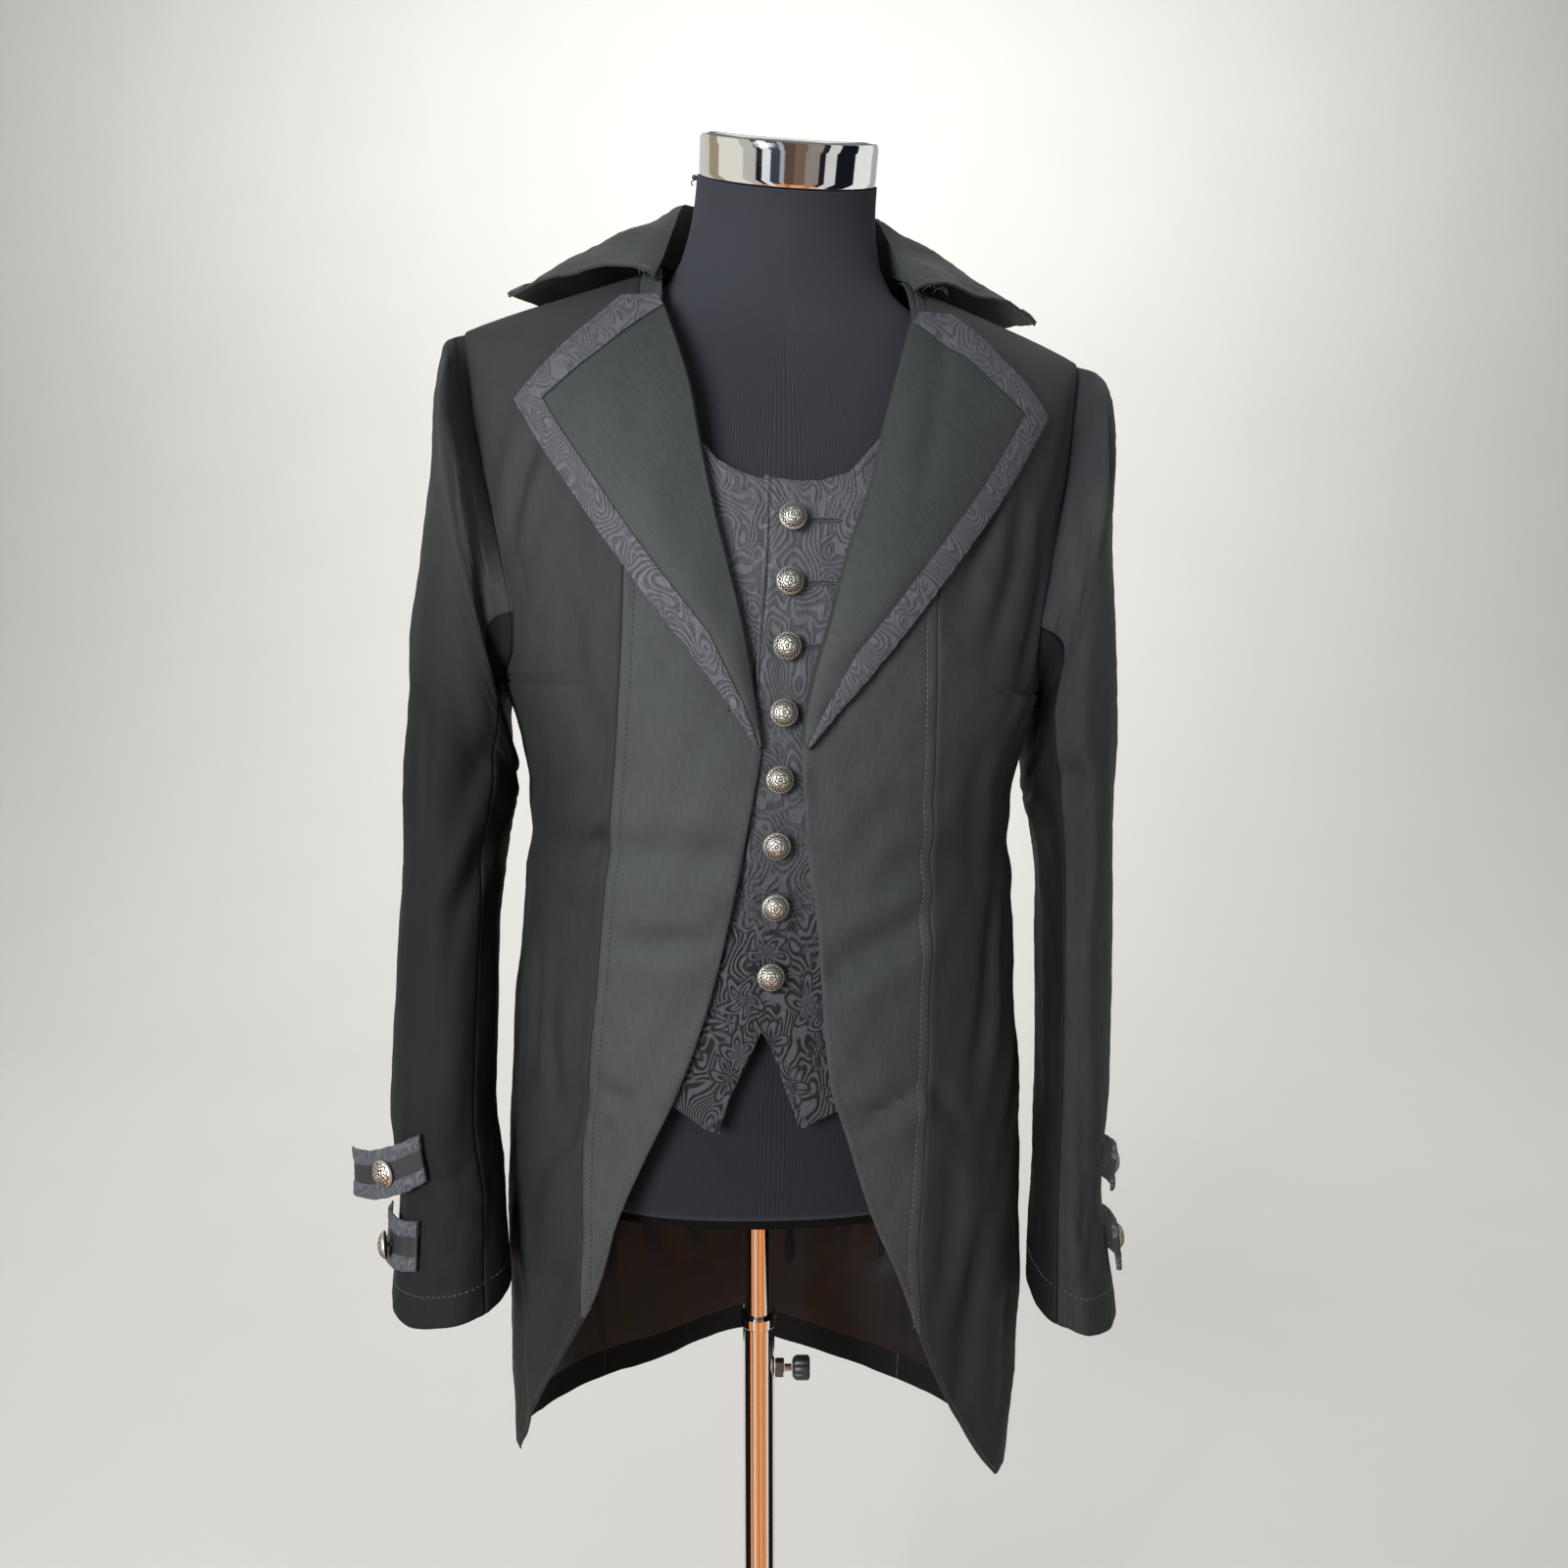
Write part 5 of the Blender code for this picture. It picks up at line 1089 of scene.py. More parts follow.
def shell(name, outer, inner, mats, uv, inner_mat=None, cell_mat=None, cells=None, **kw):
    """A closed thin shell from an outer and an inner grid of points."""
    outer, inner = np.asarray(outer, float), np.asarray(inner, float)
    m, n = outer.shape[:2]
    k = m * n
    q = grid_faces(m, n)
    p = outer.reshape(-1, 3)
    nn = np.cross(p[q[:, 2]] - p[q[:, 0]], p[q[:, 3]] - p[q[:, 1]])
    way = ((outer - inner).reshape(-1, 3))[q[:, 0]]
    flip = np.sum(nn * way) < 0
    keep = np.ones((m - 1) * (n - 1), bool) if cells is None else np.asarray(cells, bool).ravel()
    top = q[keep]
    low = top[:, ::-1] + k
    mats_top = np.zeros(len(q), int) if cell_mat is None else np.asarray(cell_mat, int).ravel()
    mats_top = mats_top[keep]
    mats_low = mats_top.copy() if inner_mat is None else np.full(len(low), inner_mat)
    # the rim: edges used once
    e = np.concatenate([top[:, [0, 1]], top[:, [1, 2]], top[:, [2, 3]], top[:, [3, 0]]])
    face_of = np.tile(np.arange(len(top)), 4)
    key = np.sort(e, 1)
    code = key[:, 0].astype(np.int64) * k + key[:, 1]
    _, inv, cnt = np.unique(code, return_inverse=True, return_counts=True)
    border = cnt[inv] == 1
    b = e[border]
    rim = np.stack([b[:, 1], b[:, 0], b[:, 0] + k, b[:, 1] + k], -1)
    faces = np.concatenate([top, low, rim])
    fm = np.concatenate([mats_top, mats_low, mats_top[face_of[border]]])
    if flip:
        faces = faces[:, ::-1]
    verts = np.concatenate([p, inner.reshape(-1, 3)])
    uv = np.asarray(uv, float).reshape(-1, 2)
    uvs = np.concatenate([uv, uv])
    used = np.unique(faces)
    new = np.zeros(2 * k, int)
    new[used] = np.arange(len(used))
    return make_mesh(name, verts[used], new[faces], uvs[used], mats, fm, **kw)


def arc_uv(grid):
    """Flat coordinates of a grid, in metres: lengths along its rows and columns."""
    du = np.linalg.norm(np.diff(grid, axis=1), axis=-1)
    dv = np.linalg.norm(np.diff(grid, axis=0), axis=-1)
    u = np.concatenate([np.zeros((grid.shape[0], 1)), np.cumsum(du, 1)], 1)
    v = np.concatenate([np.zeros((1, grid.shape[1])), np.cumsum(dv, 0)], 0)
    mid = grid.shape[1] // 2
    return np.stack([u - u[:, mid:mid + 1], v], -1)


def cut(grid):
    """Works out a cloth piece's width, height and area, and keeps none of them."""
    du = np.linalg.norm(np.diff(grid, axis=1), axis=-1).sum(1)
    dv = np.linalg.norm(np.diff(grid, axis=0), axis=-1).sum(0)
    a = grid[:-1, :-1]
    b, c, d = grid[:-1, 1:], grid[1:, 1:], grid[1:, :-1]
    area = 0.5 * (np.linalg.norm(np.cross(b - a, c - a), axis=-1) + np.linalg.norm(np.cross(c - a, d - a), axis=-1)).sum()
    w, h = float(du.max()), float(dv.max())
    area = float(min(area, w * h))


def spaced(length, step, near=(0.0006, 0.0016, 0.0036)):
    """Shares of a length, closer together near both ends."""
    length = float(length)
    n = max(2, int(round((length - 2 * near[-1]) / step)))
    mid = np.linspace(near[-1], length - near[-1], n + 1)
    ends = np.array([0.0] + list(near[:-1]))
    return np.concatenate([ends, mid, length - ends[::-1]]) / length


def smoothstep(x):
    x = np.clip(x, 0, 1)
    return x * x * (3 - 2 * x)


def ripple(a, b, seed, scale):
    """Smooth uneven waves, from a sum of fixed sines."""
    out = 0 * a
    rng = np.random.default_rng(seed)
    for _ in range(7):
        kx, ky = rng.normal(0, 1, 2) / scale
        out = out + np.sin(a * kx * 2 * math.pi + b * ky * 2 * math.pi + rng.uniform(0, 6.28))
    return out / 3.7


def furrows(a, b, rows):
    """Depths of the creases at points (a, b), in metres along the cloth.  A row
    is a trough (or, with a negative depth, a ridge) along a bowed line, with a
    lip beside it."""
    out = np.zeros_like(a)
    for a0, b0, a1, b1, bow, width, depth in rows:
        p0, p1 = np.array([a0, b0]), np.array([a1, b1])
        d = p1 - p0
        length = np.linalg.norm(d)
        side = np.array([-d[1], d[0]]) / length
        t = np.linspace(0, 1, 13)[:, None]
        pts = p0 + d * t + side * (4 * bow * t * (1 - t))
        best = np.full(a.shape, 9.0)
        along = np.zeros(a.shape)
        sign = np.zeros(a.shape)
        for i in range(12):
            q, e = pts[i], pts[i + 1] - pts[i]
            le = e @ e
            s = np.clip(((a - q[0]) * e[0] + (b - q[1]) * e[1]) / le, 0, 1)
            dx, dy = a - q[0] - s * e[0], b - q[1] - s * e[1]
            dist = np.hypot(dx, dy)
            near = dist < best
            best = np.where(near, dist, best)
            along = np.where(near, (i + s) / 12, along)
            sign = np.where(near, dx * side[0] + dy * side[1], sign)
        fade = np.sin(math.pi * np.clip(along, 0.0, 1.0)) ** 0.7
        fade = np.where(best < 4 * width, np.maximum(fade, 0), 0)
        trough = np.exp(-(best / width) ** 2)
        lip = np.exp(-((np.abs(sign) - 1.9 * width) / (0.9 * width)) ** 2) * np.where(sign > 0, 0.55, 0.22)
        out += fade * depth * (lip * (best < 5 * width) - trough)
    return out


def table_rows(tab, names, scale_a=1.0, radians=False):
    cols = [tab[n] for n in names.split()]
    rows = []
    for r in zip(*cols):
        r = list(r)
        rows.append(r)
    return rows


# ================================================================== creases
# on the body: from and to, as an angle round the body from centre front
# (+ on the left) and a height, how far the line bows, how wide and how deep
GIRTH = 0.185
BODY_CREASES = table(
    "a0     z0     a1     z1     bow     width   depth",
    (31.0, 1.026, 5.0, 0.985, 0.004, 0.0120, 0.0034),
    (31.0, 1.058, 9.0, 1.036, 0.002, 0.0100, 0.0014),
    (33.0, 1.100, 10.0, 1.075, -0.004, 0.0120, 0.0010),
    (4.6, 1.116, 2.2, 1.103, 0.001, 0.0032, 0.0010),
    (6.4, 1.112, 3.4, 1.096, 0.001, 0.0030, 0.0008),
    (30.6, 0.906, 9.5, 0.880, 0.003, 0.0075, 0.0030),
    (30.5, 0.904, 41.0, 0.868, -0.004, 0.0070, 0.0022),
    (6.8, 0.984, 12.0, 0.985, 0.001, 0.0040, 0.0011),
    (51.0, 0.990, 43.0, 0.900, 0.004, 0.0100, 0.0022),
    (57.0, 1.030, 49.0, 0.960, -0.004, 0.0080, 0.0018),
    (74.0, 0.930, 62.0, 0.850, 0.004, 0.0090, 0.0022),
    (37.0, 0.850, 33.5, 0.735, 0.003, 0.0110, 0.0020),
    (46.0, 0.800, 43.0, 0.640, -0.003, 0.0120, 0.0022),
    (63.0, 0.780, 60.0, 0.620, 0.003, 0.0110, 0.0020),
    (34.0, 1.330, 27.0, 1.200, 0.006, 0.0120, 0.0018),
    (47.0, 1.310, 36.0, 1.180, 0.008, 0.0100, 0.0020),
    (60.0, 1.270, 48.0, 1.150, 0.006, 0.0090, 0.0016),
    (40.0, 1.140, 44.0, 1.040, 0.003, 0.0120, 0.0014),
    (-36.0, 1.000, -9.0, 1.004, -0.002, 0.0085, 0.0018),
    (-43.0, 1.055, -36.0, 1.068, 0.002, 0.0060, 0.0018),
    (-64.0, 1.000, -61.0, 0.890, 0.004, 0.0090, 0.0024),
    (-54.0, 0.960, -47.0, 0.870, -0.004, 0.0085, 0.0018),
    (-38.0, 0.902, -27.0, 0.892, 0.001, 0.0050, 0.0014),
    (-40.0, 0.900, -53.0, 0.835, 0.004, 0.0090, 0.0022),
    (-12.5, 0.986, -8.4, 0.981, 0.001, 0.0036, 0.0012),
    (-50.0, 0.860, -61.0, 0.776, -0.003, 0.0100, 0.0018),
    (-25.0, 1.335, -34.0, 1.215, -0.006, 0.0120, 0.0018),
    (-44.0, 1.340, -60.0, 1.250, -0.008, 0.0100, 0.0022),
    (-42.0, 1.250, -37.0, 1.120, 0.005, 0.0110, 0.0014),
    (-46.0, 0.780, -60.0, 0.660, 0.004, 0.0110, 0.0020),
    (-33.0, 0.800, -40.0, 0.680, 0.004, 0.0110, 0.0018),
    (-72.0, 0.760, -70.0, 0.600, 0.003, 0.0110, 0.0022),
    # hidden sides and back, of the same kind
    (100.0, 1.080, 140.0, 1.050, -0.006, 0.0110, 0.0022),
    (105.0, 1.010, 150.0, 1.030, 0.005, 0.0100, 0.0020),
    (-100.0, 1.070, -142.0, 1.045, 0.006, 0.0110, 0.0024),
    (-108.0, 1.015, -152.0, 1.030, -0.004, 0.0100, 0.0018),
    (165.0, 1.060, -165.0, 1.060, 0.002, 0.0120, 0.0014),
    (112.0, 0.880, 118.0, 0.640, 0.006, 0.0120, 0.0024),
    (145.0, 0.860, 148.0, 0.620, -0.004, 0.0130, 0.0022),
    (-116.0, 0.880, -112.0, 0.650, 0.005, 0.0120, 0.0026),
    (-146.0, 0.850, -150.0, 0.620, 0.004, 0.0130, 0.0022),
    (172.0, 0.800, 168.0, 0.620, 0.003, 0.0100, 0.0020),
    (118.0, 1.330, 135.0, 1.200, 0.006, 0.0110, 0.0022),
    (-118.0, 1.330, -136.0, 1.205, -0.006, 0.0110, 0.0020),
    (150.0, 1.300, 158.0, 1.200, 0.004, 0.0120, 0.0014),
)
DEEPER = 1.75
BODY_ROWS = [(math.radians(r[0]) * GIRTH, r[1], math.radians(r[2]) * GIRTH, r[3], r[4], r[5], r[6] * DEEPER)
             for r in zip(*(BODY_CREASES[n] for n in "a0 z0 a1 z1 bow width depth".split()))]


def body_relief(theta, v):
    """How far the jacket's cloth stands off its mean form."""
    z = skin(theta, v)[..., 2]
    a = theta * GIRTH
    out = furrows(a, z, BODY_ROWS)
    out = out + furrows(a - 2 * math.pi * GIRTH, z, BODY_ROWS) + furrows(a + 2 * math.pi * GIRTH, z, BODY_ROWS)
    # slow swing of the skirt and small unevenness everywhere
    low = smoothstep((0.86 - z) / 0.25)
    out = out + 0.0024 * low * ripple(a, z * 0.25, 5, 0.17)
    out = out + 0.0011 * ripple(a, z * 0.6, 11, 0.070) + 0.00032 * ripple(a, z, 17, 0.024)
    calm = smoothstep((1.420 - z) / 0.05)
    return out * calm


# -------------------------------------------------------------- the panels
STITCHED = {}


def stitch_lines(name, lines, mat, pitch=0.0031, length=0.0022, radius=0.00021, body="form", posed=True, slot="twill"):
    """Short thread ends along lines of points, half sunk in the cloth."""
    verts, faces = [], []
    count = 0
    for pts in lines:
        pts = np.asarray(pts, float)
        seg = np.linalg.norm(np.diff(pts, axis=0), axis=1)
        arc = np.concatenate([[0], np.cumsum(seg)])
        n = int(arc[-1] / pitch)
        for k in range(n):
            s0 = (k + 0.2) * pitch
            ends = [np.array([np.interp(s, arc, pts[:, c]) for c in range(3)]) for s in (s0, s0 + length)]
            d = ends[1] - ends[0]
            ln = np.linalg.norm(d)
            if ln < 1e-6:
                continue
            d /= ln
            ref = np.array([0, -1.0, 0]) if abs(d[1]) < 0.9 else np.array([1.0, 0, 0])
            e1 = np.cross(d, ref)
            e1 /= np.linalg.norm(e1)
            e2 = np.cross(d, e1)
            base = len(verts)
            verts.append(ends[0])
            for f in (0.22, 0.78):
                c = ends[0] + d * ln * f
                for q in range(5):
                    w = 2 * math.pi * q / 5
                    verts.append(c + (e1 * math.cos(w) + e2 * math.sin(w)) * radius)
            verts.append(ends[1])
            for q in range(5):
                r = (q + 1) % 5
                faces.append((base, base + 1 + r, base + 1 + q))
                faces.append((base + 1 + q, base + 1 + r, base + 6 + r, base + 6 + q))
                faces.append((base + 11, base + 6 + q, base + 6 + r))
            count += 1
    if not verts:
        return None
    return make_mesh(name, np.array(verts), faces, None, [mat], posed=posed, sharp=80, slot=slot, body=body)


NEAR = np.array([0.0, 0.0006, 0.0017, 0.0034, 0.0054, 0.0066, 0.0074, 0.0084])


def panel_points(left, right, v, columns, thick, groove=(0, 0), dip=0.0006):
    """Outer and inner points of a body panel.  left and right give its edges'
    angles on the rows v.  The columns stand closer beside the seams."""
    half = SEAM / 2
    a, b = shifted(left, v, half), shifted(right, v, -half)
    coarse = np.linspace(0, 1, 13)
    line_pts = skin(a[:, None] * (1 - coarse) + b[:, None] * coarse, np.repeat(v[:, None], 13, 1))
    seg = np.linalg.norm(np.diff(line_pts, axis=1), axis=-1)
    arc = np.concatenate([np.zeros((len(v), 1)), np.cumsum(seg, 1)], 1)
    shares = []
    for i in range(len(v)):
        width = arc[i, -1]
        near = NEAR * min(1.0, width / 0.034)
        mid = np.linspace(near[-1], width - near[-1], columns + 1)
        pos = np.concatenate([near[:-1], mid, width - near[:-1][::-1]])
        shares.append(np.interp(pos, arc[i], coarse))
    shares = np.array(shares)
    theta = a[:, None] * (1 - shares) + b[:, None] * shares
    rows = np.repeat(v[:, None], theta.shape[1], 1)
    mean = skin(theta, rows)
    relief = body_relief(theta, rows)
    du = np.linalg.norm(np.diff(mean, axis=1), axis=-1)
    u = np.concatenate([np.zeros((len(v), 1)), np.cumsum(du, 1)], 1)
    dv = np.linalg.norm(np.diff(mean, axis=0), axis=-1)
    w = np.concatenate([np.zeros((1, theta.shape[1])), np.cumsum(dv, 0)], 0)
    to_left, to_right = u, u[:, -1:] - u
    to_side = np.minimum(to_left, to_right)
    to_end = np.minimum(w, w[-1:] - w)
    edge = np.minimum(to_side, to_end)
    turned_in = dip * np.clip(1 - edge / 0.0019, 0, 1) ** 2
    allowance = 0.00016 * np.exp(-((to_side - 0.0036) / 0.0024) ** 2)
    # a row of stitches draws the cloth down, and puckers it a little
    for dist, at in ((to_left, groove[0]), (to_right, groove[1])):
        if at:
            allowance = allowance - 0.00020 * np.exp(-((dist - at) / 0.0009) ** 2)
            pull = np.sin(w * 2 * math.pi / 0.0135 + 2.2 * np.sin(w * 41)) + 0.6 * np.sin(w * 2 * math.pi / 0.0087)
            allowance = allowance + 0.00016 * pull * np.exp(-(np.maximum(dist - at, 0) / 0.0075) ** 2)
    off = relief - turned_in + allowance
    normal = skin_normal(theta, rows)
    outer = mean + normal * off[..., None]
    inner = mean + normal * (relief - thick + 0.30 * turned_in)[..., None]
    if v[-1] >= TOP_V:
        shift = -SEAM / 2 if abs(theta[-1].mean()) < SIDE else SEAM / 2
        outer[-1, :, 1] += shift
        inner[-1] = outer[-1] - np.array([0, 0, thick])
    return outer, inner, theta, rows, u, w


def on_panel(left, right, v, share_or_shift, off=0.00025):
    """A line down a panel, a length in from its left (+) or right (-) edge."""
    theta = shifted(left, v, share_or_shift) if share_or_shift > 0 else shifted(right, v, share_or_shift)
    return skin(theta, v, body_relief(theta, v) + off)


def dense_rows(v0, v1, height, step=0.0048):
    return v0 + (v1 - v0) * spaced(height, step)


def build_panels():
    lines = []
    for side in (-1, 1):
        tag = NAMES[side]
        edge, prin = FRONT_LINE[side], PRINCESS[side]
        end_v = row_for_height(prin, PRINCESS_END[side], side)

        def front_edges(v):
            a, b = line_angle(edge, v, side), line_angle(prin, v, side)
            b = np.where(np.abs(b) < np.abs(a) + 0.012, a + side * 0.012, b)
            return (a, b) if side > 0 else (b, a)

        def side_front_edges(v):
            e, p = line_angle(edge, v, side), line_angle(prin, v, side)
            p = np.where(np.abs(p) < np.abs(e) + 0.012, e + side * 0.012, p)
            a = np.where(v < end_v - 1e-6, e, p)
            b = side * np.where(v <= 1, SIDE, ARM_FRONT(v - 1))
            return (a, b) if side > 0 else (b, a)

        def side_back_edges(v):
            a = side * np.where(v <= 1, SIDE, ARM_BACK(v - 1))
            b = side * BACK_ANGLE(v)
            b = np.where(np.abs(b) < np.abs(a) + 0.02, a + side * 0.02, b)
            return (a, b) if side > 0 else (b, a)

        def back_edges(v):
            seam = np.abs(BACK_ANGLE(v))
            arm = np.where(v <= 1, SIDE, ARM_BACK(v - 1))
            a = side * np.where(v <= 1.35 + 1e-6, np.maximum(seam, arm + 0.02), arm)
            b = side * math.pi * np.ones_like(v)
            return (a, b) if side > 0 else (b, a)

        # stitch rows: left and right of the panel, as distances from its edges
        seam_row, edge_row = 0.0072, 0.0040
        front_rows = (edge_row, seam_row) if side > 0 else (seam_row, edge_row)
        back_rows = (seam_row, 0) if side > 0 else (0, seam_row)
        parts = (("front_", front_edges, end_v, TOP_V, 0.72, 20, front_rows),
                 ("side_front_", side_front_edges, 0.0, TOP_V, 0.90, 30, (0, 0)),
                 ("side_back_", side_back_edges, 0.0, 1.35, 0.74, 16, (0, 0)),
                 ("back_", back_edges, 0.0, TOP_V, 0.90, 28, back_rows))
        for stem, edges, v0, v1, height, columns, groove in parts:
            v = dense_rows(v0, v1, height)
            if stem == "side_front_":
                v = np.unique(np.concatenate([v, [end_v - 2e-3, end_v + 1e-3]]))
            if v1 == TOP_V:
                v = np.unique(np.concatenate([v, 1 + np.linspace(0, 1, 9)[1:-1]]))
            left, right = edges(v)
            outer, inner, theta, rows, u, w = panel_points(left, right, v, columns, CLOTH, groove)
            uv = np.stack([theta * GIRTH, w], -1)
            obj = shell(stem + tag + "_cloth", outer, inner, [TWILL_SIDE_PAINTED_SHADE[side] if "side" in stem else TWILL_MAT, TWILL_IN], uv, inner_mat=1)
            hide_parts(stem + tag)
            cut(outer)
        # topstitching: beside the princess seam, on the front's side of it, and
        # along the front edge down to the hem
        v = np.linspace(end_v + 0.01, TOP_V - 0.02, 260)
        left, right = front_edges(v)
        seam_in = -0.0072 if side > 0 else 0.0072
        lines.append((on_panel(left, right, v, seam_in), THREAD_PALE if side > 0 else THREAD))
        v = np.linspace(end_v + 0.004, 1.0, 240)
        left, right = front_edges(v)
        edge_in = 0.0042 if side > 0 else -0.0042
        lines.append((on_panel(left, right, v, edge_in), THREAD))
        v = np.linspace(0.012, end_v, 60)
        left, right = side_front_edges(v)
        lines.append((on_panel(left, right, v, edge_in), THREAD))
        v = np.linspace(0.02, TOP_V - 0.05, 260)
        left, right = back_edges(v)
        seam_in = 0.0072 if side > 0 else -0.0072
        vv = v[v < 1.35]
        left, right = back_edges(vv)
        lines.append((on_panel(left, right, vv, seam_in), THREAD))
    for mat, stem in ((THREAD, "topstitch_dark"), (THREAD_PALE, "topstitch_grey")):
        stitch_lines(stem, [l for l, m in lines if m is mat], mat, 0.0038, 0.0026, 0.00026)
    # short stitched marks below the lapels, where the facing is caught down
    marks = []
    for x0, z0, x1, z1 in ((-0.0355, 1.1700, -0.0375, 1.1500), (0.0300, 1.1590, 0.0302, 1.1510)):
        t = np.linspace(0, 1, 12)
        marks.append(front_at(x0 + (x1 - x0) * t, z0 + (z1 - z0) * t, np.full(12, 0.0008)))
    stitch_lines("tack_marks", marks, THREAD, 0.0030, 0.0026, 0.00036)


LINING_ROWS = [(math.radians(a0) * GIRTH, z0, math.radians(a1) * GIRTH, z1, bow, w, d) for a0, z0, a1, z1, bow, w, d in (
    (112, 0.860, 124, 0.660, 0.010, 0.012, 0.0065), (128, 0.840, 140, 0.640, -0.008, 0.010, 0.0050),
    (146, 0.850, 152, 0.650, 0.008, 0.012, 0.0060), (166, 0.830, 163, 0.660, -0.006, 0.010, 0.0045),
    (182, 0.850, 186, 0.650, 0.006, 0.010, 0.0050), (200, 0.850, 194, 0.660, 0.006, 0.011, 0.0060),
    (216, 0.840, 226, 0.650, -0.008, 0.012, 0.0055), (236, 0.850, 228, 0.680, 0.006, 0.010, 0.0060),
    (250, 0.830, 246, 0.640, -0.006, 0.011, 0.0050), (104, 0.780, 118, 0.640, 0.006, 0.009, 0.0040))]


def build_lining_cloth():
    v = 0.045 + (0.47 - 0.045) * spaced(0.27, 0.0042)
    t = spaced(0.42, 0.0042)
    theta0 = math.radians(98) + (math.radians(262) - math.radians(98)) * t
    theta = np.repeat(theta0[None, :], len(v), 0)
    rows = np.repeat(v[:, None], len(t), 1)
    wrapped = np.where(theta > math.pi, theta - 2 * math.pi, theta)
    z = skin(wrapped, rows)[..., 2]
    a = theta * GIRTH
    fold = furrows(a, z, LINING_ROWS)
    fold = fold + 0.0011 * ripple(a, z * 0.4, 23, 0.045)
    hem = np.clip((rows - 0.045) / 0.02, 0, 1)
    off = -0.0048 - np.clip(-fold * 1.5 + 0.0016, 0, 0.02) * hem - 0.0010 * (1 - hem)
    outer = skin(wrapped, rows, off)
    inner = skin(wrapped, rows, off - 0.0007)
    obj = shell("back_lining_cloth", outer, inner, [SATIN_MAT], np.stack([a, z], -1), slot="satin")
    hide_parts("back_lining")
    cut(outer)


# ------------------------------------------------------------------ sleeves
SLEEVE_CREASES = {
    -1: table(   # angle round the sleeve and share of its length, from and to
        "a0    w0     a1     w1     bow     width   depth",
        (72, 0.848, 118, 0.842, 0.004, 0.0060, 0.0026),
        (70, 0.850, 132, 0.915, -0.006, 0.0060, 0.0024),
        (60, 0.905, 100, 0.935, 0.004, 0.0055, 0.0020),
        (52, 0.845, 46, 0.760, 0.004, 0.0080, 0.0020),
        (96, 0.800, 110, 0.880, 0.005, 0.0080, 0.0018),
        (46, 0.470, 57, 0.720, 0.010, 0.0130, 0.0020),
        (90, 0.420, 84, 0.640, -0.008, 0.0120, 0.0018),
        (128, 0.380, 100, 0.560, 0.006, 0.0100, 0.0026),
        (128, 0.540, 84, 0.690, -0.006, 0.0100, 0.0022),
        (20, 0.080, 40, 0.300, 0.006, 0.0110, 0.0018),
        (70, 0.050, 78, 0.260, 0.004, 0.0100, 0.0020),
        (104, 0.060, 112, 0.240, -0.004, 0.0090, 0.0022),
        (-20, 0.300, -10, 0.560, 0.008, 0.0130, 0.0018),
        (-60, 0.420, -100, 0.560, 0.006, 0.0110, 0.0024),
        (-70, 0.560, -120, 0.640, -0.006, 0.0110, 0.0022),
        (-40, 0.860, -96, 0.900, 0.006, 0.0080, 0.0022),
        (150, 0.300, 190, 0.420, 0.006, 0.0100, 0.0022),
        (70, 0.965, 66, 0.985, 0.0, 0.004, 0.0008),
    ),
    1: table(
        "a0    w0     a1     w1     bow     width   depth",
        (30, 0.842, 118, 0.838, -0.008, 0.0065, 0.0030),
        (34, 0.884, 112, 0.910, 0.006, 0.0065, 0.0028),
        (58, 0.900, 108, 0.975, 0.006, 0.0060, 0.0024),
        (78, 0.868, 92, 0.930, 0.004, 0.0050, 0.0020),
        (56, 0.930, 90, 0.975, -0.003, 0.0050, 0.0018),
        (60, 0.800, 110, 0.770, 0.006, 0.0090, 0.0022),
        (105, 0.450, 104, 0.700, 0.006, 0.0110, 0.0018),
        (70, 0.350, 76, 0.620, -0.008, 0.0130, 0.0018),
        (128, 0.420, 96, 0.540, 0.006, 0.0100, 0.0024),
        (24, 0.060, 60, 0.260, 0.006, 0.0100, 0.0020),
        (80, 0.060, 96, 0.240, 0.004, 0.0090, 0.0020),
        (112, 0.060, 116, 0.220, -0.004, 0.0090, 0.0020),
        (-30, 0.320, -16, 0.560, 0.008, 0.0130, 0.0018),
        (-64, 0.440, -104, 0.560, 0.006, 0.0110, 0.0022),
        (-72, 0.580, -124, 0.650, -0.006, 0.0110, 0.0024),
        (150, 0.320, 192, 0.430, 0.006, 0.0100, 0.0020),
        (-50, 0.880, -100, 0.850, 0.006, 0.0080, 0.0022),
    ),
}
SLEEVE_R = 0.062
SLEEVE_L = 0.68


def sleeve_relief(side, w, alpha):
    tab = SLEEVE_CREASES[side]
    rows = [(math.radians(r[0]) * SLEEVE_R, r[1] * SLEEVE_L, math.radians(r[2]) * SLEEVE_R, r[3] * SLEEVE_L, r[4], r[5], r[6] * (0.55 if r[1] > 0.74 else 1.7))
            for r in zip(*(tab[n] for n in "a0 w0 a1 w1 bow width depth".split()))]
    al = np.where(alpha > math.pi + 0.35, alpha - 2 * math.pi, alpha)
    a, b = al * SLEEVE_R, w * SLEEVE_L
    out = furrows(a, b, rows)
    out = out + 0.0014 * ripple(a, b * 0.6, 31 + side, 0.065) + 0.00035 * ripple(a, b, 37 + side, 0.022)
    head = np.exp(-((w - 0.028) / 0.020) ** 2) * np.clip(np.cos(al), 0, 1)
    return out * smoothstep((w - 0.004) / 0.06) + 0.0016 * head


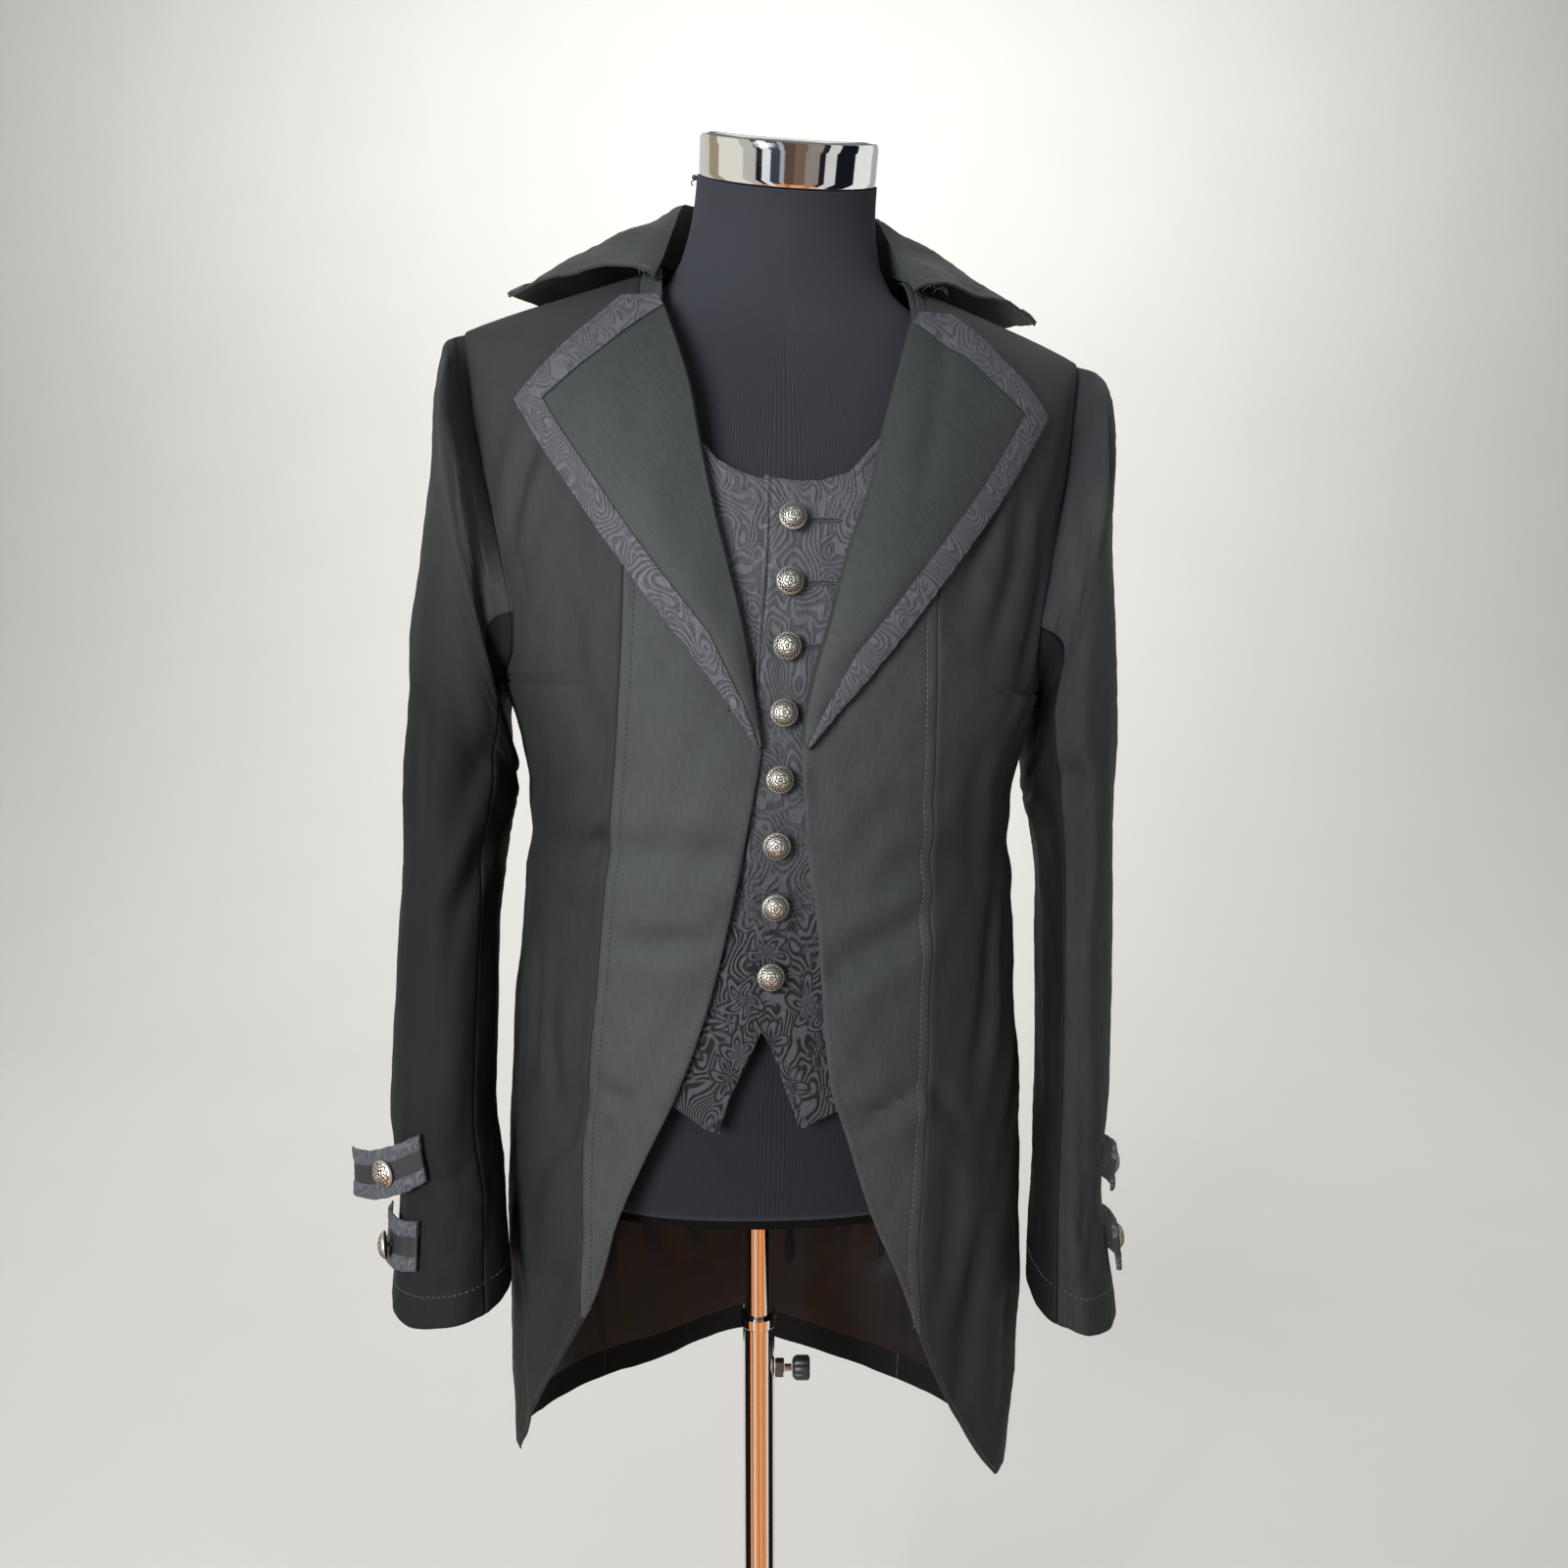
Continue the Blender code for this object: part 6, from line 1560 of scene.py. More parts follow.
def smooth_hole(side):
    """The armhole's line, closely spaced, with the angle of each point."""
    u = np.linspace(0, 1, 160) ** 1.6
    down = u[::-1]
    front = skin(side * ARM_FRONT(down), 1 + down)
    back = skin(side * ARM_BACK(u[1:]), 1 + u[1:])
    pts = np.concatenate([front, back])
    arc = np.concatenate([[0], np.cumsum(np.linalg.norm(np.diff(pts, axis=0), axis=1))])
    k = len(down) - 1
    alpha = np.concatenate([math.pi * arc[:k + 1] / arc[k],
                            math.pi * (1 + (arc[k + 1:] - arc[k]) / (arc[-1] - arc[k]))])
    return pts, alpha


def sleeve_grid(side, w, alpha, extra=0.0, thick=None):
    pts, al = smooth_hole(side)
    turn = np.mod(alpha, 2 * math.pi)
    hole = np.stack([np.interp(turn, al, pts[:, k]) for k in range(3)], -1)
    relief = sleeve_relief(side, w, alpha) + extra
    p = sleeve_point(side, w, alpha, hole, off=relief)
    if thick is None:
        return p
    inner = sleeve_point(side, w, alpha, hole, off=relief - thick)
    mid = pts.mean(0)
    d = mid - hole
    d[..., 0] = 0
    d /= np.linalg.norm(d, axis=-1, keepdims=True)
    k = np.clip(1 - w / FADE_END, 0, 1)[..., None]
    return p, inner * (1 - k) + (p + d * thick) * k


def build_sleeve_cloth():
    lines, lines_pale = [], []
    for side in (-1, 1):
        tag = NAMES[side]
        _, alpha_ring = armhole_ring(side)
        alpha_ring = alpha_ring[:-1]
        front = alpha_ring[int(np.argmin(np.abs(alpha_ring - FRONT_SEAM)))]
        back = alpha_ring[int(np.argmin(np.abs(alpha_ring - (2 * math.pi + BACK_SEAM_A))))]
        w = spaced(0.70, 0.0048)
        for stem, a0, a1, width in (("top_sleeve_", back - 2 * math.pi, front, 0.26), ("under_sleeve_", front, back, 0.17)):
            t = spaced(width, 0.0046)
            gap = 0.00030 / SLEEVE_R
            al = (a0 + gap) + (a1 - a0 - 2 * gap) * t
            A, W = np.meshgrid(al, w)
            side_d = np.minimum(t, 1 - t)[None, :] * width
            end_d = np.minimum(w, 1 - w)[:, None] * 0.70
            edge = np.minimum(side_d, end_d) + 0 * A
            dip = 0.0006 * np.clip(1 - edge / 0.0018, 0, 1) ** 2
            ridge = 0.0004 * np.exp(-((side_d + 0 * A - 0.0042) / 0.0028) ** 2)
            # the hem is turned up inside the cuff: a faint step above it
            hem = 0.00045 * smoothstep(((W - 0.9655) * SLEEVE_L) / 0.0020)
            outer, inner = sleeve_grid(side, W, A, extra=ridge - dip + hem, thick=CLOTH)
            uv = np.stack([A * SLEEVE_R, W * SLEEVE_L], -1)
            # the seam allowance at the armhole, turned in behind the body
            d = smooth_hole(side)[0].mean(0) - outer[0]
            d[:, 0] = 0
            d /= np.linalg.norm(d, axis=1, keepdims=True)
            tuck = outer[0] + d * 0.0024 + np.array([-side * 0.0055, 0, 0])
            outer = np.concatenate([tuck[None], outer])
            inner = np.concatenate([(tuck + d * 0.0008)[None], inner])
            uv = np.concatenate([uv[:1] - np.array([0, 0.0060]), uv])
            obj = shell(stem + tag + "_cloth", outer, inner, [TWILL_UNDER_PAINTED_SHADE if "under" in stem else TWILL_SLEEVE_PAINTED_SHADE[side], TWILL_IN], uv, inner_mat=1)
            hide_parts(stem + tag)
            cut(outer)
        ring = np.linspace(back - 2 * math.pi + 0.03, back - 0.03, 240)
        lines_pale.append(sleeve_grid(side, np.full(240, 0.9690), ring, extra=0.00045))
        ww = np.linspace(0.05, 0.995, 260)
        # the back seam's topstitch
        lines.append(sleeve_grid(side, ww, np.full(260, back - 2 * math.pi + 0.105), extra=0.0004))
    stitch_lines("cuff_hem_stitch", lines_pale, THREAD_PALE, 0.0040, 0.0026, 0.00024)
    stitch_lines("sleeve_seam_stitch", lines, THREAD)


# ------------------------------------------------------------------- lapels
def refine(grid, axis, counts):
    """Each gap between neighbours along an axis, cut into that many."""
    grid = np.moveaxis(grid, axis, 0)
    out = [grid[0]]
    for i, k in enumerate(counts):
        for j in range(1, k + 1):
            out.append(grid[i] * (1 - j / k) + grid[i + 1] * (j / k))
    return np.moveaxis(np.array(out), 0, axis)


def build_lapel_cloth():
    lines, dark = [], []
    for side in (-1, 1):
        tag = NAMES[side]
        rows = 190
        g = lapel_grid(side, 4, rows)
        g = refine(g, 0, [1] * (rows - 1) + [7])
        g = refine(g, 1, [8, 7, 7, 8, 7])
        m, n = g.shape[:2]
        # a soft roll: three more columns turn down over the roll line
        d = g[:, 1] - g[:, 0]
        d /= np.linalg.norm(d, axis=1, keepdims=True)
        roll = [g[:, 0] - d * x for x in (0.0016, 0.0013, 0.0008, 0.0002)]
        drop = (-0.0066, -0.0040, -0.0018, -0.0003)
        full = np.concatenate([np.stack(roll, 1), g], 1)
        t = np.linspace(0, 1, n)[None, :]
        up = np.linspace(0, 1, m)[:, None]
        lift = 0.0042 * np.sin(np.pi * np.clip(t * 0.9, 0, 1)) * np.clip(up * 3, 0, 1)
        x, z = g[..., 0], g[..., 1]
        soft = 0.0009 * ripple(x, z * 0.5, 41 + side, 0.050) * np.clip(up * 4, 0, 1) * np.sin(math.pi * t)
        if side > 0:
            # the left lapel bends along a soft line near its roll
            line = np.exp(-(((x - (0.108 - 0.20 * (1.415 - z))) / 0.0085) ** 2)) * smoothstep((z - 1.25) / 0.08)
            soft = soft - 0.0016 * line
        low_wave = 0.0008 * np.sin(z * 210 + side) * smoothstep((1.20 - z) / 0.05) * t
        off = 0.0040 + lift + soft + low_wave
        off_full = np.concatenate([off[:, :1] + np.array(drop)[None, :], off], 1)
        top = front_at(full[..., 0], full[..., 1], off_full)
        low = front_at(full[..., 0], full[..., 1], off_full - 0.0014)
        uv = np.stack([full[..., 0] * 0.82 + full[..., 1] * 0.57, full[..., 1] * 0.82 - full[..., 0] * 0.57], -1)
        obj = shell("lapel_%s_cloth" % tag, top, low, [TWILL_LAPEL, TWILL_IN], uv, inner_mat=1)
        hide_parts("lapel_" + tag)
        cut(top)
        # trim: a strip with small cross puckers, its edges rolled
        cells = np.zeros((m - 1, n - 1), bool)
        cells[-7:, :] = True
        cells[2:, -7:] = True
        q = np.arange(m)[:, None] / (m - 1) + 0 * x
        outer_len = np.concatenate([[0], np.cumsum(np.linalg.norm(np.diff(g[:, -1], axis=0), axis=1))])[:, None] + 0 * x
        top_len = np.concatenate([[0], np.cumsum(np.linalg.norm(np.diff(g[-1], axis=0), axis=1))])[None, :] + 0 * x
        across_out = np.clip((np.arange(n)[None, :] - (n - 8)) / 7.0, 0, 1) + 0 * x
        across_top = np.clip((np.arange(m)[:, None] - (m - 8)) / 7.0, 0, 1) + 0 * x
        on_top = across_top > 0
        run = np.where(on_top, top_len, outer_len)
        across = np.where(on_top, across_top, across_out)
        rng = np.random.default_rng(51 + side)
        pucker = 0 * x
        for c0 in np.cumsum(rng.uniform(0.005, 0.017, 34)):
            lean = rng.uniform(-0.004, 0.004)
            deep = rng.uniform(0.2, 1.0)
            pucker += -0.00055 * deep * np.exp(-((run - c0 - lean * (across - 0.5)) / 0.0011) ** 2)
            pucker += 0.00035 * deep * np.exp(-((run - c0 - 0.0022 - lean * (across - 0.5)) / 0.0014) ** 2)
        belly = 0.0006 * np.sin(math.pi * np.clip(across, 0.001, 0.999)) ** 0.6
        t_off = off + 0.0004 + 0.0007 + belly + pucker * np.sin(math.pi * np.clip(across, 0.04, 0.96)) ** 0.5
        # uneven edges
        wob = 0.00030 * ripple(run, 0 * run, 61 + side, 0.0042) + 0.00022 * ripple(run, 0 * run, 67 + side, 0.011)
        gx = g.copy()
        out_dir = (g[:, -1] - g[:, -8])
        out_dir /= np.linalg.norm(out_dir, axis=1, keepdims=True)
        gx[:, -1] += out_dir * wob[:, -1:]
        top_dir = g[-1] - g[-8]
        top_dir /= np.linalg.norm(top_dir, axis=1, keepdims=True)
        gx[-1] += top_dir * wob[-1][:, None]
        t_top = front_at(gx[..., 0], gx[..., 1], t_off)
        t_low = front_at(gx[..., 0], gx[..., 1], off + 0.0003)
        uv2 = np.stack([gx[..., 0] + 0.3 * gx[..., 1], gx[..., 1]], -1)
        obj = shell("lapel_trim_%s_cloth" % tag, t_top, t_low, [JACQ_TRIM], uv2, cells=cells, slot="jacquard")
        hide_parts("lapel_trim_" + tag)
        strip = t_top[4:, -8:]
        # stitching: sunk line between field and trim, and close to the outer edge
        for j, edge_pts in ((n - 8, 0.0012), (n - 2, 0.0016)):
            dark.append(front_at(gx[4:-7, j, 0], gx[4:-7, j, 1], off[4:-7, j] + edge_pts))
        for i, edge_pts in ((m - 8, 0.0012), (m - 2, 0.0016)):
            dark.append(front_at(gx[i, 3:-7, 0], gx[i, 3:-7, 1], off[i, 3:-7] + edge_pts))
    stitch_lines("lapel_stitch", dark, THREAD, 0.0026, 0.0018, 0.00024)
    rng = np.random.default_rng(5)
    for side in (-1, 1):
        nx, nz = NOTCH[side]
        for k in range(7):
            t = np.linspace(0, 1, 14)
            a0 = rng.uniform(0, 6.28)
            bend = rng.uniform(-1, 1)
            reach = rng.uniform(0.006, 0.014)
            x = nx - side * 0.004 + rng.uniform(-0.004, 0.004) + reach * t * np.cos(a0) + bend * 0.004 * t ** 2 * np.sin(a0)
            z = nz + 0.002 + rng.uniform(-0.003, 0.002) + 0.5 * reach * t * np.sin(a0) - bend * 0.004 * t ** 2 * np.cos(a0)
            off = 0.0125 + rng.uniform(0, 0.0015) + 0.002 * np.sin(math.pi * t)
            sweep("loose_thread_%s_%d" % (NAMES[side], k + 1), front_at(x, z, off), 0.00016, THREAD, 5, "twill")


def build_collar_cloth():
    g = collar_grid(149, 26)
    n = grid_normals(g)
    centre = np.array([0.0, 0.01, 1.46])
    mid = g.shape[0] // 2
    if np.sum(n[mid, -2] * (g[mid, -2] - centre)) < 0:
        n = -n
    m, k = g.shape[:2]
    arc = np.concatenate([np.zeros((m, 1)), np.cumsum(np.linalg.norm(np.diff(g, axis=1), axis=-1), 1)], 1)
    along = np.concatenate([np.zeros((1, k)), np.cumsum(np.linalg.norm(np.diff(g, axis=0), axis=-1), 0)], 0)
    to_edge = arc[:, -1:] - arc
    wave = 0.0016 * ripple(along, arc, 71, 0.060) + 0.0005 * ripple(along, arc, 73, 0.018)
    wave = wave * smoothstep(arc / 0.05)
    # the front corners curl a little
    t = np.abs(np.linspace(-1, 1, m))[:, None] + 0 * arc
    curl = smoothstep((t - 0.80) / 0.20) * smoothstep((arc - 0.03) / 0.06)
    wave = wave + 0.0022 * curl * np.sin(arc * 75.0)
    g2 = g + n * wave[..., None]
    dip = 0.0005 * np.clip(1 - to_edge / 0.0015, 0, 1) ** 2
    uv = np.stack([along - along[mid:mid + 1], arc], -1)
    obj = shell("collar_cloth", g2 - n * dip[..., None], g2 - n * 0.0017, [TWILL_LAPEL, TWILL_IN], uv, inner_mat=0)
    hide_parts("collar")
    cut(g2)
    # trim on the free edge and the two ends of the leaf, on its outer face
    width = 0.0158
    shares = np.linspace(0, 1, 8)
    e_rows, e_nrm, run = [], [], []
    for i in range(m):
        s = arc[i, -1] - width * (1 - shares)
        e_rows.append(np.stack([np.interp(s, arc[i], g2[i, :, c]) for c in range(3)], -1))
        e_nrm.append(np.stack([np.interp(s, arc[i], n[i, :, c]) for c in range(3)], -1))
    e, en = np.array(e_rows), np.array(e_nrm)
    run = np.concatenate([[0], np.cumsum(np.linalg.norm(np.diff(e[:, 4], axis=0), axis=1))])[:, None] + 0 * e[..., 0]
    rng = np.random.default_rng(77)
    puck = 0 * run
    for c0 in np.cumsum(rng.uniform(0.005, 0.016, 60)):
        puck += -0.0005 * rng.uniform(0.2, 1) * np.exp(-((run - c0) / 0.0011) ** 2)
    belly = 0.0005 * np.sin(math.pi * shares)[None, :] ** 0.6
    top = e + en * (0.0011 + belly + puck * np.sin(math.pi * shares)[None, :])[..., None]
    low = e + en * 0.00025
    obj = shell("collar_trim_cloth", top, low, [JACQ_TRIM], np.stack([run, shares[None, :] * width + 0 * run], -1), slot="jacquard")
    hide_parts("collar_trim")
    cut(e)
    under = g2[:, :, :] - n * 0.0017
    s_edge = []
    for i in range(m):
        s = arc[i, -1] - 0.0022
        s_edge.append([np.interp(s, arc[i], (g2 + n * 0.0014)[i, :, c]) for c in range(3)])
    stitch_lines("collar_stitch", [np.array(s_edge)], THREAD, 0.0028, 0.0020, 0.00020)


# ---------------------------------------------------------------- waistcoat
def build_vest_cloth():
    stitches = []
    for side in (-1, 1):
        tag = NAMES[side]
        g = vest_grid(side, 150)
        counts = [6, 3, 4, 4, 5, 8, 18] if side > 0 else [5, 4, 4, 4, 5, 8, 14]
        g = refine(g, 1, counts)
        x, z = g[..., 0], g[..., 1]
        if side > 0:
            lap = np.clip(1 - (x + 0.02) / 0.05, 0, 1)
            off = VEST_OFF + 0.0027 * lap
        else:
            off = VEST_OFF - 0.0006 * np.clip(1 + x / 0.03, 0, 1)
        dx = np.linalg.norm(np.diff(g, axis=1), axis=-1)
        u = np.concatenate([np.zeros((g.shape[0], 1)), np.cumsum(dx, 1)], 1)
        dz = np.linalg.norm(np.diff(g, axis=0), axis=-1)
        w = np.concatenate([np.zeros((1, g.shape[1])), np.cumsum(dz, 0)], 0)
        top_d = w[-1:] - w
        # the cloth is drawn up round each button and rolls at its edges
        pull = 0 * x
        for bz, bx in zip(VEST_BUTTONS["z"], VEST_BUTTONS["x"]):
            r2 = ((x - bx) ** 2 + (z - bz) ** 2)
            pull += -0.0009 * np.exp(-r2 / 0.011 ** 2)
            pull += 0.0004 * np.exp(-((z - bz) / 0.0035) ** 2) * np.exp(-((x - bx - 0.022) / 0.014) ** 2)
        soft = 0.0007 * ripple(x, z * 0.5, 81 + side, 0.045) + 0.0003 * ripple(x, z, 83 + side, 0.014)
        band = 0.0007 * np.exp(-((top_d - 0.0045) / 0.0032) ** 2) - 0.0009 * np.exp(-((top_d - 0.0092) / 0.0011) ** 2)
        if side > 0:
            band = band - 0.0010 * np.exp(-((u - 0.0046) / 0.0010) ** 2) + 0.0006 * np.exp(-((u - 0.0022) / 0.0016) ** 2)
        edge = np.minimum(np.minimum(u if side > 0 else u + 9, top_d), w)
        dip = 0.0006 * np.clip(1 - edge / 0.0014, 0, 1) ** 2
        # a slightly ravelled foot
        fray = 0.0005 * ripple(x, 0 * x, 87 + side, 0.004) * np.clip(1 - w / 0.004, 0, 1)
        off = off + pull + soft + band - dip
        outer = front_at(x, z + fray, off)
        inner = front_at(x, z + fray, off - VEST_THICK)
        obj = shell("vest_front_%s_cloth" % tag, outer, inner, [JACQ], np.stack([x, z], -1), slot="jacquard")
        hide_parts("vest_front_" + tag)
        cut(outer)
        if side > 0:
            j = int(np.argmin(np.abs(u[40] - 0.0046)))
            stitches.append(outer[2:-2, j])
        i = int(np.argmin(np.abs(top_d[:, 12] - 0.0098)))
        stitches.append(outer[i, :-6])
    stitch_lines("vest_stitch", stitches, THREAD, 0.0030, 0.0022, 0.00022, slot="jacquard")
    # buttonholes: a dark slit in a bound ring, to the right of each button
    for i, (bz, bx) in enumerate(zip(VEST_BUTTONS["z"], VEST_BUTTONS["x"])):
        t = np.linspace(0, 2 * math.pi, 41)
        half = (0.0120, 0.0118, 0.0112, 0.0078, 0.0055, 0.0045, 0.0045, 0.0060)[i]
        cx, cz = bx + 0.0085 + half, bz + 0.0004
        ring_pts = []
        for rr, hh in ((0.02, 0.0006), (0.40, 0.0007), (0.62, 0.0013), (0.90, 0.0017), (1.22, 0.0010), (1.45, -0.0008)):
            x = cx + (half - 0.0012 + 0.0012 * rr) * np.cos(t)
            z = cz + (0.0016 * rr) * np.sin(t) * (1 + 0.22 * np.sin(13 * t + i)) + 0.05 * (x - cx)
            lap = np.clip(1 - (x + 0.02) / 0.05, 0, 1)
            ring_pts.append(front_at(x, z, VEST_OFF + 0.0027 * lap + 0.0003 + hh * 0.8))
        rp = np.array(ring_pts)
        low = rp - np.array([0, -0.0009, 0])
        obj = shell("vest_buttonhole_%d" % (i + 1), rp, low, [THREAD], np.zeros(rp.shape[:2] + (2,)), slot="jacquard")


# ------------------------------------------------------------------ buttons
def engraved(*lines):
    """1 on the plain metal, falling to about -1 along each engraved line."""
    out = 1.0
    for d, w in lines:
        out = out - 1.9 * np.exp(-(d / w) ** 2)
    return np.maximum(out, -1.0)


def relief_vest(r, a):
    """A generic rosette: five petals round an eye, with waves woven round it."""
    return engraved((r - 0.27 - 0.16 * np.abs(np.cos(2.5 * a)), 0.055), (r - 0.11, 0.045),
                    (r - 0.575, 0.038), (r - 0.765 - 0.085 * np.sin(8 * a), 0.046),
                    (r - 0.765 + 0.085 * np.sin(8 * a), 0.046))


def relief_cuff(r, a):
    """A generic six-lobed ring with curls between the lobes."""
    return engraved((r - 0.47 - 0.045 * np.cos(6 * a), 0.050), (r - 0.17 - 0.05 * np.cos(3 * a), 0.050),
                    (r - 0.33 - 0.05 * np.sin(5 * a), 0.036), (r - 0.71 - 0.13 * np.cos(6 * a), 0.050),
                    (r - 0.71 + 0.13 * np.cos(6 * a), 0.036))


def button(name, node_name, centre, axis, radius, relief, mat, spin=0.0, shank=0.0045):
    axis = np.asarray(axis, float) / np.linalg.norm(axis)
    ref = np.array([0.0, 0.0, 1.0])
    e1 = np.cross(ref, axis)
    e1 /= np.linalg.norm(e1)
    e2 = np.cross(axis, e1)
    dome = Curve([0, 0.35, 0.62, 0.82, 0.95, 1.0], [5.6, 5.25, 4.3, 2.9, 1.7, 0.9])
    rings, sides = 40, 108
    share = np.linspace(0.02, 1.0, rings)
    ang = 2 * math.pi * np.arange(sides) / sides
    R, A = np.meshgrid(share, ang, indexing="ij")
    rel = relief(R, A + spin)
    h = dome(R) / 1000 + 0.00013 * rel * np.clip((1.0 - R) / 0.05, 0, 1)
    verts = [centre + axis * (dome(0.0) / 1000 + 0.00013 * float(relief(np.array(0.0), np.array(spin))))]
    hollow = [0.0]
    grid = centre + axis * h[..., None] + (e1 * np.cos(A)[..., None] + e2 * np.sin(A)[..., None]) * (R * radius)[..., None]
    verts += list(grid.reshape(-1, 3))
    hollow += list(np.clip(0.46 - rel.reshape(-1) * 0.55, 0, 1))
    back = [(0.985, 0.35), (0.93, 0.1), (0.55, 0.35), (0.20, 0.30), (0.17, -shank * 1000), (0.05, -shank * 1000)]
    for s, hh in back:
        verts += list(centre + axis * (hh / 1000) + (e1 * np.cos(ang)[:, None] + e2 * np.sin(ang)[:, None]) * radius * s)
        hollow += [0.55] * sides
    verts.append(centre - axis * shank)
    hollow.append(0.6)
    faces = []
    total = rings + len(back)
    for q in range(sides):
        faces.append((0, 1 + q, 1 + (q + 1) % sides))
    for i in range(total - 1):
        for q in range(sides):
            r = (q + 1) % sides
            faces.append((1 + i * sides + q, 1 + (i + 1) * sides + q, 1 + (i + 1) * sides + r, 1 + i * sides + r))
    last = 1 + (total - 1) * sides
    for q in range(sides):
        faces.append((last + q, len(verts) - 1, last + (q + 1) % sides))
    obj = make_mesh(name, np.array(verts), faces, None, [mat], sharp=50, slot="buttons")
    layer = obj.data.attributes.new("hollow", "FLOAT", "POINT")
    layer.data.foreach_set("value", np.array(hollow, float))
    if node_name:
        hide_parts(node_name)
    return obj


def build_vest_button_set():
    for i, (x, z) in enumerate(zip(VEST_BUTTONS["x"], VEST_BUTTONS["z"])):
        p = front_at(np.array([x]), np.array([z]), np.array([0.0012]))[0]
        q = front_at(np.array([x]), np.array([z]), np.array([0.0112]))[0]
        tilt = np.array([0.06 * math.sin(i * 2.1), 0.0, 0.05 * math.cos(i * 1.7)])
        d = (q - p) / np.linalg.norm(q - p) + tilt
        button("vest_button_%d_metal" % (i + 1), "vest_button_%d" % (i + 1), p, d, BUTTON_R, relief_vest, SILVER_MAT, 0.4 * i)


# ---------------------------------------------------------------- cuff tabs
def tab_points(side, i, t, s, lift=0.0):
    """Points of a cuff tab: t 0 at its sewn end, s from -0.5 below to 0.5."""
    tab = {k: v[i] for k, v in TABS[side].items()}
    alpha = np.radians(tab["start"] + (tab["end"] - tab["start"]) * t)
    off = tab["off_0"] + (tab["off_1"] - tab["off_0"]) * np.clip(t, 0, 1) ** 1.3
    zz = tab["z"] + s * TAB_H + tab["slope"] * t
    k = np.linspace(0, 1, 4001)
    zo = Curve(np.linspace(0, 1, len(SLEEVE[side]["z_out"])), SLEEVE[side]["z_out"])(k)
    w = np.interp(-zz, -zo, k)
    return sleeve_point(side, w, alpha, np.zeros(t.shape + (3,)), off=off + lift, hole_off=0.0)


def build_tab_cloth():
    stitches = []
    for side in (-1, 1):
        for i in range(2):
            name = "cuff_tab_%s_%d" % (NAMES[side], i + 1)
            t1, s1 = np.linspace(0, 1, 62), spaced(TAB_H, 0.0012, (0.0005, 0.0011, 0.0018)) - 0.5
            T, S = np.meshgrid(t1, s1)
            band = np.abs(S) > 0.19
            end = T < 0.155
            rng = np.random.default_rng(91 + 2 * side + i)
            length = 0.062
            puck = 0 * T
            for sgn in (-1, 1):
                for c0 in np.cumsum(rng.uniform(0.0026, 0.0075, 16)):
                    lean = rng.uniform(-0.004, 0.004)
                    d = (T * length - c0 - lean * (np.abs(S) - 0.19) * 3)
                    puck += np.where(S * sgn > 0.19, -0.0010 * rng.uniform(0.35, 1) * np.exp(-(d / 0.0010) ** 2), 0)
            fade = smoothstep((0.5 - np.abs(S)) / 0.06) * smoothstep((np.abs(S) - 0.19) / 0.04)
            lift = np.where(band, 0.0007 * fade ** 0.5 + puck * fade ** 0.4, 0.0)
            lift = lift - 0.0005 * np.exp(-((np.abs(S) - 0.19) / 0.012) ** 2)
            lift = lift + np.where(end, 0.0008, 0.0) - 0.0006 * np.exp(-((T - 0.158) / 0.008) ** 2)
            lift = lift + 0.0012 * ripple(T * 0.06, S * 0.034, 97 + 2 * side + i, 0.030)
            wobble_s = S + 0.012 * ripple(T * 0.06, 0 * T, 101 + i + side, 0.010) * smoothstep((np.abs(S) - 0.40) / 0.10)
            edge = np.minimum(np.minimum(T, 1 - T) * length, (0.5 - np.abs(S)) * TAB_H)
            lift = lift - 0.0005 * np.clip(1 - edge / 0.0010, 0, 1) ** 2
            lift = np.maximum(lift, -0.0004)
            outer = tab_points(side, i, T, wobble_s, lift + 0.0)
            inner = tab_points(side, i, T, wobble_s, np.minimum(lift, 0.0) * 0 - 0.0018)
            cm = ((np.abs((S[:-1, :-1] + S[1:, :-1]) / 2) > 0.19)).astype(int)
            uv = np.stack([T * length, S * TAB_H], -1)
            obj = shell(name + "_cloth", outer, inner, [TWILL_TAB, JACQ_TRIM], uv, cell_mat=cm)
            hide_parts(name)
            cut(outer)
            for tt in (0.145, 0.185):
                s = np.linspace(-0.46, 0.46, 30)
                stitches.append(tab_points(side, i, np.full(30, tt), s, 0.0012))
            for ss in (-0.20, 0.20):
                t = np.linspace(0.17, 0.97, 60)
                stitches.append(tab_points(side, i, t, np.full(60, ss), 0.0004))
            g = tab_points(side, i, *np.meshgrid(np.array([0.48, 0.5, 0.52]), np.array([-0.02, 0.0, 0.02])))
            nr = np.cross(g[1, 2] - g[1, 0], g[2, 1] - g[0, 1])
            nr /= np.linalg.norm(nr)
            mid = g[1, 1]
            if np.sum(nr * (mid - np.array([side * 0.225, -0.05, mid[2]]))) < 0:
                nr = -nr
            shank = 0.0010
            centre = mid + nr * 0.0006
            if side < 0 and i == 1:
                nr = nr + np.array([-1.15, 0.10, -0.30])
                nr /= np.linalg.norm(nr)
                shank = 0.0042
                centre = mid + nr * 0.0044 + np.array([0, 0, -0.0010])
            button("cuff_button_%s_%d_metal" % (NAMES[side], i + 1), "cuff_button_%s_%d" % (NAMES[side], i + 1),
                   centre, nr, 0.0098, relief_cuff, SILVER_CUFF, 0.5 * i + side, shank=shank)
    stitch_lines("tab_stitch", stitches, THREAD_PALE, 0.0024, 0.0017, 0.00019)


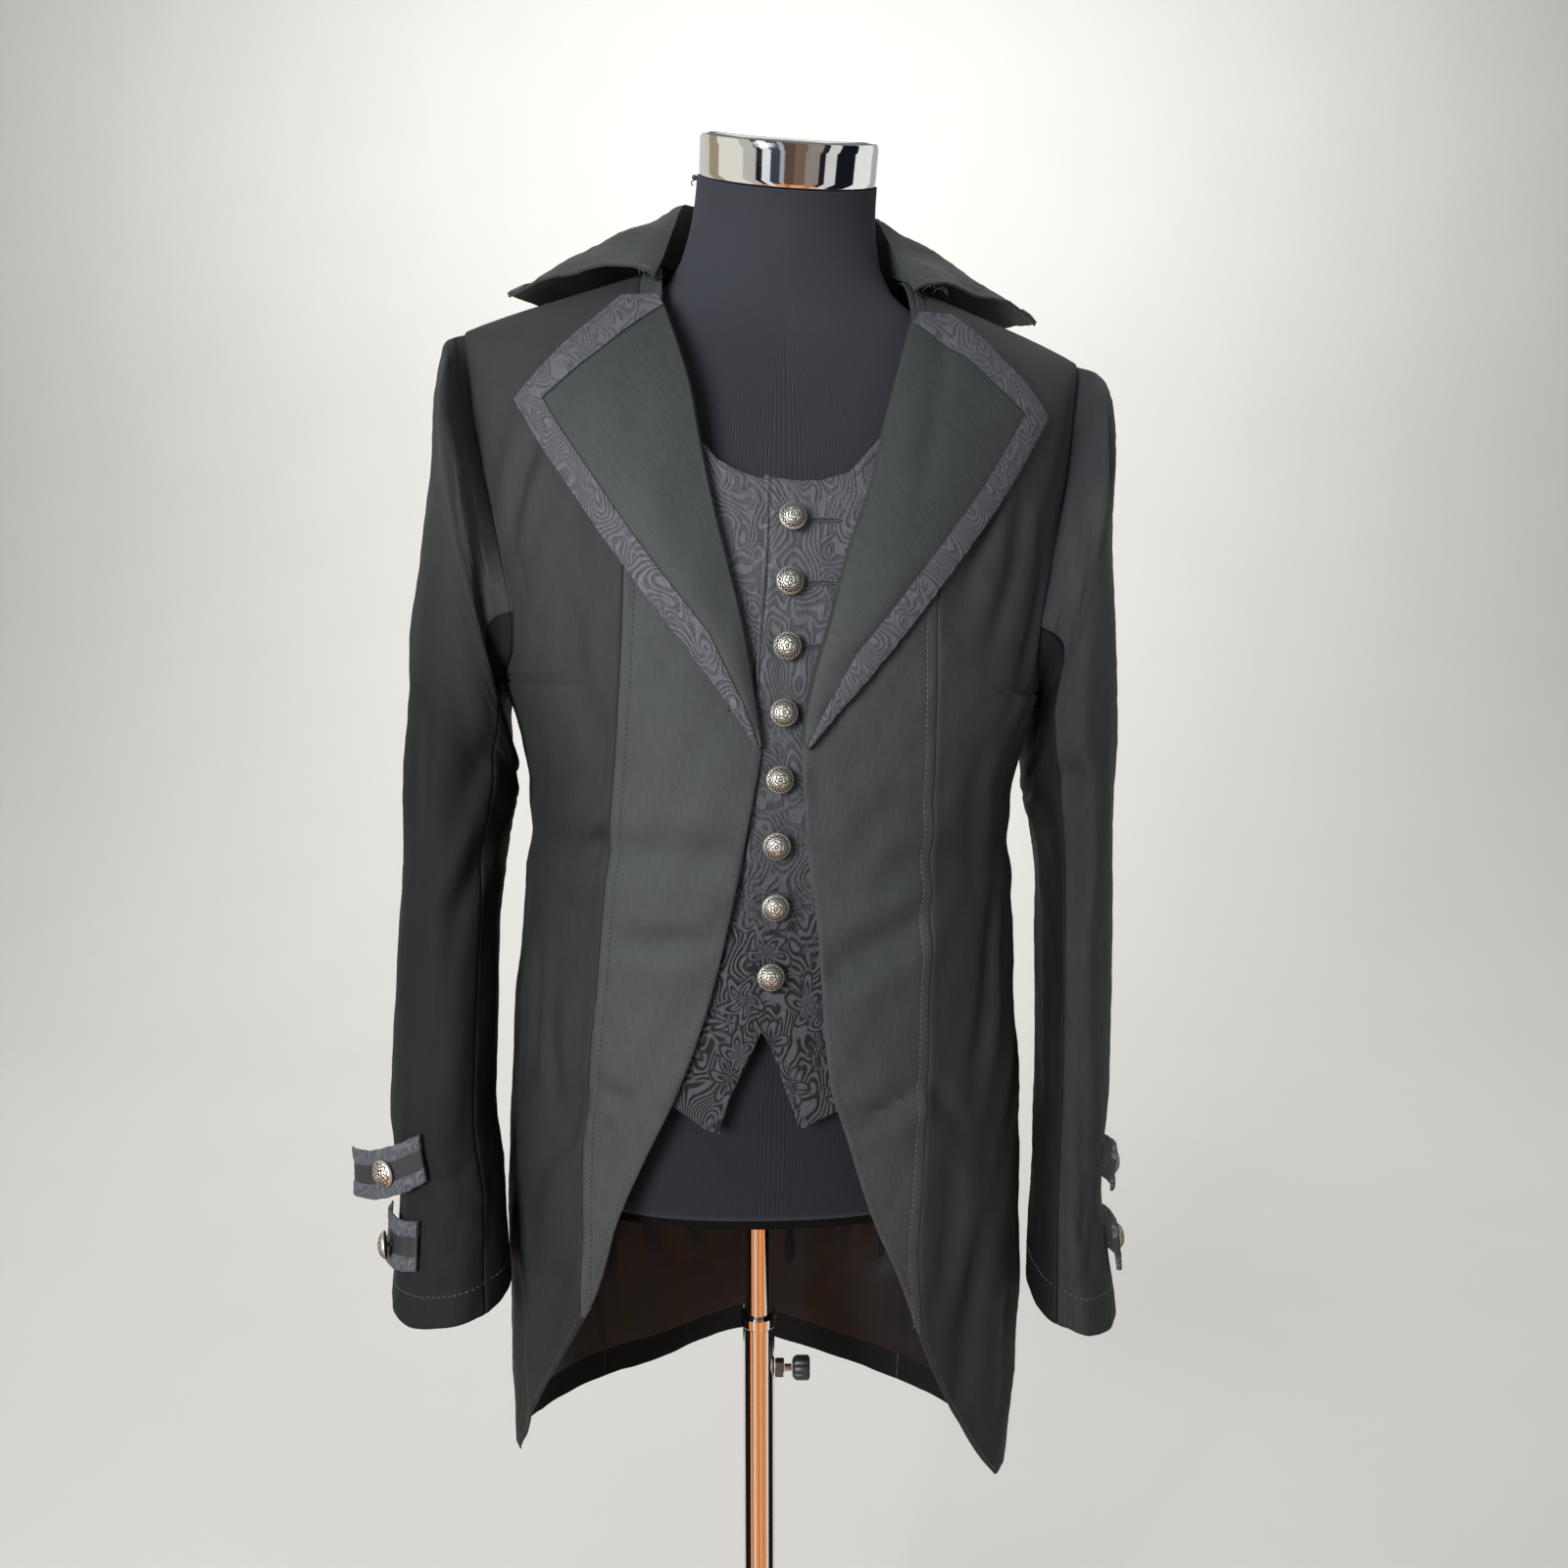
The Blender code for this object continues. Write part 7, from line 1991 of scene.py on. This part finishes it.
# ----------------------------------------------------------------- the form
def build_form_cloth():
    sides = 168
    z_tab = FORM["z"]
    cols = {k: Curve(z_tab, FORM[k]) for k in ("half", "front", "back", "mid", "power")}
    zz = np.unique(np.concatenate([np.linspace(z_tab[0], z_tab[-1], 112), z_tab[0] + np.array([0.0008, 0.002, 0.004])]))
    t = 2 * math.pi * np.arange(sides + 1) / sides
    s, c = np.sin(t), np.cos(t)
    rows = []
    for z in zz:
        a, f, b, m, p = (float(cols[k](z)) for k in ("half", "front", "back", "mid", "power"))
        q = 2 / p
        x = a * np.sign(s) * np.abs(s) ** q
        y = m - np.where(c >= 0, f, b) * np.sign(c) * np.abs(c) ** q
        rows.append(np.stack([x, y, np.full(len(t), z)], -1))
    base = rows[-1]
    r = CAP_R + 0.0008
    up = np.array([0, -math.sin(CAP_TILT), math.cos(CAP_TILT)])
    fwd = np.array([0, -math.cos(CAP_TILT), -math.sin(CAP_TILT)])
    top = np.array(CAP_CENTRE) - up * 0.0004 + np.outer(s, [1, 0, 0]) * r + np.outer(c, fwd) * r
    for f in np.linspace(0, 1, 15)[1:]:
        mid = base * (1 - f) + top * f
        bulge = 1 - 0.035 * math.sin(math.pi * f)
        cc = mid[:-1].mean(0)
        rows.append(cc + (mid - cc) * bulge)
    cc = rows[-1][:-1].mean(0)
    rows.append(cc + (rows[-1] - cc) * 0.90)
    first = rows[0].copy()
    c0 = first[:-1].mean(0)
    rows.insert(0, c0 + (first - c0) * 0.985 + np.array([0, 0, -0.0004]))
    rows.insert(0, c0 + (first - c0) * 0.90 + np.array([0, 0, -0.0004]))
    g = np.array(rows)
    du = np.linalg.norm(np.diff(g, axis=1), axis=-1).sum(1)
    dv = np.concatenate([np.zeros(1), np.cumsum(np.linalg.norm(np.diff(g, axis=0), axis=-1).mean(1))])
    uv = np.stack([np.repeat(t[None, :] * 0.155, len(rows), 0), np.repeat(dv[:, None], len(t), 1)], -1)
    m, n = g.shape[:2]
    verts = g.reshape(-1, 3)
    faces = [tuple(q) for q in grid_faces(m, n)]
    k = len(verts)
    verts = np.concatenate([verts, [g[0, :-1].mean(0), g[-1, :-1].mean(0)]])
    for j in range(n - 1):
        faces.append((k, j + 1, j))
        faces.append((k + 1, (m - 1) * n + j, (m - 1) * n + j + 1))
    faces = [tuple(reversed(f)) for f in faces]
    uvs = np.concatenate([uv.reshape(-1, 2), [[0, 0], [0, 0]]])
    obj = make_mesh("form_jersey", verts, faces, uvs, [JERSEY_MAT], sharp=60, slot="jersey")
    bm_weld(obj)
    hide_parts("form_torso")
    # the hem cord's knot at the side of the neck
    knot = np.array(CAP_CENTRE) - up * 0.0030 + np.array([-1, 0, 0]) * (r + 0.0006)
    ball = [(0.0020 * math.sin(a) * (1 + 0.08 * math.sin(7 * a)), 0.0018 * math.cos(a)) for a in np.linspace(0, math.pi, 13)]
    ball[0], ball[-1] = (0.0, 0.0018), (0.0, -0.0018)
    lathe("neck_knot", ball, knot + np.array([-0.0010, 0, 0.0012]), (0.3, 0.2, 1.0), THREAD, "form", "jersey", None, 24, True, 60)
    tt = np.linspace(0, 1, 16)
    path = np.stack([knot[0] - 0.0010 - 0.0022 * np.sin(2.6 * tt), knot[1] - 0.0020 * tt, knot[2] - 0.0052 * tt], -1)
    sweep("neck_cord_end", path, 0.00045, THREAD)


def bm_weld(obj):
    import bmesh
    bm = bmesh.new()
    bm.from_mesh(obj.data)
    bmesh.ops.remove_doubles(bm, verts=bm.verts, dist=1e-6)
    bmesh.ops.recalc_face_normals(bm, faces=bm.faces)
    bm.to_mesh(obj.data)
    bm.free()


def sweep(name, path, radius, mat, sides=8, slot="jersey", posed=True, body="form"):
    path = np.asarray(path, float)
    tang = np.gradient(path, axis=0)
    tang /= np.linalg.norm(tang, axis=1, keepdims=True)
    ref = np.array([0.0, 0.0, 1.0])
    verts, faces = [], []
    for p, d in zip(path, tang):
        e1 = np.cross(d, ref)
        if np.linalg.norm(e1) < 1e-3:
            e1 = np.cross(d, np.array([1.0, 0, 0]))
        e1 /= np.linalg.norm(e1)
        e2 = np.cross(d, e1)
        for q in range(sides):
            w = 2 * math.pi * q / sides
            verts.append(p + (e1 * math.cos(w) + e2 * math.sin(w)) * radius)
    n = len(path)
    for i in range(n - 1):
        for q in range(sides):
            r = (q + 1) % sides
            faces.append((i * sides + q, i * sides + r, (i + 1) * sides + r, (i + 1) * sides + q))
    faces.append(tuple(range(sides))[::-1])
    faces.append(tuple((n - 1) * sides + q for q in range(sides)))
    return make_mesh(name, np.array(verts), faces, None, [mat], posed=posed, sharp=60, slot=slot, body=body)


def lathe(name, profile, centre, axis, mat, body, slot, node_name=None, sides=96, posed=False, sharp=34):
    """A turned piece: its profile as (radius, height) from top to bottom."""
    axis = np.asarray(axis, float) / np.linalg.norm(axis)
    ref = np.array([0.0, 0.0, 1.0]) if abs(axis[2]) < 0.9 else np.array([1.0, 0, 0])
    e1 = np.cross(ref, axis)
    e1 /= np.linalg.norm(e1)
    e2 = np.cross(axis, e1)
    ang = 2 * math.pi * np.arange(sides) / sides
    ring_dir = e1 * np.cos(ang)[:, None] + e2 * np.sin(ang)[:, None]
    verts, faces, rings = [], [], []
    for r, h in profile:
        if r < 1e-9:
            rings.append([len(verts)])
            verts.append(np.asarray(centre) + axis * h)
        else:
            rings.append(list(range(len(verts), len(verts) + sides)))
            verts += list(np.asarray(centre) + axis * h + ring_dir * r)
    closed = abs(profile[0][0] - profile[-1][0]) < 1e-9 and abs(profile[0][1] - profile[-1][1]) < 1e-9
    if closed:
        rings[-1] = rings[0]
    for a, b in zip(rings, rings[1:]):
        for i in range(sides):
            j = (i + 1) % sides
            if len(a) == 1:
                faces.append((a[0], b[i], b[j]))
            elif len(b) == 1:
                faces.append((a[i], b[0], a[j]))
            else:
                faces.append((a[i], b[i], b[j], a[j]))
    obj = make_mesh(name, np.array(verts), faces, None, [mat], posed=posed, sharp=sharp, slot=slot, body=body)
    if closed:
        bm_weld(obj)
    if node_name:
        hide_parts(node_name)
    return obj


def rounded(rows, radius=0.0006, steps=3):
    """The profile with its inside corners rounded."""
    out = [rows[0]]
    for a, b, c in zip(rows, rows[1:], rows[2:]):
        p, q, r = (np.array(k, float) for k in (a, b, c))
        u, v = p - q, r - q
        lu, lv = np.linalg.norm(u), np.linalg.norm(v)
        if lu < 1e-9 or lv < 1e-9 or q[0] < 1e-9 or abs(u @ v) / (lu * lv) > 0.94:
            out.append(tuple(q))
            continue
        d = min(radius, lu * 0.45, lv * 0.45)
        s, e = q + u / lu * d, q + v / lv * d
        for k in range(steps + 1):
            f = k / steps
            out.append(tuple((1 - f) ** 2 * s + 2 * f * (1 - f) * q + f * f * e))
    out.append(rows[-1])
    return out


def build_stand_metal():
    up = np.array([0, -math.sin(CAP_TILT), math.cos(CAP_TILT)])
    lathe("neck_cap_metal", rounded([(0.0, CAP_H + 0.0020), (CAP_R * 0.80, CAP_H + 0.0017), (CAP_R * 0.95, CAP_H + 0.0004),
                                     (CAP_R * 0.988, CAP_H - 0.0018), (CAP_R, CAP_H - 0.006), (CAP_R, CAP_H - 0.0066), (CAP_R, 0.0040), (CAP_R, 0.0030),
                                     (CAP_R * 0.992, 0.0006), (CAP_R * 0.97, 0.0002), (0.0, 0.0002)], 0.0016, 5),
          CAP_CENTRE, up, CHROME_MAT, "form", "chrome", "neck_cap", 160, True, 60)
    z = (0, 0, 1)
    lathe("base_plate_metal", rounded([(0.0, 0.0150), (0.030, 0.0150), (0.060, 0.0142), (0.110, 0.0118), (0.138, 0.0092),
                                       (BASE_R - 0.001, 0.0062), (BASE_R, 0.0045), (BASE_R, 0.0012),
                                       (BASE_R - 0.001, 0.0), (0.0, 0.0)], 0.003, 4),
          (0, 0, 0), z, CHROME_MAT, "stand", "chrome", "base_plate", 128)

    def pipe(name, r_out, r_in, z0, z1, mat, body, node_name):
        rows = [(r_out, z0), (r_out, z1), (r_in, z1), (r_in, z0), (r_out, z0)]
        lathe(name, rows, (0, 0, 0), z, mat, body, "chrome", node_name, 72)

    pipe("base_hub_metal", 0.0240, TUBE_LOW_R + 0.0004, 0.0153, 0.0500, CHROME_MAT, "stand", "base_hub")
    pipe("lower_tube_metal", TUBE_LOW_R, TUBE_UP_R + 0.0004, 0.0153, TUBE_TOP_Z, CHROME_POLE, "stand", "lower_tube")
    lathe("tube_ring_metal", [(TUBE_LOW_R + 0.0003, TUBE_TOP_Z + 0.0002), (TUBE_LOW_R + 0.0011, TUBE_TOP_Z + 0.0002),
                              (TUBE_LOW_R + 0.0016, TUBE_TOP_Z - 0.0005), (TUBE_LOW_R + 0.0016, TUBE_TOP_Z - 0.0078),
                              (TUBE_LOW_R + 0.0011, TUBE_TOP_Z - 0.0085), (TUBE_LOW_R + 0.0003, TUBE_TOP_Z - 0.0085),
                              (TUBE_LOW_R + 0.0003, TUBE_TOP_Z + 0.0002)], (0, 0, 0), z, CHROME_MAT, "stand", "chrome", "tube_ring", 72)
    lathe("upper_tube_metal", rounded([(0.0, 0.7760), (TUBE_UP_R, 0.7760), (TUBE_UP_R, 0.7740), (TUBE_UP_R, 0.4020), (TUBE_UP_R, 0.40), (0.0, 0.40)], 0.0005),
          (0, 0, 0), z, CHROME_POLE, "mast", "chrome", "upper_tube", 72)
    lathe("form_socket_metal", rounded([(0.0, 0.7880), (0.0420, 0.7880), (0.0420, 0.7850), (0.0150, 0.7830), (0.0150, 0.7815), (0.0150, 0.7520), (0.0150, 0.7500),
                                        (TUBE_UP_R + 0.0004, 0.7500), (TUBE_UP_R + 0.0004, 0.7764), (0.0, 0.7764)], 0.0008),
          (0, 0, 0), z, CHROME_POLE, "form", "chrome", "form_socket", 72)
    # clamp: hexagonal nut with chamfered corners, threaded screw, fluted knob
    x = (1, 0, 0)
    nut = lathe("clamp_nut_metal", [(0.0, 0.0072), (0.0061, 0.0072), (0.0070, 0.0065), (0.0070, 0.0007), (0.0061, 0.0), (0.0, 0.0)],
                (TUBE_LOW_R + 0.0004, 0, KNOB_Z), x, CHROME_MAT, "stand", "chrome", "clamp_nut", 6, sharp=20)
    rows = [(0.0, 0.0058)]
    for k in range(12):
        h = 0.0056 - k * 0.00048
        rows += [(0.0031, h), (0.0027, h - 0.00024)]
    rows += [(0.0031, 0.0), (0.0, 0.0)]
    lathe("clamp_screw_metal", rows, (TUBE_LOW_R + 0.0079, 0, KNOB_Z), x, CHROME_MAT, "knob", "chrome", "clamp_screw", 32)
    build_knob()


def build_knob():
    """A round knob with eight shallow flutes and a flat face."""
    sides = 96
    ang = 2 * math.pi * np.arange(sides) / sides
    flute = np.clip(np.cos(8 * ang), -0.2, 1)
    rows = ((0.0, 0.0132), (0.0045, 0.0133), (0.0060, 0.0140), (0.0074, 0.0139), (0.0086, 0.0131), (0.0092, 0.0118),
            (0.0092, 0.0036), (0.0086, 0.0022), (0.0070, 0.0006), (0.0052, 0.0), (0.0, 0.0))
    verts, faces, rings = [], [], []
    for r, h in rows:
        if r == 0:
            rings.append([len(verts)])
            verts.append((TUBE_LOW_R + 0.0140 + h, 0, KNOB_Z))
            continue
        rr = r - (0.00075 * (flute + 0.2) if r > 0.0072 else 0 * flute)
        rings.append(list(range(len(verts), len(verts) + sides)))
        for a, q in zip(ang, rr):
            verts.append((TUBE_LOW_R + 0.0140 + h, q * math.cos(a), KNOB_Z + q * math.sin(a)))
    for a, b in zip(rings, rings[1:]):
        for i in range(sides):
            j = (i + 1) % sides
            if len(a) == 1:
                faces.append((a[0], b[i], b[j]))
            elif len(b) == 1:
                faces.append((a[i], b[0], a[j]))
            else:
                faces.append((a[i], b[i], b[j], a[j]))
    obj = make_mesh("clamp_knob_plastic", np.array(verts), faces, None, [KNOB_MAT], posed=False, sharp=40, slot="knob", body="knob")
    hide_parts("clamp_knob")


# ------------------------------------------------------- light, floor, camera
def glow(name, colour):
    """An evenly glowing card, though it is no lamp: it paints a reflection into the polished metal."""
    mat, nt, bsdf = tree(name)
    bsdf.inputs["Base Color"].default_value = (0.0, 0.0, 0.0, 1)
    bsdf.inputs["Specular IOR Level"].default_value = 0.0
    bsdf.inputs["Emission Color"].default_value = (*colour, 1)
    bsdf.inputs["Emission Strength"].default_value = 1.0
    return mat


def plain(name, colour, rough=0.9):
    mat, nt, bsdf = tree(name)
    co = nt.nodes.new("ShaderNodeTexCoord").outputs["Object"]
    n = noise(nt, co, 3.0, 3.0, 0.5)
    join(nt, ramp(nt, n, (0.3, tuple(c * 0.985 for c in colour)), (0.7, colour)), bsdf.inputs["Base Color"])
    bsdf.inputs["Roughness"].default_value = rough
    return mat


def card(name, corners, mat, hide=True):
    mesh = bpy.data.meshes.new(name)
    mesh.from_pydata(corners, [], [(0, 1, 2, 3)])
    mesh.materials.append(mat)
    obj = bpy.data.objects.new(name, mesh)
    bpy.context.scene.collection.objects.link(obj)
    return obj


def build_stage():
    # one pale sheet: a wide floor that bends up into a wall far behind
    rows = [(-9.0, 0.0), (2.6, 0.0)]
    for k in range(1, 25):
        a = math.pi / 2 * k / 24
        rows.append((2.6 + 2.6 * math.sin(a), 2.6 - 2.6 * math.cos(a)))
    rows.append((5.2, 7.0))
    verts, faces = [], []
    for y, z in rows:
        verts += [(-8.0, y, z - 0.0005), (8.0, y, z - 0.0005)]
    for i in range(len(rows) - 1):
        faces.append((2 * i, 2 * i + 1, 2 * i + 3, 2 * i + 2))
    mesh = bpy.data.meshes.new("backdrop")
    mesh.from_pydata(verts, [], faces)
    mesh.materials.append(plain("backdrop_paper", (0.535, 0.526, 0.508)))
    mesh.polygons.foreach_set("use_smooth", np.ones(len(mesh.polygons), bool))
    obj = bpy.data.objects.new("backdrop", mesh)
    bpy.context.scene.collection.objects.link(obj)
    # glowing cards that only the polished metal sees, no lamps: painted reflections, a fan on the floor round the base,
    # and standing strips far in front
    dark = glow("card_dark", (0.008, 0.008, 0.010))
    warm = glow("card_warm", (0.86, 0.370, 0.150))
    amber = glow("card_amber", (0.52, 0.195, 0.070))
    white = glow("card_white", (0.80, 0.80, 0.78))

    def unseen(obj):
        obj.visible_camera = False
        obj.visible_shadow = False
        obj.visible_diffuse = False

    fan = ((-118, -62, dark), (-62, -50, warm), (-50, -36, amber), (-36, -24, white), (-24, -6, warm), (-6, 4, amber),
           (4, 30, warm), (30, 40, amber), (40, 60, warm), (60, 74, white), (74, 122, dark))
    for i, (a0, a1, mat) in enumerate(fan):
        p = []
        for a, r in ((a0, 0.16), (a1, 0.16), (a1, 1.44), (a0, 1.44)):
            p.append((r * math.sin(math.radians(a)), -r * math.cos(math.radians(a)), 0.002 + 0.0002 * i))
        unseen(card("card_fan_%d" % i, p, mat))
        p = []
        for a, z in ((a0, 0.0), (a1, 0.0), (a1, 0.14), (a0, 0.14)):
            p.append((1.44 * math.sin(math.radians(a)), -1.44 * math.cos(math.radians(a)), z))
        unseen(card("card_skirting_%d" % i, p, mat))
    strips = ((-152, -116, (0.62, 0.61, 0.59)), (-116, -96, (0.36, 0.30, 0.20)), (-96, -60, (0.80, 0.77, 0.68)),
              (-60, -43, (0.52, 0.51, 0.48)), (-43, -35, (0.010, 0.011, 0.014)), (-35, -24, (0.82, 0.83, 0.84)),
              (-24, -11, (0.050, 0.056, 0.075)), (-11, -5, (0.40, 0.42, 0.46)), (-5, 9, (0.115, 0.070, 0.058)),
              (9, 24, (0.18, 0.125, 0.090)), (24, 43, (0.28, 0.24, 0.215)), (43, 51, (0.014, 0.014, 0.017)),
              (51, 66, (0.66, 0.66, 0.64)), (66, 93, (0.008, 0.009, 0.014)), (93, 128, (0.84, 0.84, 0.82)),
              (128, 152, (0.42, 0.42, 0.41)))
    for i, (a0, a1, colour) in enumerate(strips):
        p = []
        for a, z in ((a0, 0.0), (a1, 0.0), (a1, 2.6), (a0, 2.6)):
            p.append((1.48 * math.sin(math.radians(a)), -1.48 * math.cos(math.radians(a)), z))
        unseen(card("card_strip_%d" % i, p, glow("card_shade_%d" % i, colour)))

    def area(name, place_at, aim, size, size_y, power, colour):
        light = bpy.data.lights.new(name, "AREA")
        light.shape = "RECTANGLE"
        light.size, light.size_y = size, size_y
        light.energy = power
        light.color = colour
        obj = bpy.data.objects.new(name, light)
        d = np.array(aim, float) - np.array(place_at, float)
        from mathutils import Vector
        obj.rotation_euler = Vector(d).to_track_quat("-Z", "Y").to_euler()
        obj.location = place_at
        obj.visible_camera = False
        bpy.context.scene.collection.objects.link(obj)

    area("key", (-1.30, -2.35, 1.62), (0.0, 0.0, 1.08), 1.1, 1.1, 142, (0.985, 0.995, 1.0))
    area("fill", (1.9, -2.2, 1.5), (0.0, 0.0, 1.0), 1.0, 1.4, 12, (0.92, 0.96, 1.0))
    area("top", (0.0, 0.2, 3.6), (0.0, 0.2, 1.2), 2.2, 1.6, 7, (1.0, 0.99, 0.97))
    area("wall", (0.0, 1.6, 4.4), (0.0, 5.2, 2.4), 5.0, 1.6, 285, (1.0, 0.995, 0.985))
    area("floor", (0.0, 2.3, 3.4), (0.0, 1.4, 0.0), 3.0, 1.6, 14, (1.0, 0.985, 0.97))
    world = bpy.data.worlds.new("soft_room")
    world.use_nodes = True
    bg = world.node_tree.nodes["Background"]
    bg.inputs[0].default_value = (0.80, 0.80, 0.79, 1)
    bg.inputs[1].default_value = 0.25
    bpy.context.scene.world = world
    cam = bpy.data.cameras.new("camera")
    cam.lens = 27.02
    cam.sensor_width = 36
    cam.sensor_fit = "HORIZONTAL"
    obj = bpy.data.objects.new("camera", cam)
    obj.location = (0.020, -0.885, 1.18)
    obj.rotation_euler = (math.radians(90 - 5.63), 0, 0)
    bpy.context.scene.collection.objects.link(obj)
    bpy.context.scene.camera = obj
    scene = bpy.context.scene
    scene.view_settings.view_transform = "Standard"
    scene.view_settings.look = "None"
    scene.view_settings.exposure = 0.0


build_stage()
build_panels()
build_lining_cloth()
build_sleeve_cloth()
build_lapel_cloth()
build_collar_cloth()
build_vest_cloth()
build_vest_button_set()
build_tab_cloth()
build_form_cloth()
build_stand_metal()
# the form's board gets the near black, painted-shadow material
for name in ("form_board",):
    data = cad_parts[name].data
    data.materials.clear()
    data.materials.append(BOARD_PAINTED_SHADOW_MAT)
